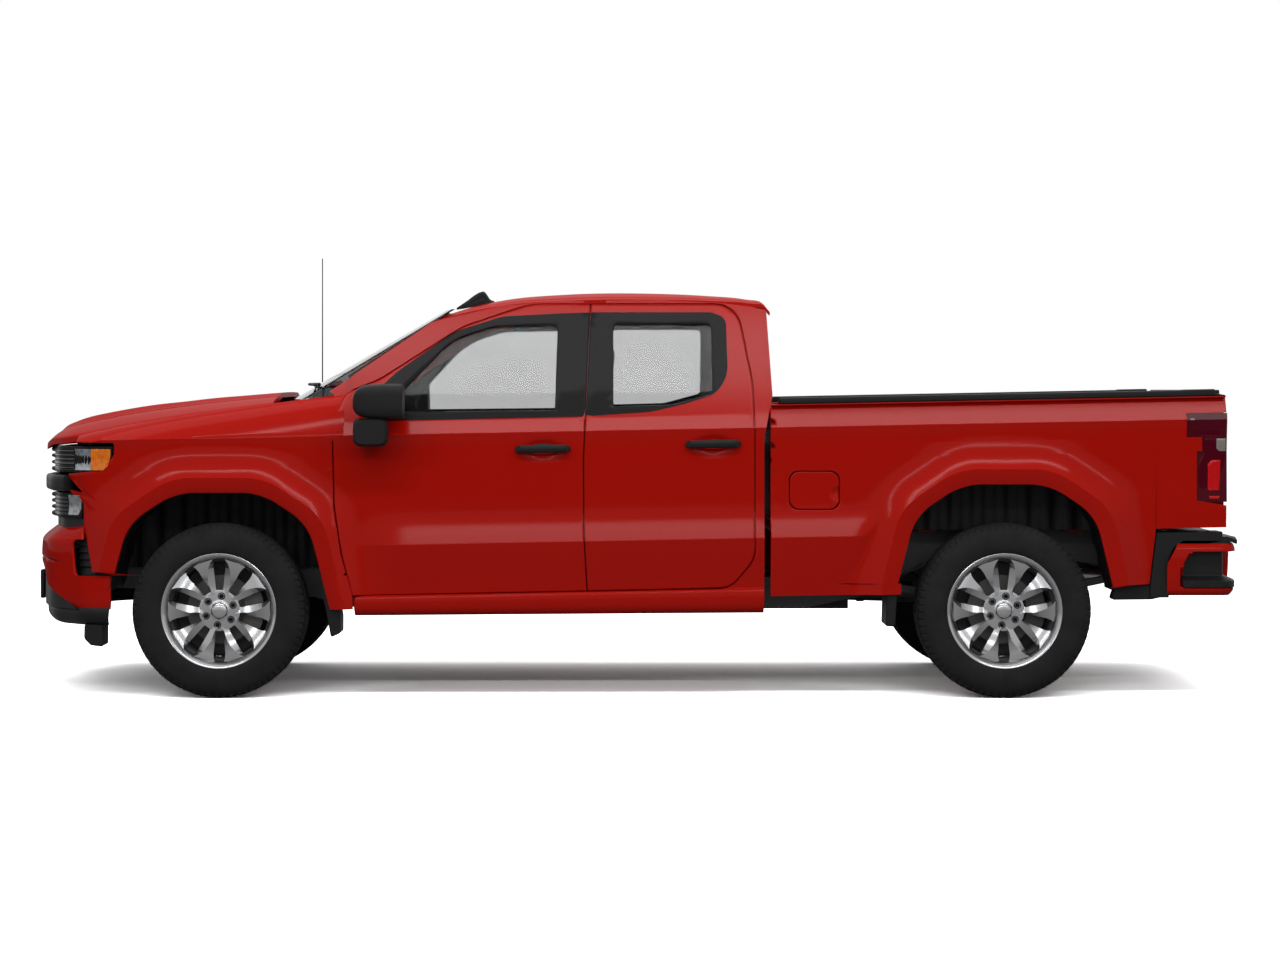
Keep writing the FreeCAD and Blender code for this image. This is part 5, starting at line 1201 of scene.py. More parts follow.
@dataclass
class BedSide:
    """Bed sides: the skin round the arch and the filler door, and the flat inner wall."""

    front: float = 0.6825
    rear: float = 2.8545
    base: float = 0.530
    split: float = 1.10
    inner: float = 0.907
    filler: tuple[float, float, float, float] = (0.8905, 0.992, 0.118, 0.090)
    filler_box: tuple[float, float, float] = (1.08, 0.85, 1.05)

    def front_edge(self, level: Array) -> Array:
        """Where the block ahead of the arch ends: a line that leans back, and the arch's lip below."""
        return np.interp(level, [0.40, 0.4995, 0.5005, 0.75, 0.85, 1.10],
                         [1.300, 1.300, 1.060, 1.168, 1.195, 1.235])

    def build(self) -> None:
        """Makes both bed sides, of which the left one has the filler's hole, and the filler door."""
        keep(self.skin(True).shell, "bed_side_skin_left", Finishes.PAINT, "chassis", instead_of=["bed_sides"])
        keep(self.skin(False).shell.mirrored(), "bed_side_skin_right", Finishes.PAINT, "chassis",
             instead_of=["bed_sides"])
        self.inner_wall()
        self.lid_skin()

    def skin(self, holed: bool) -> Panel:
        """One side's outer skin, as for the left.

        Args:
            holed: whether the filler's hole is cut.

        Returns:
            The panel.
        """
        lid, (end, low, high) = self.lid(0.003), self.filler_box
        rim = [(self.front, 0.447), (self.front, 1.80), (self.rear, 1.80), (self.rear, 0.80), (2.5175, 0.792),
               (2.4875, 0.545), (REAR_AXLE, 0.2), (1.30, 0.447)]
        panel = Panel(rounded(rim), lid, 0.004, lip=0.02)
        levels = ruled(0.447, low, 0.011, (SIDE.crease, 0.5), (True, False))
        panel.rows(levels, self.front, self.front_edge(levels), 0.014, (True, False))
        middle = ruled(low, high, 0.012, (), (False, False))
        panel.rows(middle, end, self.front_edge(middle), 0.014, (False, False))
        levels = ruled(high, self.split, 0.012, (), (False, False))
        panel.rows(levels, self.front, self.front_edge(levels), 0.014, (True, False))
        if holed:
            box = np.array([(x, raked(level, x)) for x, level in ((self.front, low), (end, low), (end, high),
                                                                 (self.front, high))])
            hub = self.filler[:2]
            angles = corner_angles(hub, [lid, box], 0.0, 2 * math.pi, 160)[:-1]
            panel.ring(polar(lid, hub, angles), polar(box, hub, angles), hub, angles, 0.014,
                       edges=(True, False), loop=True)
        else:
            panel.rows(middle, self.front, end, 0.014, (True, False))
        self.round_arch(panel)
        for first, last, end in ((self.split, 1.168, 2.7375), (1.168, 1.2825, 2.6635),
                                 (1.2825, BED_TOP, self.rear)):
            panel.rows(ruled(first, last, 0.010, (SIDE.shoulder,), (False, last == BED_TOP)), self.front, end,
                       0.014)
        self.behind(panel)
        return panel

    def lid(self, grow: float) -> Array:
        """Rounded square of the filler door."""
        x, z, wide, high = self.filler
        wide, high = wide + grow, high + grow
        return rounded([(x - wide, z - high, 0.045), (x - wide, z + high, 0.045), (x + wide, z + high, 0.045),
                        (x + wide, z - high, 0.045)])

    def round_arch(self, panel: Panel) -> None:
        """The ring about the wheel arch."""
        hub = (REAR_AXLE, self.base)
        levels = np.linspace(0.502, self.split, 30)
        left = self.front_edge(levels)
        side = np.stack([left, raked(levels, left)], 1)
        loop = np.vstack([[(1.062, self.base)], side[side[:, 1] > self.base + 0.002],
                          [(2.52, raked(self.split, 2.52)), (2.5175, 0.792), (2.4875, 0.545),
                           (2.487, self.base)]])
        angles = corner_angles(hub, [loop], 0.0, math.pi, 300)
        arch, crease = (polar(SIDE.arch(REAR_AXLE, grow), hub, angles) for grow in (0.0, FLARE))
        panel.ring(arch, polar(loop, hub, angles), hub, angles, through=crease, edges=(True, False))

    def behind(self, panel: Panel) -> None:
        """The part behind the arch, below the shoulder band, ahead of the tail lamp and around it."""
        levels = ruled(0.735, self.split, 0.012, (), (False, False))
        right = np.where(levels + RAKE * 4.1 > 0.936, 2.7125, self.rear)
        panel.rows(levels, 2.52, right, 0.014, (False, True))

    def inner_wall(self) -> None:
        """The bed's own wall: flat, from the floor to the rail, over the wheelhouse."""
        x = np.linspace(self.front + 0.002, self.rear - 0.002, 90)
        z = np.linspace(0, 1, 12)[:, None]
        crown = span(SIDE.arch(REAR_AXLE, 0.014), x, axis=0)[1]
        inside = (np.abs(x - REAR_AXLE) < 0.62) & np.isfinite(crown)
        height = np.where(inside, np.maximum(crown, 0.82), 0.82) * (1 - z) + raked(BED_TOP, x) * z
        face = np.stack([np.broadcast_to(x, height.shape), np.full(height.shape, -self.inner), height], -1)
        shell = Shell().slab(face, face - (0, 0.012, 0))
        cap = np.stack(np.meshgrid(x, [-0.972, -0.905], indexing="ij"), -1)
        over = np.concatenate([cap, raked(BED_TOP, cap[..., :1])], -1)
        shell.slab(over, over - (0, 0, 0.006))
        shell.tube(block((2.700, -0.905, 0.840), (2.850, -0.797, 1.392), 0.006, 2))
        both_sides(shell, "bed_inner_wall", Finishes.PAINT)

    def lid_skin(self) -> None:
        """The filler door, with a finger notch at its rear edge."""
        lid = self.lid(-0.0015)
        x, z, _, high = self.filler
        panel = Panel(lid, None, 0.020, 0.003, dents=((x + 0.112, z - 0.012, 0.034, 0.030, 0.012),))
        rows = ruled(z - high + 0.0016, z + high - 0.0016, 0.006)
        left, right = span(lid, rows)
        edge = np.array([0, 0.004, 0.01, 0.02, 0.035, 0.055])
        share = np.concatenate([edge, np.linspace(0.09, 0.91, 24), 1 - edge[::-1]])
        panel.plate(left[:, None] * (1 - share) + right[:, None] * share, rows[:, None])
        keep(panel.shell, "fuel_door_skin", Finishes.PAINT, "fuel_door", instead_of=["fuel_door"])


@dataclass
class Hood:
    """Hood with a raised middle and a rolled front lip.

    Across, the height runs from the seam's edge to the middle line by a falling curve with a step where
    the raised middle ends; along, both follow smooth lines.
    """

    thickness: float = 0.024
    step_from: float = 0.50
    step_to: float = 0.60

    def build(self) -> None:
        """Makes the hood."""
        f = FRONT_AXLE
        middle = [(-2.8340, 1.226), (-2.8235, 1.248), (-2.7935, 1.282), (-2.7195, 1.320), (-2.6455, 1.344),
                  (-2.5715, 1.360), (-2.4975, 1.374), (-2.3495, 1.398), (-2.2015, 1.414), (-2.0535, 1.431),
                  (-1.9055, 1.443), (-1.7585, 1.455), (-1.7025, 1.459)]
        half = [(f - 0.886, 0.575), (f - 0.86, 0.63), (f - 0.78, 0.755), (f - 0.65, 0.828), (f - 0.50, 0.850),
                (f + 0.245, 0.850)]
        edge = [(f - 0.886, 1.212), (f - 0.86, 1.228), (f - 0.78, 1.240), (f - 0.65, 1.2607),
                (f - 0.5, 1.292), (f - 0.35, 1.3201), (f - 0.2, 1.3453), (f, 1.374), (f + 0.245, 1.4059)]
        x = np.unique(np.concatenate([f - 0.886 + EDGE_STEPS * 2, np.linspace(f - 0.886, f + 0.245, 84),
                                      f + 0.245 - EDGE_STEPS]))
        across = ruled(-1, 1, 0.02, (-self.step_to, -self.step_from, self.step_from, self.step_to))
        reach = np.abs(across)[None]
        outer_part = np.clip((reach - self.step_to) / (1 - self.step_to), 0, 1)
        crown = 1 - 0.05 * (reach / self.step_from) ** 2
        step = 0.95 - 0.30 * smooth_step(reach, self.step_from - 0.02, self.step_to)
        share = np.where(reach < self.step_from - 0.02, crown, step)
        share = share * np.where(reach > self.step_to, 1 - outer_part ** 1.7, 1)
        wide, low, high = (eased(line, x)[:, None] for line in (half, edge, middle))
        fall = hem((1 - reach) * wide, 0.006) + hem(x[:, None] - x[0], 0.008)
        height = low + (high - low) * share - fall
        top = np.stack([np.broadcast_to(x[:, None], height.shape), across[None] * wide, height], -1)
        keep(Shell().slab(top, top - (0, 0, self.thickness)), "hood_skin", Finishes.PAINT, "hood",
             instead_of=["hood"])
        arms = Shell()
        for y in (-0.76, 0.76):
            arms.tube(sweep([(f + 0.10, y, 1.372), (f + 0.2, y, 1.352), (f + 0.31, y, 1.374)], 0.008, 10))
        keep(arms, "hood_arms", Finishes.STEEL, "hood")


@dataclass
class Roof:
    """Roof skin with two pressed channels and the lip over the back window."""

    thickness: float = 0.018

    def build(self) -> None:
        """Makes the roof.

        Along, the edge follows the roof line; across, the height rises from it as one less the 2.4th
        power of the distance from the middle, less a groove beside each edge.
        """
        d = DOOR_FRONT
        edge = [(d + 0.46, 1.800), (d + 0.62, 1.846), (d + 0.80, 1.880), (d + 1.10, 1.902), (d + 1.55, 1.908),
                (d + 1.80, 1.902), (d + 2.00, 1.890), (d + 2.075, 1.876), (d + 2.095, 1.858)]
        half = [(d + 0.46, 0.715), (d + 0.80, 0.728), (d + 1.55, 0.726), (d + 2.095, 0.716)]
        crown = [(d + 0.46, 0.030), (d + 0.80, 0.042), (d + 1.55, 0.046), (d + 1.95, 0.036),
                 (d + 2.095, 0.030)]
        x = np.concatenate([np.linspace(d + 0.46, d + 2.04, 70), np.linspace(d + 2.047, d + 2.095, 9)])
        across = ruled(-1, 1, 0.025, (-0.9, -0.86, 0.86, 0.9))
        reach = np.abs(across)[None]
        low, wide, rise = (eased(line, x)[:, None] for line in (edge, half, crown))
        groove = 0.006 * np.exp(-((reach - 0.88) / 0.018) ** 2)
        ribs = 0.0022 * sum(smooth_step(-np.abs(reach * wide - at), -0.045, -0.030) for at in (0.14, 0.36))
        ribs = ribs * smooth_step(x[:, None], d + 0.90, d + 1.05)
        ribs = ribs * (1 - smooth_step(x[:, None], d + 1.75, d + 1.90))
        height = low + rise * (1 - reach ** 2.4) - groove - ribs - hem(0.004 + (1 - reach) * wide, 0.008)
        tip = smooth_step(x[:, None], d + 2.06, d + 2.095)
        top = np.stack([np.broadcast_to(x[:, None], height.shape), across[None] * wide, height - 0.010 * tip],
                       -1)
        shell = Shell().slab(top, top - (0, 0, self.thickness))
        keep(shell, "roof_skin", Finishes.PAINT, "chassis", instead_of=["roof"])


@dataclass
class Wheel:
    """Tyre and ten-window alloy wheel, about an axle at the origin's side, built once and set four times."""

    radius: float = 0.417
    blocks: int = 72
    bolts: float = 0.06985

    def tyre(self, hub: Sequence[float]) -> Shell:
        """The tyre: a rounded profile turned about the axle, with grooves cut as the radius less a depth.

        Grooves run round the tread; between them, slanting cuts repeat with the turn. Each wall carries
        two low ribs and short ridges at the shoulder.
        """
        wall = [(0.2705, -0.116), (0.2735, -0.1225), (0.278, -0.1275), (0.287, -0.1325), (0.310, -0.1375),
                (0.335, -0.1380), (0.3600, -0.1355), (0.3790, -0.1290), (0.3900, -0.1225), (0.3985, -0.1180)]
        tread = np.array([-0.1120, -0.1060, -0.0940, -0.0920, -0.0840, -0.0820, -0.0640, -0.0480, -0.0460,
                          -0.0370, -0.0350, -0.0180, 0.0])
        crown = self.radius - 0.9 * np.maximum(0.0, np.abs(tread) - 0.086) ** 1.35 - 0.16 * tread * tread
        profile = np.vstack([wall, np.stack([crown, tread], 1)])
        profile = np.vstack([profile, (profile[:-1] * (1, -1))[::-1]])
        count = self.blocks * 6
        turn = np.arange(count) * 2 * math.pi / count
        radius = np.repeat(profile[None, :, 0], count, 0)
        y = profile[None, :, 1] + 0 * radius
        rim = np.abs(y)
        ribs = ((rim > 0.036) & (rim < 0.047)) | ((rim > 0.083) & (rim < 0.0935))
        phase = (np.arange(count)[:, None] + np.round(y * 60)) % 6
        outer_cut = (phase < 2) & (rim > 0.093) & (radius > 0.395)
        inner_cut = (phase < 1) & (rim < 0.083)
        depth = (np.where(ribs, 0.0085, 0) + np.where(outer_cut & ~ribs, 0.007, 0)
                 + np.where(inner_cut & ~ribs, 0.005, 0))
        ridges = 0.0016 * ((np.arange(count)[:, None] % 3 < 1) & (radius > 0.374) & (radius < 0.393))
        rings = (0.0012 * np.exp(-((radius - 0.348) / 0.003) ** 2)
                 + 0.001 * np.exp(-((radius - 0.300) / 0.004) ** 2))
        y = y + np.sign(y) * (ridges + rings)
        radius = radius - depth
        points = np.stack([hub[0] + radius * np.cos(turn)[:, None], hub[1] + y,
                           hub[2] + radius * np.sin(turn)[:, None]], -1)
        return Shell().add(points, Shell.quads(count, len(profile), True, True))

    def rim(self, hub: Sequence[float]) -> Shell:
        """The rim's face: flange and sloping seat turned about the axle."""
        profile = np.array([
            (0.2600, -0.116), (0.2700, -0.1190), (0.2748, -0.1225), (0.2752, -0.1255), (0.2725, -0.1272),
            (0.2660, -0.1245), (0.2600, -0.1190), (0.2530, -0.1110), (0.2460, -0.1020), (0.2410, -0.0900),
            (0.2390, -0.0800), (0.2480, -0.0800),
        ])
        return Shell().turned(profile, hub, 120)

    def barrel(self, hub: Sequence[float]) -> Shell:
        """The barrel behind the rim's face, with the inner flange."""
        profile = np.array([
            (0.2388, -0.0790), (0.2330, -0.0500), (0.2300, 0.0400), (0.2340, 0.1050), (0.2600, 0.1180),
            (0.2720, 0.1235), (0.2560, 0.1170), (0.2440, 0.0400), (0.2478, -0.0790),
        ])
        return Shell().turned(profile, hub, 120)

    def spokes(self, hub: Sequence[float]) -> Shell:
        """Ten spokes between tapered windows.

        Each spoke's half width is what the windows leave of its tenth of the turn; its front is two flats
        that meet in a ridge, which runs from one edge at the hub to the other at the rim, by turns left
        and right, so that the spokes stand in pairs.
        """
        shell = Shell()
        reach = np.array([0.078, 0.092, 0.104, 0.125, 0.150, 0.180, 0.205, 0.226, 0.243])
        window = np.interp(reach, [0.078, 0.092, 0.104, 0.205, 0.228, 0.243],
                           [0.0, 0.011, 0.0185, 0.0300, 0.0280, 0.0180])
        for index in range(10):
            side = 1 if index % 2 else -1
            half = reach * math.tan(math.radians(18)) - window
            ridge = side * half * np.interp(reach, [0.078, 0.15, 0.243], [0.70, 0.30, -0.80])
            top = np.interp(reach, [0.078, 0.12, 0.18, 0.226, 0.243],
                            [0.0800, 0.0865, 0.0985, 0.1085, 0.1090])
            edge = top - np.interp(reach, [0.078, 0.12, 0.2, 0.243], [0.003, 0.013, 0.024, 0.020])
            back = top - 0.046
            across = np.stack([-half, -half, ridge, half, half, 0.72 * half, -0.72 * half], 1)
            outward = np.stack([edge - 0.014, edge, top, edge, edge - 0.014, back, back], 1)
            angle = math.radians(36 * index + 72)
            radial = np.array([math.cos(angle), 0, math.sin(angle)])
            tangent = np.array([-math.sin(angle), 0, math.cos(angle)])
            points = (np.array(hub) + reach[:, None, None] * radial + across[..., None] * tangent
                      - outward[..., None] * np.array([0, 1.0, 0]))
            shell.tube(points)
        return shell

    def hub_face(self, hub: Sequence[float]) -> Shell:
        """The hub: a dished face turned about the axle, with a plain domed cap."""
        profile = np.array([(0.0, -0.0950), (0.016, -0.0945), (0.028, -0.0925), (0.0345, -0.0885),
                            (0.0360, -0.0850), (0.0375, -0.0820), (0.0420, -0.0790), (0.0560, -0.0765),
                            (0.0880, -0.0800), (0.0980, -0.0780), (0.1000, -0.0600), (0.0960, -0.0350),
                            (0.0, -0.0350)])
        return Shell().turned(profile, hub, 72, closed=False)

    def nuts(self, hub: Sequence[float]) -> tuple[Shell, Shell]:
        """Six wheel nuts, each a six-sided cone in a dark cup, on the bolt circle."""
        nuts, cups = Shell(), Shell()
        for index in range(6):
            angle = math.radians(60 * index + 82)
            at = (hub[0] + self.bolts * math.cos(angle), hub[1], hub[2] + self.bolts * math.sin(angle))
            nuts.turned(np.array([(0.0, -0.0985), (0.0060, -0.0980), (0.0095, -0.0940), (0.0125, -0.0800),
                                  (0.0125, -0.0700), (0.0, -0.0700)]), at, 6, closed=False)
            cups.turned(np.array([(0.0128, -0.0700), (0.0128, -0.0795), (0.0165, -0.0810), (0.0180, -0.0795),
                                  (0.0180, -0.0700)]), at, 24)
        return nuts, cups

    def build(self) -> None:
        """Makes the four wheels, each on its own body."""
        for end, x in (("front", FRONT_AXLE), ("rear", REAR_AXLE)):
            hub = (x, -WHEEL_Y, AXLE_HEIGHT)
            nuts, cups = self.nuts(hub)
            bodies = [f"{end}_wheel_left", f"{end}_wheel_right"]
            both_sides(self.tyre(hub), f"tyre_{end}_tread", Finishes.RUBBER, bodies, 30, f"tyre_{end}_")
            both_sides(self.rim(hub), f"rim_{end}", Finishes.ALLOY, bodies, 30, f"wheel_{end}_")
            both_sides(self.barrel(hub), f"barrel_{end}", Finishes.CAST, bodies, 30)
            both_sides(self.spokes(hub), f"spokes_{end}", Finishes.ALLOY, bodies, 12)
            both_sides(self.hub_face(hub), f"hub_{end}", Finishes.ALLOY, bodies, 30)
            both_sides(nuts, f"nuts_{end}", Finishes.GLOSS_BLACK, bodies, 20)
            both_sides(cups, f"nut_cups_{end}", Finishes.STEEL, bodies, 30)
            rotor = Shell().turned(np.array([(0.070, 0.008), (0.165, 0.008), (0.165, 0.018), (0.155, 0.018),
                                             (0.155, 0.030), (0.165, 0.030), (0.165, 0.040), (0.070, 0.040)]),
                                   hub, 72)
            bell = Shell().turned(np.array([(0.0, -0.034), (0.080, -0.034), (0.088, -0.028), (0.090, 0.0395),
                                            (0.0, 0.0395)]), hub, 48, closed=False)
            both_sides(rotor.joined(bell), f"rotor_{end}", Finishes.CAST, bodies, 30)
            shield = Shell().turned(np.array([(0.060, 0.052), (0.218, 0.052), (0.225, 0.044), (0.228, 0.046),
                                              (0.221, 0.057), (0.060, 0.057)]), hub, 72)
            holders = ["knuckle_left", "knuckle_right"] if end == "front" else ["chassis"]
            both_sides(shield, f"dust_shield_{end}", Finishes.TRIM, holders, 40)


@dataclass
class Mirror:
    """Outside mirror: a rounded head over a foot, both as superellipses in rings along the truck."""

    x: float = DOOR_FRONT + 0.109
    base: float = 1.334
    depth: float = 0.235
    height: float = 0.166
    middle_y: float = -1.114
    half_y: float = 0.099
    power: float = 0.42

    def build(self) -> None:
        """Makes both mirrors.

        The head's rings lie across the truck; each is a superellipse whose half sizes follow a smooth
        line along the truck, full at the back and rounded to the front.
        """
        bodies = ["front_door_left", "front_door_right"]
        along = np.array([0, 0.01, 0.03, 0.07, 0.13, 0.22, 0.34, 0.48, 0.62, 0.76, 0.88, 0.955, 0.985,
                          1.0])[:, None]
        grow = np.interp(along, [0, 0.01, 0.03, 0.07, 0.13, 0.22, 0.34, 0.62, 0.955, 0.985, 1.0],
                         [0.30, 0.42, 0.56, 0.70, 0.82, 0.91, 0.965, 1.0, 1.0, 0.985, 0.955])
        turn = turns(56)
        cosine, sine = powered(np.cos(turn), self.power), powered(np.sin(turn), self.power)
        x = self.x + along * self.depth + 0 * turn
        y = self.middle_y + cosine * self.half_y * (0.55 + 0.45 * grow)
        z = self.base + self.height * 0.5 + (sine * self.height * 0.5) * grow - 0.010 * (1 - grow)
        both_sides(Shell().tube(np.stack([x, y, z], -1)), "mirror_head", Finishes.BLACK, bodies, 40)
        lower = np.linspace(0, 1, 9)[:, None]
        wide = 0.0815 * (1 - 0.10 * lower)
        tall = 0.0655 * (0.88 + 0.12 * np.cos(lower * 3))
        drop = 1.2725 - 0.010 * np.sin(lower * 3.14)
        foot = np.stack([self.x + 0.0820 + cosine * wide, -1.180 + 0.208 * lower + 0 * turn,
                         drop + sine * tall], -1)
        middle = foot[0].mean(0)
        closed = np.concatenate([[middle + (foot[0] - middle) * 0.86 + (0, -0.012, 0)], foot])
        both_sides(Shell().tube(closed), "mirror_foot", Finishes.BLACK, bodies, 40)
        pane = np.stack([np.full(56, self.x + self.depth - 0.0030), self.middle_y + cosine * 0.088,
                         self.base + 0.083 + sine * 0.073], -1)
        both_sides(Shell().tube(np.stack([pane, pane + (0.0022, 0, 0)])), "mirror_pane", Finishes.SILVER,
                   bodies, 30)


@dataclass
class Flanks:
    """The painted body between the doors and under them: rocker panels, corner posts and the arch liners."""

    def build(self) -> None:
        """Makes the rockers, the posts behind the rear doors and the liners."""
        self.rocker()
        self.post()
        for centre, name, inner, wall, foot in ((FRONT_AXLE, "front", 0.500, 0.505, 0.60),
                                                (REAR_AXLE, "rear", 0.664, 0.668, 0.79)):
            self.liner(centre, name, inner, wall, foot)

    def rocker(self) -> None:
        """The rolled panel under the doors: half width by height, sharp at the top, tucked in at the foot."""
        x = np.linspace(DOOR_FRONT + 0.105, 0.650, 90)[:, None]
        half, z = np.array([(0.9700, 0.4860), (0.9790, 0.4852), (0.9850, 0.4820), (0.9885, 0.4760),
                            (0.9880, 0.4500), (0.9860, 0.4300), (0.9800, 0.4120), (0.9680, 0.4000),
                            (0.9500, 0.3930), (0.9000, 0.3900)]).T
        lift = RAKE * (x - DOOR_FRONT)
        outer = np.stack([x + 0 * z, 0 * x - half, z + 0.35 * lift + 0.65 * lift * ((z - 0.39) / 0.096)], -1)
        both_sides(Shell().slab(outer, outer + (0, 0.006, 0)), "rocker", Finishes.PAINT)

    def post(self) -> None:
        """The strip behind the rear door up to the cab's corner, as the body side."""
        rows = ruled(0.665, 1.835, 0.014, (raked(SIDE.crease, 0.63), raked(SIDE.shoulder, 0.63)),
                     (False, False))
        left = np.interp(rows, [0.665, 1.312, 1.512, 1.700, 1.835], [0.6110, 0.6110, 0.6030, 0.5700, 0.5430])
        right = np.interp(rows, [0.665, 1.250, 1.34, 1.442, 1.800, 1.835],
                          [0.6520, 0.6520, 0.668, 0.688, 0.652, 0.640])
        x = between(left, right, 0.010, (True, True))
        both_sides(Panel(thickness=0.003).plate(x, rows[:, None], False).shell, "rear_post", Finishes.PAINT)

    def liner(self, centre: float, name: str, inner: float, wall: float, foot: float) -> None:
        """Ribbed liner inside an arch: the arch line moved out a little and carried inwards in low waves.

        Args:
            centre: station of the axle.
            name: of the axle in the pieces' names.
            inner: half width where the liner ends.
            wall: half width of the upright wall there.
            foot: height at which the wall starts.
        """
        arch = dense(SIDE.arch(centre, 0.004), 0.012)
        arch = arch[np.argsort(np.arctan2(arch[:, 1] - 0.45, arch[:, 0] - centre))]
        arch = arch[arch[:, 1] > 0.50]
        y = -np.append(np.linspace(0.995, 0.70, 14), inner)
        outward = arch - (centre, 0.45)
        outward /= np.linalg.norm(outward, axis=1, keepdims=True)
        wave_in = 0.004 * np.sin(y * 2 * math.pi / 0.055)
        off = 0.006 + wave_in + 0.0035 * np.sin(np.arange(len(arch)) * 0.55)[:, None]
        face = np.stack([arch[:, :1] + outward[:, :1] * off, y + 0 * off, arch[:, 1:] + outward[:, 1:] * off],
                        -1)
        back = face + np.stack([outward[:, 0], 0 * outward[:, 0], outward[:, 1]], -1)[:, None] * 0.004
        both_sides(Shell().slab(face, back), f"liner_{name}", Finishes.BLACK, smooth=60)
        x = np.linspace(centre - 0.60, centre + 0.60, 90)
        crown = np.interp(x, *arch[::-1].T, left=0.5, right=0.5) + 0.02
        z = foot + np.maximum(crown - foot, 0.002) * np.linspace(0, 1, 24)[:, None]
        ribs = 0.006 * np.clip(np.cos(x * 2 * math.pi / 0.11) * 3, -1, 1)
        face = np.stack([x + 0 * z, -wall + ribs + 0 * z, z], -1)
        both_sides(Shell().slab(face, face + (0, 0.004, 0)), f"liner_wall_{name}", Finishes.BLACK, smooth=60)


@dataclass
class Flaps:
    """Mud flaps behind the front wheels and ahead of the rear ones, and short flaps ahead of the front wheels
    under the nose.
    """

    def build(self) -> None:
        """Makes the flaps: thin moulded sheets, bevelled round the edge on both faces."""
        front = rounded([(-1.468, 0.560, 0.01), (-1.405, 0.556, 0.012), (-1.366, 0.390, 0.05),
                         (-1.366, 0.312, 0.012), (-1.412, 0.292, 0.008), (-1.436, 0.424, 0.1)])
        rear = rounded([(1.236, 0.606, 0.01), (1.289, 0.610, 0.01), (1.274, 0.345, 0.01),
                        (1.228, 0.345, 0.01)])
        nose = rounded([(-2.590, 0.352, 0.01), (-2.500, 0.352, 0.01), (-2.500, 0.245, 0.01),
                        (-2.560, 0.252, 0.02), (-2.592, 0.285, 0.03)])
        for name, outline, start, end in (("front", front, -0.995, -0.80), ("rear", rear, -1.005, -0.76),
                                          ("nose", nose, -0.965, -0.80)):
            both_sides(prism(outline, start, end, 1, 0.004), f"flap_{name}", Finishes.BLACK, smooth=40,
                       instead_of="splash_guards" if name == "front" else "")


class PlanLine:
    """A line in plan, from the middle out and back along the left side, read by its length."""

    def __init__(self, line: Array, steps: int, turn: int) -> None:
        """Divides the line evenly.

        Args:
            line: n by 2 points.
            steps: even points on it.
            turn: 1 where its left-hand side faces outwards, else -1.
        """
        run = np.concatenate([[0], np.cumsum(np.linalg.norm(np.diff(line, axis=0), axis=1))])
        self.run = np.linspace(0, run[-1], steps)
        self.line = np.stack([np.interp(self.run, run, line[:, k]) for k in (0, 1)], 1)
        along = np.gradient(self.line, axis=0)
        normal = np.stack([-turn * along[:, 1], turn * along[:, 0]], 1)
        self.normal = normal / np.linalg.norm(normal, axis=1, keepdims=True)

    @classmethod
    def nose(cls) -> "PlanLine":
        """The nose's line, as in the body side's plan."""
        corners = [(FRONT_AXLE + a, b, r) for a, b, r in SIDE.plan[1:-1]]
        plan = rounded(corners + [(FRONT_AXLE - 0.90, 0.9, 0.0)], 16)
        plan = plan[(plan[:, 1] < -0.02) & (plan[:, 0] < FRONT_AXLE - 0.35)]
        plan = plan[np.argsort(-plan[:, 1], kind="stable")]
        ends = (FRONT_AXLE - 0.90, 0.0), (FRONT_AXLE - 0.30, -SIDE.side_half)
        return cls(np.vstack([ends[:1], plan, ends[1:]]), 400, -1)

    @classmethod
    def tail(cls, back: float) -> "PlanLine":
        """The rear bumper's line, with its rearmost station."""
        plan = rounded([(back - 0.02, 0.30), (back, 0.0, 0.5), (back - 0.012, -0.80, 0.6),
                        (back - 0.045, -0.985, 0.085), (2.500, -0.985, 0.0)], 20)
        return cls(np.vstack([[(back - 0.001, 0.0)], plan[plan[:, 1] < -1e-6]]), 500, 1)

    def at_x(self, x: Array | float) -> Array:
        """Length of the line where its side part passes a station."""
        sign = math.copysign(1, self.line[-1, 0] - self.line[0, 0])
        side = self.line[:, 1] < (-0.3 if sign > 0 else -0.965)
        return np.interp(sign * np.asarray(x, float), sign * self.line[side, 0], self.run[side])

    def at_y(self, y: Array | float) -> Array:
        """Length of the line where its front or rear part passes a half width."""
        return np.interp(y, -self.line[:, 1], self.run)

    def points(self, run: Array, depth: Array, height: Array) -> Array:
        """Points at lengths, depths behind the line and heights; lengths below nought lie on the right."""
        reach = np.abs(run)
        base, normal = (np.stack([np.interp(reach, self.run, table[:, k]) for k in (0, 1)], -1)
                        for table in (self.line, self.normal))
        flat = base - normal * depth[..., None]
        return np.stack([flat[..., 0], flat[..., 1] * np.where(run < 0, -1, 1), height], -1)


def saw(value: Array, start: float, pitch: float) -> Array:
    """A saw-tooth from nought to one, as slats have over their height."""
    return (value - start) / pitch % 1


def wave(value: Array, pitch: float) -> Array:
    """A cosine wave of a pitch."""
    return np.cos(value * 2 * math.pi / pitch)


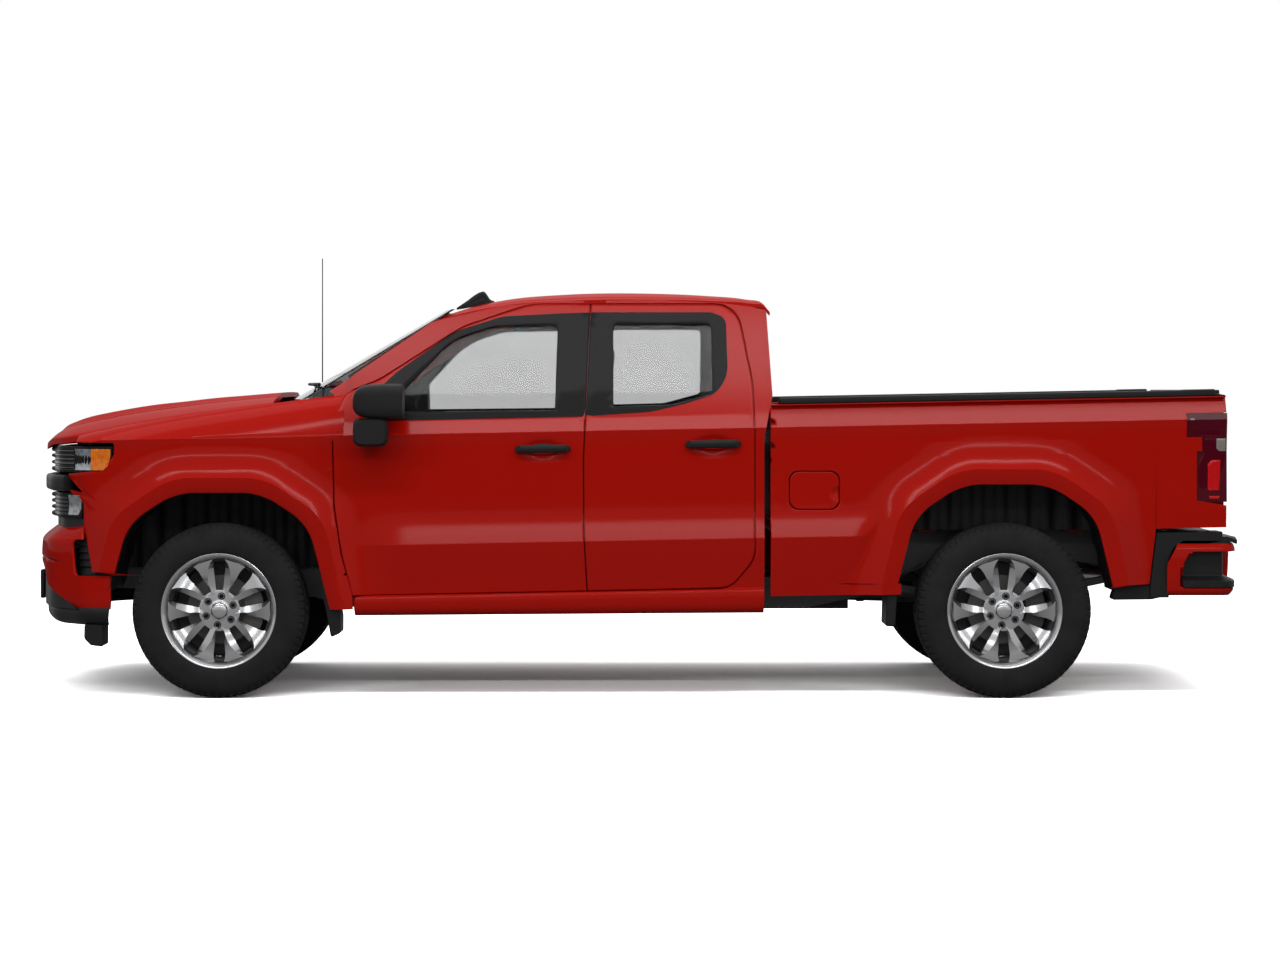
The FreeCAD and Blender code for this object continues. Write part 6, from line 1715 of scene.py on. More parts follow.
@dataclass
class NosePieces:
    """Lamps, grille, bumper and valance, as sheets over the length of the nose's line and the height."""

    line: PlanLine = field(default_factory=PlanLine.nose)

    def sheet(self, run: Array, height: Array, depth: Array, thick: float = 0.006) -> Shell:
        """A closed sheet whose front lies at depths behind the line.

        Args:
            run: rows by columns of lengths.
            height: the same for heights.
            depth: the same for depths.
            thick: between the front and the back.

        Returns:
            Its shell.
        """
        return Shell().slab(self.line.points(run, depth, height),
                            self.line.points(run, depth + thick, height))

    def patch(self, start: Array | float, end: Array | float, heights: Array,
              depth: float | Callable[..., Array], pitch: float = 0.010, roll: float = 0.003,
              thick: float = 0.006, rolled: Sequence[bool] = (True, True, True, True)) -> Shell:
        """A sheet between two ends on each row, with rolled edges.

        Args:
            start: length where each row starts.
            end: where it ends.
            heights: of the rows.
            depth: one depth, or a function of length and height.
            pitch: distance between columns.
            roll: radius of the edges.
            thick: of the sheet.
            rolled: whether the start, the end, the foot and the top are rolled.
        Returns:
            Its shell.
        """
        first, last = (np.broadcast_to(end, heights.shape).astype(float) for end in (start, end))
        run = between(first, last, pitch, (True, True))
        height = np.repeat(heights[:, None], run.shape[1], 1)
        deep = depth(run, height) if callable(depth) else np.full(run.shape, float(depth))
        gaps = (run - first[:, None], last[:, None] - run, height - heights[0], heights[-1] - height)
        edge = np.min([np.ones(run.shape)] + [gap for gap, used in zip(gaps, rolled) if used], 0)
        return self.sheet(run, height, deep + hem(edge, roll), thick)

    def build(self) -> None:
        """Makes the nose's pieces."""
        self.upper_lamps()
        self.lower_lamps()
        self.grille()
        self.bumper()
        self.valance()

    def upper_lamps(self) -> None:
        """Upper lamps: a black rim, a slatted dark part, a silver bowl and the ribbed amber side lamp."""
        n = self.line
        start, split, amber, end = n.at_y(0.575), n.at_x(-2.651), n.at_x(-2.563), n.at_x(-2.4545)
        heights = ruled(1.074, 1.200, 0.004)
        lean = np.interp(heights, [1.074, 1.100, 1.15, 1.200], [-0.052, -0.022, -0.004, 0.0])
        both_sides(self.patch(start, end + lean, heights, 0.010, 0.012, 0.002, 0.05), "lamp_rim",
                   Finishes.GLOSS_BLACK, instead_of="head_lamps")
        inner = ruled(1.086, 1.188, 0.003)
        lean = np.interp(inner, [1.086, 1.105, 1.15, 1.188], [-0.048, -0.026, -0.012, -0.010])

        def slats(run: Array, height: Array) -> Array:
            """Depth of the slatted part: a saw-tooth over the height, deepest under each slat."""
            return 0.006 + 0.010 * saw(height, 1.086, 0.017)

        def bowl(run: Array, height: Array) -> Array:
            """Depth of the bowl: stepped facets that deepen towards the middle."""
            middle = np.clip(1 - ((height - 1.137) / 0.052) ** 2, 0, 1)
            return 0.005 + 0.006 * middle + 0.0006 * wave(run, 0.018)

        def ribs(run: Array, height: Array) -> Array:
            """Depth of the amber lens: upright ribs over a low swell."""
            return 0.005 + 0.0016 * wave(run, 0.012) + 0.002 * np.cos((height - 1.137) * 60)

        for name, first, last, depth, pitch, finish, smooth in (
            ("slats", start + 0.012, split - 0.002, slats, 0.008, Finishes.SLATS, 20),
            ("bowl", split, amber - 0.001, bowl, 0.003, Finishes.BOWL, 20),
            ("amber", amber, end + lean, ribs, 0.0016, Finishes.AMBER, 40),
        ):
            both_sides(self.patch(first, last, inner, depth, pitch, 0.002), f"lamp_{name}", finish,
                       smooth=smooth)
        for index, height in enumerate(np.linspace(1.096, 1.176, 5)):
            rows = np.linspace(height, height + 0.0035, 3)
            both_sides(self.patch(start + 0.012, split - 0.004, rows, 0.0035, 0.012, 0.001, 0.012),
                       f"lamp_slat_{index + 1}", Finishes.TRIM_BRIGHT, smooth=40)

    def lower_lamps(self) -> None:
        """Lower lamps: a dark part with slats ahead of a silver bowl, in a black rim."""
        n = self.line
        start, split, end = n.at_y(0.575), n.at_x(-2.690), n.at_x(-2.613)
        heights = ruled(0.856, 0.976, 0.004)
        lean = np.interp(heights, [0.856, 0.880, 0.955, 0.976], [-0.012, 0.0, 0.0, -0.02])
        both_sides(self.patch(start, end + lean, heights, 0.012, 0.012, 0.003, 0.05), "lower_rim",
                   Finishes.GLOSS_BLACK)
        inner = ruled(0.870, 0.966, 0.003)
        lean = np.interp(inner, [0.870, 0.900, 0.945, 0.966], [-0.030, -0.010, -0.008, -0.02])

        def slats(run: Array, height: Array) -> Array:
            """Depth of the slatted part, as in the upper lamp."""
            return 0.007 + 0.009 * saw(height, 0.87, 0.019)

        def bowl(run: Array, height: Array) -> Array:
            """Depth of the bowl, as in the upper lamp."""
            middle = np.clip(1 - ((height - 0.918) / 0.05) ** 2, 0, 1)
            return 0.006 + 0.005 * middle + 0.0006 * wave(run, 0.016)

        both_sides(self.patch(start + 0.010, split - 0.002, inner, slats, 0.008, 0.002), "lower_slats",
                   Finishes.SLATS, smooth=20)
        both_sides(self.patch(split, end + lean, inner, bowl, 0.003, 0.002), "lower_bowl", Finishes.BOWL,
                   smooth=20)

    def grille(self) -> None:
        """Grille: a dark mesh behind leaf-shaped bars that reach the lamps, and the broad middle bar."""
        n = self.line
        reach, far = n.at_y(0.560), n.at_y(0.560) + 0.02

        def mesh(run: Array, height: Array) -> Array:
            """Depth of the mesh: rows of raised lozenges, the product of two crossed waves."""
            return 0.034 - 0.008 * np.abs(np.sin((run + height) * 88) * np.sin((run - height) * 88))

        keep(self.patch(-reach, reach, ruled(0.854, 1.194, 0.006), mesh, 0.008, 0.002, 0.008), "grille_mesh",
             Finishes.BLACK, "chassis", 60, ["grille"])
        across = np.linspace(-1, 1, 9)[:, None]
        run = np.repeat(np.linspace(-far, far, 120)[None], 9, 0)
        bow = 0.014 * np.sqrt(np.clip(1 - across ** 2, 0, 1)) * smooth_step(far - np.abs(run), 0.0, 0.05)
        for index, (height, tall) in enumerate(((0.868, 0.026), (0.900, 0.020), (0.930, 0.020),
                                                (0.960, 0.022), (1.086, 0.024), (1.118, 0.020),
                                                (1.150, 0.020), (1.180, 0.024))):
            keep(self.sheet(run, height + tall * across / 2 + 0 * run, 0.012 - bow, 0.030),
                 f"grille_bar_{index + 1}", Finishes.GLOSS_BLACK, "chassis", 40)
        reach = n.at_x(-2.612)
        keep(self.patch(-reach, reach, ruled(0.806, 0.858, 0.008), 0.030, 0.012, 0.002, 0.03), "grille_sill",
             Finishes.BLACK, "chassis", 40)

        def bar(run: Array, height: Array) -> Array:
            """Depth of the middle bar: full and flat, rolled back above and below."""
            return hem(0.039 - np.abs(height - 1.023), 0.017) - 0.028

        wide = n.at_x(-2.684)
        keep(self.patch(-wide, wide, ruled(0.984, 1.062, 0.005), bar, 0.012, 0.003, 0.055),
             "grille_bar_middle", Finishes.BLACK, "chassis", 40)

    def bumper(self) -> None:
        """Bumper: a painted skin in three bands about the corner vents, with black slats in the vents.

        The depth follows a smooth line over the height: proud over the face, then back to the grille.
        """
        n = self.line
        profile = [(0.4240, -0.018), (0.440, -0.034), (0.470, -0.044), (0.540, -0.048), (0.640, -0.048),
                   (0.720, -0.046), (0.752, -0.040), (0.775, -0.018), (0.798, 0.012), (0.812, 0.034),
                   (0.819, 0.055)]

        def depth(run: Array, height: Array) -> Array:
            """Depth of the skin, less proud at the sides than at the front."""
            side = smooth_step(np.abs(run), n.at_x(-2.72), n.at_x(-2.56))
            return eased(profile, height) * (1 - 0.72 * side) - 0.004 * side

        def opening(height: Array) -> Array:
            """Length at which the black intake ends: it narrows upwards and closes at the top."""
            return n.at_y(np.interp(height, [0.42, 0.43, 0.60, 0.655, 0.660], [0.935, 0.93, 0.70, 0.45, 0.0]))

        low = ruled(0.4245, 0.584, 0.006, (), (True, False))
        corner = n.at_x(np.interp(low, [0.42, 0.45, 0.584], [-2.462, -2.458, -2.459]))
        skin = self.patch(opening(low), corner, low, depth, 0.010, 0.005, rolled=(True, True, True, False))
        middle = ruled(0.584, 0.757, 0.006, (), (False, False))
        vent = n.at_x(np.interp(middle, [0.584, 0.60, 0.74, 0.757], [-2.614, -2.622, -2.634, -2.620]))
        skin.joined(self.patch(opening(middle), vent, middle, depth, 0.012, 0.005,
                               rolled=(False, True, False, False)))
        top = ruled(0.757, 0.8185, 0.006, (), (False, True))
        fender = n.at_x(np.interp(top, [0.757, 0.8185], [-2.590, -2.604]))
        skin.joined(self.patch(0.0, fender, top, depth, 0.012, 0.005, rolled=(False, True, False, True)))
        both_sides(skin, "front_bumper_skin", Finishes.PAINT, smooth=35, instead_of="front_bumper")
        slot = ruled(0.588, 0.756, 0.003)

        def slats(run: Array, height: Array) -> Array:
            """Depth of the vent: broad steps that lean in under each slat."""
            return 0.010 + 0.012 * saw(height, 0.588, 0.034)

        first = n.at_x(np.interp(slot, [0.588, 0.60, 0.74, 0.756], [-2.618, -2.626, -2.638, -2.626]))
        last = n.at_x(np.interp(slot, [0.588, 0.756], [-2.535, -2.580]))
        both_sides(self.patch(first, last, slot, slats, 0.008, 0.0, 0.02), "corner_vent", Finishes.BLACK,
                   smooth=30)
        both_sides(self.patch(n.at_x(-2.60), n.at_x(-2.462), ruled(0.5835, 0.592, 0.003), 0.004, 0.01, 0.0,
                              0.02),
                   "corner_sill", Finishes.BLACK)

    def valance(self) -> None:
        """The black air dam with its middle intake, and the bare plate bracket."""
        n = self.line
        profile = [(0.346, 0.030), (0.356, 0.004), (0.375, -0.012), (0.400, -0.018), (0.4238, -0.016),
                   (0.440, -0.006)]
        rows = ruled(0.3465, 0.4380, 0.006)
        end = n.at_x(np.interp(rows, [0.346, 0.352, 0.4235], [-2.484, -2.474, -2.466]))
        dam = self.patch(-end, end, rows, lambda run, height: eased(profile, height), 0.012, 0.003, 0.008)
        keep(dam, "air_dam", Finishes.BLACK, "chassis", 35, ["front_valance"])
        rows = ruled(0.4240, 0.668, 0.004)
        reach = n.at_y(np.interp(rows, [0.424, 0.43, 0.60, 0.655, 0.668], [0.937, 0.935, 0.71, 0.46, 0.40]))

        def intake(run: Array, height: Array) -> Array:
            """Depth of the intake: three deep slots between broad bars."""
            slots = smooth_step(np.abs(saw(height, 0.43, 0.05) - 0.5), 0.12, 0.24)
            return -0.030 + 0.024 * slots * smooth_step(n.at_y(0.42) - np.abs(run), 0.0, 0.02)

        keep(self.patch(-reach, reach, rows, intake, 0.012, 0.002, 0.01), "lower_intake", Finishes.BLACK,
             "chassis", 35)
        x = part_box("front_valance")[0][0]
        for name, low, high in (("bracket", (x, -0.158, 0.424), (x + 0.022, 0.158, 0.568)),
                                ("mount", (x + 0.018, -0.10, 0.45), (x + 0.10, 0.10, 0.54))):
            keep(Shell().tube(block(low, high, 0.006)), f"plate_{name}", Finishes.BLACK, "chassis", 40)


@dataclass
class RearBumper(NosePieces):
    """Rear bumper: a painted skin round a black corner step, a ribbed top pad and a bare plate pocket."""

    back: float = 2.9405
    line: PlanLine = field(default_factory=lambda: PlanLine.tail(RearBumper.back))

    def build(self) -> None:
        """Makes the bumper and the black pieces between it and the bed."""
        n = self.line
        profile = [(0.490, 0.030), (0.505, 0.014), (0.530, 0.008), (0.560, 0.004), (0.620, 0.0),
                   (0.700, 0.001), (0.722, 0.004), (0.733, 0.010), (0.738, 0.018)]

        def step_front(height: Array) -> Array:
            """Length at which the step's recess starts, on each height."""
            return n.at_x(np.interp(height, [0.520, 0.535, 0.580, 0.662, 0.700],
                                    [2.655, 2.644, 2.636, 2.664, 2.700]))

        inner = n.at_y(0.640)

        def recess(run: Array, height: Array) -> Array:
            """One inside the corner step, nought outside, by smooth steps over a few millimetres."""
            reach = np.abs(run)
            ends = (smooth_step(step_front(height) - reach, -0.001, 0.007)
                    * smooth_step(reach - inner, -0.001, 0.007))
            level = smooth_step(height, 0.524, 0.531) * (1 - smooth_step(height, 0.694, 0.701))
            return ends * level

        def skin(run: Array, height: Array) -> Array:
            """Depth of the painted skin: its line over the height, deep inside the step."""
            pocket = smooth_step(0.27 - np.abs(run), 0.0, 0.01) * smooth_step(height, 0.53, 0.54)
            return eased(profile, height) + 0.064 * recess(run, height) + 0.022 * pocket * (height < 0.732)

        rows = np.unique(np.concatenate([ruled(0.490, 0.738, 0.010, (), (True, True)),
                                         np.linspace(0.522, 0.534, 7), np.linspace(0.692, 0.703, 7)]))
        front = n.at_x(np.interp(rows, [0.490, 0.500, 0.640, 0.738], [2.580, 2.572, 2.570, 2.624]))
        both_sides(self.patch(0.0, front, rows, skin, 0.007, 0.0, 0.005), "rear_bumper_skin", Finishes.PAINT,
                   smooth=30, instead_of="rear_bumper")
        bowl = np.unique(np.concatenate([ruled(0.5285, 0.697, 0.006, (), (True, True)),
                                         np.linspace(0.545, 0.590, 16)]))

        def tread(run: Array, height: Array) -> Array:
            """Depth of the step: a shelf that leans out at the foot, with raised bars across it."""
            shelf = 1 - smooth_step(height, 0.556, 0.584)
            bars = 0.0025 * (wave(run, 0.018) > 0.2) * (height < 0.58)
            return 0.058 - 0.052 * shelf - bars

        both_sides(self.patch(inner + 0.005, step_front(bowl) - 0.005, bowl, tread, 0.0045, 0.0, 0.004),
                   "corner_step", Finishes.BLACK, smooth=25)
        pad = ruled(0.7375, 0.7705, 0.004, (), (False, True))

        def lean(run: Array, height: Array) -> Array:
            """Depth of the pad's edge: it leans in upwards, less so at the sides."""
            return 0.020 + 0.9 * (height - 0.7375) ** 1.4 * (1 - smooth_step(np.abs(run), 0.4, 0.9) * 0.4)

        end = n.at_x(np.interp(pad, [0.7375, 0.7705], [2.632, 2.672]))
        both_sides(self.patch(0.0, end, pad, lean, 0.012, 0.0, 0.05), "bumper_pad_edge", Finishes.BLACK,
                   smooth=40)
        x, y = np.meshgrid(np.linspace(2.672, self.back - 0.030, 30), np.linspace(0, -0.952, 100),
                           indexing="ij")
        round_off = np.clip((np.hypot(np.clip(x - 2.85, 0, 1), np.clip(-y - 0.89, 0, 1)) - 0.06) / 0.02, 0, 1)
        ribs = 0.0016 * (np.sin(y * 2 * math.pi / 0.024) > 0.2) * (x > 2.70) * (x < 2.89)
        top = np.stack([x, y, 0.7685 + ribs - 0.012 * round_off], -1)
        both_sides(Shell().slab(top, top - (0, 0, 0.02)), "bumper_pad", Finishes.BLACK, smooth=30)
        self.trims()

    def trims(self) -> None:
        """Black filler between the bed and the bumper, and the apron under the bed's rear corner."""
        filler = [(2.492, 0.480), (2.492, 0.545), (2.5225, 0.7905, 0.01), (2.700, 0.7935), (2.838, 0.7945),
                  (2.838, 0.7480), (2.650, 0.7480, 0.02), (2.606, 0.715, 0.02), (2.582, 0.660, 0.02),
                  (2.582, 0.480)]
        apron = [(2.310, 0.468, 0.01), (2.333, 0.538, 0.01), (2.490, 0.541), (2.515, 0.530), (2.578, 0.530),
                 (2.578, 0.487, 0.02), (2.500, 0.470, 0.03)]
        for name, outline, start, end, bevel in (("filler", filler, -0.966, -0.80, 0.003),
                                                 ("apron", apron, -0.955, -0.86, 0.004)):
            both_sides(prism(rounded(outline, 5), start, end, 1, bevel), f"quarter_{name}", Finishes.BLACK,
                       smooth=40)


@dataclass
class TailPieces:
    """Tail lamps, tailgate, rail caps with their end blocks, and the bed's floor."""

    cap_half: float = 0.0395
    cap_tall: float = 0.0155

    def build(self) -> None:
        """Makes the pieces of the bed's rear end."""
        self.lamps()
        self.tailgate()
        self.caps()
        self.floor()

    def lamp_part(self, outline: Sequence[Sequence[float]], proud: float, finish: Finish, name: str,
                  pitch: float = 0.006, relief: Callable[..., Array] | None = None) -> None:
        """One part of a lamp on the body side: rows within an outline, with rolled edges.

        Args:
            outline: stations and heights, with radii.
            proud: how far it stands off the side's surface.
            finish: its material.
            name: of the pair.
            pitch: between rows and columns.
            relief: extra depth as a function of station and height.
        """
        loop = rounded(outline, 6)
        rows = ruled(loop[:, 1].min() + 0.0004, loop[:, 1].max() - 0.0004, pitch)
        left, right = span(loop, rows)
        x = between(left, right, pitch, (True, True))
        z = np.repeat(rows[:, None], x.shape[1], 1)
        half = SIDE.half(x, z) + proud - hem(near(np.stack([x, z], -1), loop), 0.005)
        if relief:
            half = half - relief(x, z)
        face = np.stack([x, 0.35 * np.clip(x - 2.800, 0, 0.06) ** 1.5 - half, z], -1)
        both_sides(Shell().slab(face, face + (0, 0.012, 0)), name, finish, smooth=40)

    def lamps(self) -> None:
        """Tail lamps: the dark red cover in two parts, a bright block and bar low down, the pale reverse
        lens, and a painted highlight: a small pale patch on the upper lamp's front top corner.
        """
        self.lamp_part([(2.7175, 0.9395, 0.02), (2.7195, 1.120, 0.02), (2.746, 1.166, 0.02), (2.746, 1.242),
                        (2.850, 1.242), (2.850, 0.9395)], -0.004, Finishes.TAIL, "tail_lamp_lower")
        self.lamp_part([(2.6675, 1.262, 0.012), (2.6665, 1.340, 0.02), (2.676, 1.3585, 0.015),
                        (2.850, 1.3595), (2.850, 1.236), (2.746, 1.238, 0.02)], -0.004, Finishes.TAIL,
                       "tail_lamp_upper", 0.005, lambda x, z: 0.0012 * wave(z - 1.30, 0.022))
        self.lamp_part([(2.765, 0.990, 0.012), (2.765, 1.118, 0.02), (2.782, 1.137, 0.012),
                        (2.826, 1.137, 0.006), (2.822, 0.990, 0.012)], 0.0, Finishes.TAIL_BRIGHT,
                       "tail_lamp_block", 0.004,
                       lambda x, z: 0.0016 * np.abs(np.sin((x - 2.765) * math.pi / 0.010)))
        self.lamp_part([(2.772, 0.951, 0.003), (2.772, 0.966, 0.003), (2.822, 0.966, 0.003),
                        (2.822, 0.951, 0.003)], 0.0, Finishes.TAIL_BRIGHT, "tail_lamp_bar", 0.003)
        self.lamp_part([(2.820, 1.178, 0.006), (2.806, 1.190, 0.004), (2.806, 1.240, 0.003),
                        (2.851, 1.240, 0.002), (2.851, 1.178, 0.002)], 0.0, Finishes.PALE_LENS,
                       "reverse_lens", 0.003)
        # Painted highlight: a small patch in the pale lens colour on the upper lamp's front top corner stands
        # for a glint on the red cover.
        self.lamp_part([(2.676, 1.325, 0.004), (2.678, 1.348, 0.004), (2.704, 1.348, 0.004),
                        (2.704, 1.325, 0.004)], -0.0015, Finishes.PALE_LENS, "tail_lamp_painted_glint", 0.003)

    def tailgate(self) -> None:
        """Tailgate: a pressed outer skin with a lip, a recess for the bare handle, and a plain inner face."""
        low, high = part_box("tailgate")
        top = high[2] - 0.020
        z = ruled(low[2], top, 0.010, (1.12, 1.30))
        y = ruled(low[1], high[1], 0.012)
        height, wide = np.meshgrid(z, y, indexing="ij")
        share = (height - low[2]) / (high[2] - low[2])
        face = high[0] - 0.016 + 0.014 * smooth_step(share, 0.90, 0.985)
        panel = smooth_step(0.66 - np.abs(wide), 0.0, 0.012) * smooth_step(share, 0.16, 0.19) * (
            1 - smooth_step(share, 0.66, 0.69))
        pocket = smooth_step(0.135 - np.abs(wide), 0.0, 0.010) * smooth_step(height, 1.265, 1.275) * (
            1 - smooth_step(height, 1.335, 1.345))
        edge = np.minimum(np.minimum(wide - low[1], high[1] - wide),
                          np.minimum(height - low[2], top - height))
        x = face - 0.008 * panel - 0.022 * pocket - hem(edge, 0.006)
        outer = np.stack([x, wide, height], -1)
        ribs = 0.006 * smooth_step(0.60 - np.abs(wide), 0.0, 0.02) * (wave(height, 0.11) > 0.5)
        inner = np.stack([low[0] + ribs + hem(edge, 0.006), wide, height], -1)
        keep(Shell().slab(outer, inner), "tailgate_skin", Finishes.PAINT, "tailgate", 35, ["tailgate"])
        for name, first, last, radius in (
            ("handle", (high[0] - 0.030, -0.118, 1.297), (high[0] - 0.011, 0.118, 1.331), 0.005),
            ("cap", (low[0] + 0.004, low[1] + 0.004, top - 0.004),
             (high[0] - 0.006, high[1] - 0.004, high[2] - 0.003), 0.006),
        ):
            keep(Shell().tube(block(first, last, radius, 1)), f"tailgate_{name}", Finishes.BLACK, "tailgate",
                 40)
        bezel = rounded([(-0.128, 1.272, 0.01), (-0.128, 1.338, 0.01), (0.128, 1.338, 0.01),
                         (0.128, 1.272, 0.01)])
        keep(prism(bezel, high[0] - 0.044, high[0] - 0.034, 0, 0.002), "tailgate_bezel", Finishes.BLACK,
             "tailgate", 40)

    def caps(self) -> None:
        """Rail caps: a grained black moulding over each rail, with its raised block at the rear corner."""
        low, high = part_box("rail_caps")
        x = ruled(low[0], high[0], 0.020)[:, None]
        turn = turns(40)
        end = np.clip(np.minimum(x - low[0], high[0] - x) / 0.006, 0.5, 1)
        cosine, sine = powered(np.cos(turn), 0.30), powered(np.sin(turn), 0.30)
        rings = np.stack([x + 0 * turn, -0.9375 + self.cap_half * cosine * end,
                          raked(1.3615, x) + self.cap_tall + self.cap_tall * sine * end], -1)
        both_sides(Shell().tube(rings), "rail_cap", Finishes.BLACK, smooth=40, instead_of="rail_caps")
        for name, low, high, radius, start, rise in (
            ("end", (2.643, -0.976, 1.440), (2.803, -0.899, 1.4735), 0.008, 2.72, RAKE),
            ("tip", (2.800, -0.972, 1.4435), (2.8530, -0.905, 1.4555), 0.005, 2.80, -0.18),
        ):
            rings = block(low, high, radius)
            rings[..., 2] += rise * (rings[..., 0] - start)
            both_sides(Shell().tube(rings), f"rail_cap_{name}", Finishes.BLACK, smooth=40)

    def floor(self) -> None:
        """Bed liner: the floor pressed with ribs, as a wave clipped to flats."""
        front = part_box("bed_box")[0][0] + 0.035
        x, y = np.meshgrid(np.linspace(front, 2.79, 28), np.linspace(-0.63, 0.63, 190), indexing="ij")
        ribs = 0.008 * np.clip(wave(y, 0.12) * 3, -1, 1)
        ends = smooth_step(np.minimum(x - x[0, 0], x[-1, 0] - x), 0.03, 0.08)
        top = np.stack([x, y, 0.816 + ribs * ends], -1)
        keep(Shell().slab(top, top - (0, 0, 0.004)), "bed_floor_ribs", Finishes.PAINT, "chassis", 35)


@dataclass
class Seats:
    """Front seats and rear bench: crowned pads with sewn channels, on dark bases.

    A pad is a superellipsoid: each coordinate is a power of the cosines and sines of two angles. Its
    sides pull in between the corners, its faces are lower along the channels, and it leans and tapers
    from foot to top.
    """

    power: float = 0.34
    front_x: float = FRONT_AXLE + 1.190
    rear_x: float = FRONT_AXLE + 1.930

    def pad(self, low: Sequence[float], high: Sequence[float], wide: float, thick: tuple[float, float],
            channels: Sequence[float], upright: bool) -> Array:
        """Rings of one pad.

        Args:
            low: middle of one end: the foot of a back, or the front of a cushion.
            high: middle of the other end.
            wide: half width across the truck.
            thick: half thickness at both ends.
            channels: places of the sewn channels along the pad, from -1 to 1, over its middle half.
            upright: whether the pad stands, so that its thickness lies along the truck.

        Returns:
            rings by points by 3.
        """
        first, second = np.meshgrid(np.linspace(-1.5, 1.5, 51), turns(64), indexing="ij")
        across, level, along, through = (powered(part, self.power) for part in (
            np.sin(first), np.cos(first), np.cos(second), np.sin(second)))
        along, through = level * along, level * through
        pulled = 1 - 0.045 * (1 - along ** 2)
        seam = sum(np.exp(-((along - at) / 0.030) ** 2) for at in channels) * (np.abs(across) < 0.72)
        seam = seam + 1.2 * np.exp(-((np.abs(across) - 0.74) / 0.025) ** 2)
        crown = 0.80 + 0.20 * (1 - across ** 2) * (1 - 0.6 * along ** 2) - 0.09 * seam
        share = (along + 1) / 2
        start, end = np.array(low, float), np.array(high, float)
        half = (thick[0] + (thick[1] - thick[0]) * share) * through * crown
        lean = (end - start) / np.linalg.norm(end - start)
        normal = np.array([lean[2], 0, -lean[0]]) * (1 if upright else -1)
        points = start + (end - start) * share[..., None] + half[..., None] * normal
        points[..., 1] += across * wide * pulled
        return points

    def add(self, name: str, rings: Array, replaced: Sequence[str] = ()) -> None:
        keep(Shell().tube(rings), name, Finishes.CLOTH, "chassis", 60, replaced)

    def build(self) -> None:
        """Makes every pad, the bases and the head rests' posts."""
        x, flutes = self.front_x, (-0.45, -0.15, 0.15, 0.45)
        for side in Side:
            y, word = side.value * 0.400, side.word
            for name, low, high, wide, thick, channels, upright in (
                ("cushion", (0.010, 0.868), (0.500, 0.850), 0.258, (0.066, 0.060), flutes, False),
                ("back", (0.495, 0.820), (0.630, 1.492), 0.252, (0.068, 0.056), flutes, True),
                ("rest", (0.640, 1.520), (0.662, 1.678), 0.132, (0.048, 0.044), (), True),
            ):
                pad = self.pad((x + low[0], y, low[1]), (x + high[0], y, high[1]), wide, thick, channels,
                               upright)
                self.add(f"{name}_front_{word}", pad,
                         ["seats"] if (name, side) == ("cushion", Side.LEFT) else [])
            posts = Shell()
            for at in (y - 0.06, y + 0.06):
                posts.tube(sweep([(x + 0.625, at, 1.46), (x + 0.635, at, 1.50), (x + 0.645, at, 1.56)],
                                 0.006))
            keep(posts, f"rest_posts_front_{word}", Finishes.STEEL, "chassis")
            base = Shell().tube(block((x + 0.060, y - 0.200, 0.626), (x + 0.460, y + 0.200, 0.806), 0.02, 2))
            side_cover = block((x + 0.03, y - 0.262, 0.760), (x + 0.52, y - 0.236, 0.866), 0.010)
            base.tube(side_cover).tube(side_cover + (0, 0.498, 0))
            keep(base, f"seat_base_{word}", Finishes.TRIM, "chassis", 40)
        x = self.rear_x
        self.add("cushion_rear", self.pad((x + 0.010, 0, 0.862), (x + 0.455, 0, 0.845), 0.715, (0.062, 0.058),
                                          (-0.3, 0.1), False))
        self.add("back_rear", self.pad((x + 0.485, 0, 0.815), (x + 0.560, 0, 1.425), 0.715, (0.062, 0.044),
                                       (-0.4, 0.0, 0.4), True))
        for side in Side:
            y = side.value * 0.42
            self.add(f"rest_rear_{side.word}", self.pad((x + 0.562, y, 1.418), (x + 0.572, y, 1.540), 0.126,
                                                        (0.038, 0.034), (), True))
        base = Shell().tube(block((x + 0.150, -0.680, 0.626), (x + 0.450, 0.680, 0.806), 0.02, 2))
        keep(base, "seat_base_rear", Finishes.TRIM, "chassis", 40)


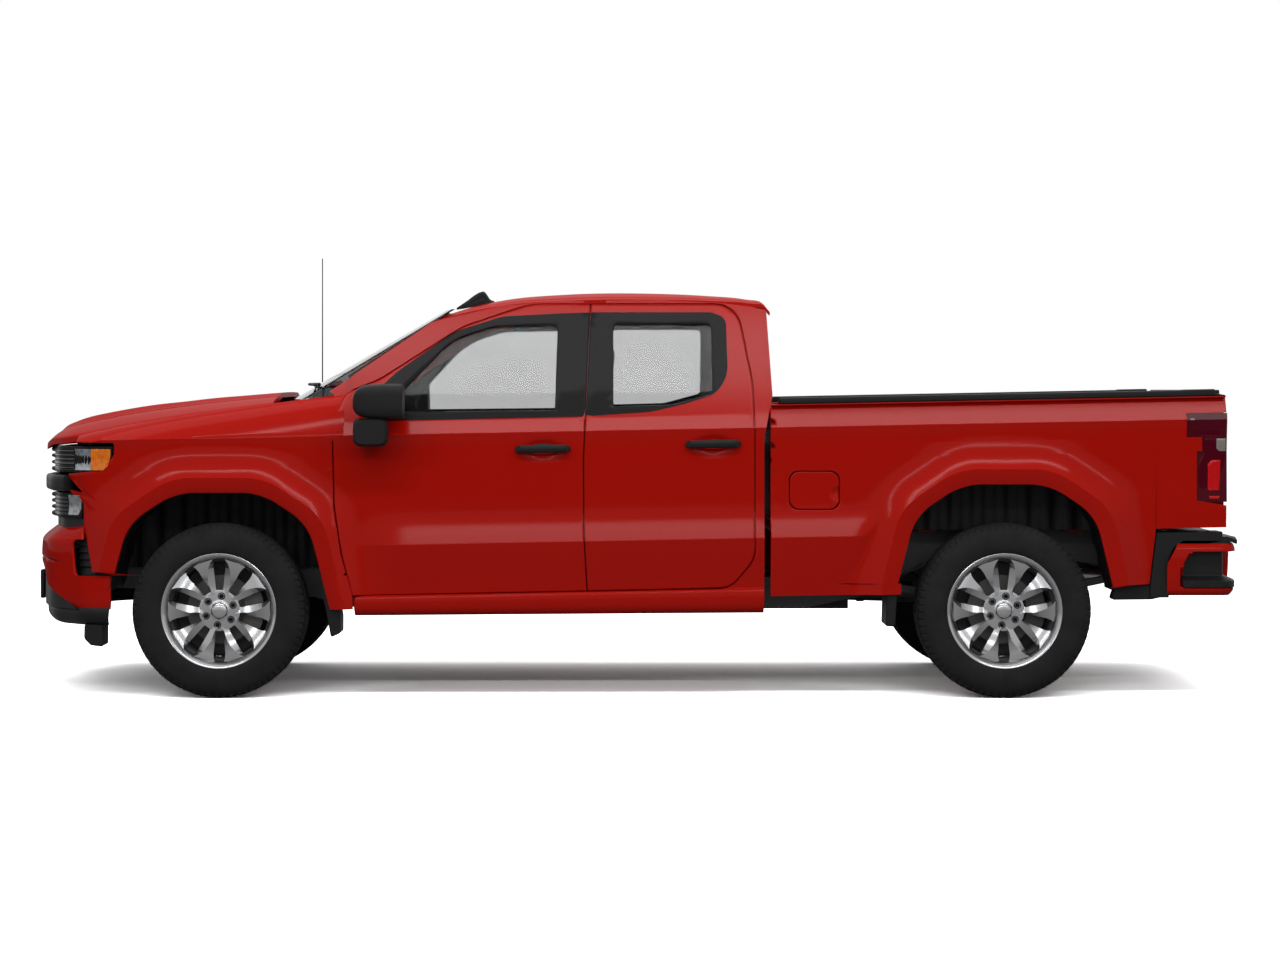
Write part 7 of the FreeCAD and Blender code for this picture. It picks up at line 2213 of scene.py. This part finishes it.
@dataclass
class Outfit:
    """Small pieces: wipers, the inside mirror, the roof fin, the mast and the dashboard's screen."""

    def build(self) -> None:
        """Makes the small pieces."""
        self.wipers()
        self.inside()
        self.aerial()

    def wipers(self) -> None:
        """Two wipers at the foot of the windshield, which bows back to the sides with the square of y."""
        shell = Shell()
        for start, end in ((-0.74, -0.10), (-0.06, 0.60)):
            y = np.linspace(start, end, 24)
            base = -1.655 + 0.105 * (y / 0.85) ** 2
            rise = 0.085 + 0.02 * (y - start)
            path = np.stack([base + rise, y, 1.438 + 0.566 * rise], -1)
            shell.tube(sweep(path, 0.006, 12))
            shell.tube(sweep(path + (0.006, 0, -0.007), 0.0035, 8))
            middle = path[12]
            arm = [path[1] + (0.004, 0.0, 0.010), middle + (-0.012, -0.18, 0.008), middle + (0, 0, 0.007)]
            shell.tube(sweep(arm, np.array([0.009, 0.007, 0.005])))
        keep(shell, "wipers", Finishes.BLACK, "chassis", 40)

    def inside(self) -> None:
        """Inside mirror on its stem, and the screen and dial hood on the dashboard."""
        for name, low, high, radius, finish in (
            ("inside_mirror", (-1.030, -0.125, 1.625), (-1.006, 0.125, 1.695), 0.010, Finishes.BLACK),
            ("dash_screen", (-1.180, -0.12, 1.185), (-1.140, 0.12, 1.335), 0.008, Finishes.GLOSS_BLACK),
            ("dial_hood", (-1.235, -0.56, 1.300), (-1.085, -0.24, 1.352), 0.016, Finishes.TRIM),
        ):
            shell = Shell().tube(block(low, high, radius, 1))
            if name == "inside_mirror":
                shell.tube(sweep([(-1.018, 0.0, 1.69), (-1.03, 0.0, 1.73), (-1.055, 0, 1.745)], 0.008))
            keep(shell, name, finish, "chassis", 40)

    def aerial(self) -> None:
        """Roof fin and mast.

        The fin's rings lie across the truck: half ellipses whose height and width follow smooth lines.
        """
        x = np.linspace(-0.858, -0.666, 40)
        top = eased([(-0.858, 1.886), (-0.835, 1.902), (-0.800, 1.926), (-0.765, 1.952), (-0.738, 1.966),
                     (-0.716, 1.967), (-0.702, 1.950), (-0.690, 1.932), (-0.666, 1.920)], x)
        foot = np.interp(x, [-0.858, -0.666], [1.880, 1.915]) - 0.004
        half = 0.033 * np.sqrt(np.clip(1 - ((x + 0.748) / 0.094) ** 2, 0, 1)) ** 0.8 + 0.001
        turn = np.linspace(0, math.pi, 33)
        side = powered(np.cos(turn), 1.5)
        ring = np.stack([x[:, None] + 0 * side, half[:, None] * side,
                         foot[:, None] + (top - foot)[:, None] * np.sin(turn) ** 1.15], -1)
        keep(Shell().tube(ring), "roof_fin", Finishes.GLOSS_BLACK, "chassis", 40, ["aerials"])
        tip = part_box("aerials")[1][2]
        z = np.array([1.372, 1.392, 1.400, 1.425, 1.440, 1.455, 1.7, 2.0, tip - 0.006, tip - 0.001])
        thick = np.array([0.012, 0.012, 0.009, 0.007, 0.0045, 0.0034, 0.003, 0.0026, 0.0026, 0.0016])
        path = np.stack([np.full(len(z), FRONT_AXLE + 0.330), np.full(len(z), 0.890), z], -1)
        keep(Shell().tube(sweep(path, thick, 16)), "mast", Finishes.BLACK, "chassis", 40)


# Studio


@dataclass
class Studio:
    """Floor, light and the camera at the photograph's angle."""

    eye: tuple[float, float, float] = (-0.1307, -15.97, 1.4798)
    lens: float = 88.5
    shift: tuple[float, float] = (0.03125, -0.0719)
    floor_half: float = 60.0
    lamp_height: float = 7.0
    floor_colour: float = 0.22
    floor_seen: float = 3.9
    floor_gloss: float = 0.60
    sky: float = 0.30
    overhead: float = 185.0
    shoulder: float = 300.0
    low_strip: float = 150.0

    def build(self) -> None:
        """Makes the floor, the world, the lamps and the camera."""
        self.floor()
        self.world()
        self.lamps()
        self.camera()

    def floor(self) -> None:
        """A pale floor under the wheels, which keeps the truck's shadow.

        Seen by the camera, in gloss or through glass its colour is high enough to join the white
        background; the light that it throws back is that of a plain pale floor.
        """
        half = self.floor_half
        corners = np.array([[-half, -half, 0], [half, -half, 0], [half, half, 0], [-half, half, 0]], float)
        item = mesh_object("floor", corners, np.array([[0, 1, 2, 3]]), 30)
        nodes = Nodes("pale_floor").set(Roughness=0.95, Specular_IOR_Level=0.0)
        tree = nodes.tree
        grain = spread(tree, nodes.noise(3, 2), 0.985, 1.0)
        near_level = spread(tree, self.seen(tree), self.floor_colour, self.floor_gloss)
        camera = tree.nodes.new("ShaderNodeLightPath").outputs["Is Camera Ray"]
        level = spread(tree, camera, near_level, self.floor_seen)
        shade = wired(tree, "ShaderNodeMath", {0: level, 1: grain}, operation="MULTIPLY")
        white = (1, 1, 1)
        nodes.feed("Base Color", wired(tree, "ShaderNodeVectorMath", {0: white, "Scale": shade},
                                       operation="SCALE"))
        item.data.materials.append(nodes.material)

    @staticmethod
    def seen(tree: bpy.types.NodeTree) -> Socket:
        """One for rays from the camera, in gloss and through glass, else nought."""
        rays = tree.nodes.new("ShaderNodeLightPath").outputs
        both = wired(tree, "ShaderNodeMath", {0: rays["Is Glossy Ray"], 1: rays["Is Transmission Ray"]},
                     operation="MAXIMUM")
        return wired(tree, "ShaderNodeMath", {0: rays["Is Camera Ray"], 1: both}, operation="MAXIMUM")

    def world(self) -> None:
        """White for the camera, for gloss and for glass, and an even soft light for the rest."""
        world = bpy.data.worlds.new("studio")
        bpy.context.scene.world = world
        world.use_nodes = True
        tree = world.node_tree
        tree.nodes.clear()
        level = spread(tree, self.seen(tree), self.sky, 1.0)
        light = wired(tree, "ShaderNodeBackground", {"Color": (1, 1, 1, 1), "Strength": level})
        wired(tree, "ShaderNodeOutputWorld", {0: light})

    def lamps(self) -> None:
        """A soft box above and two long strips on the camera's side, which waist and low crease reflect."""
        for name, at, size, turn, power in (
            ("overhead", (0, 0, self.lamp_height), (9, 4), (0, 0, 0), self.overhead),
            ("shoulder", (0, -6, 6.8), (13, 0.6), (math.radians(41.8), 0, 0), self.shoulder),
            ("low_strip", (0, -9, 3.95), (13, 0.34), (math.radians(68.8), 0, 0), self.low_strip),
        ):
            data = bpy.data.lights.new(name, "AREA")
            data.shape = "RECTANGLE"
            data.size, data.size_y = size
            data.energy = power
            lamp = bpy.data.objects.new(name, data)
            lamp.location = at
            lamp.rotation_euler = turn
            bpy.context.scene.collection.objects.link(lamp)

    def camera(self) -> None:
        """The camera at the photograph's place."""
        data = bpy.data.cameras.new("camera")
        data.lens = self.lens
        data.sensor_width = 36
        data.shift_x, data.shift_y = self.shift
        data.clip_end = 200
        item = bpy.data.objects.new("camera", data)
        item.location = self.eye
        item.rotation_euler = (math.radians(90), 0, 0)
        bpy.context.scene.collection.objects.link(item)
        bpy.context.scene.camera = item
        bpy.context.scene.view_settings.view_transform = "Standard"


def dress_frame() -> None:
    """Gives every carried-over node the finish of its slot."""
    for part in frame["record"]["subparts"]:
        Finishes.BY_SLOT[part["material_slot"]].dress(frame["nodes"][part["node"]])
    Finishes.DARK_GLASS.dress(frame["nodes"]["cab_glass"])


def main() -> None:
    """Builds the truck's visual pieces and the studio, in order."""
    logging.basicConfig(level=logging.INFO, format="%(message)s")
    dress_frame()
    for builder in (*doors(), Fender(), BedSide(), Flanks(), Hood(), Roof(), Wheel(), Mirror(), Flaps(),
                    NosePieces(), RearBumper(), TailPieces(), Seats(), Outfit()):
        builder.build()
    Studio().build()


if __name__ == "__main__":
    main()
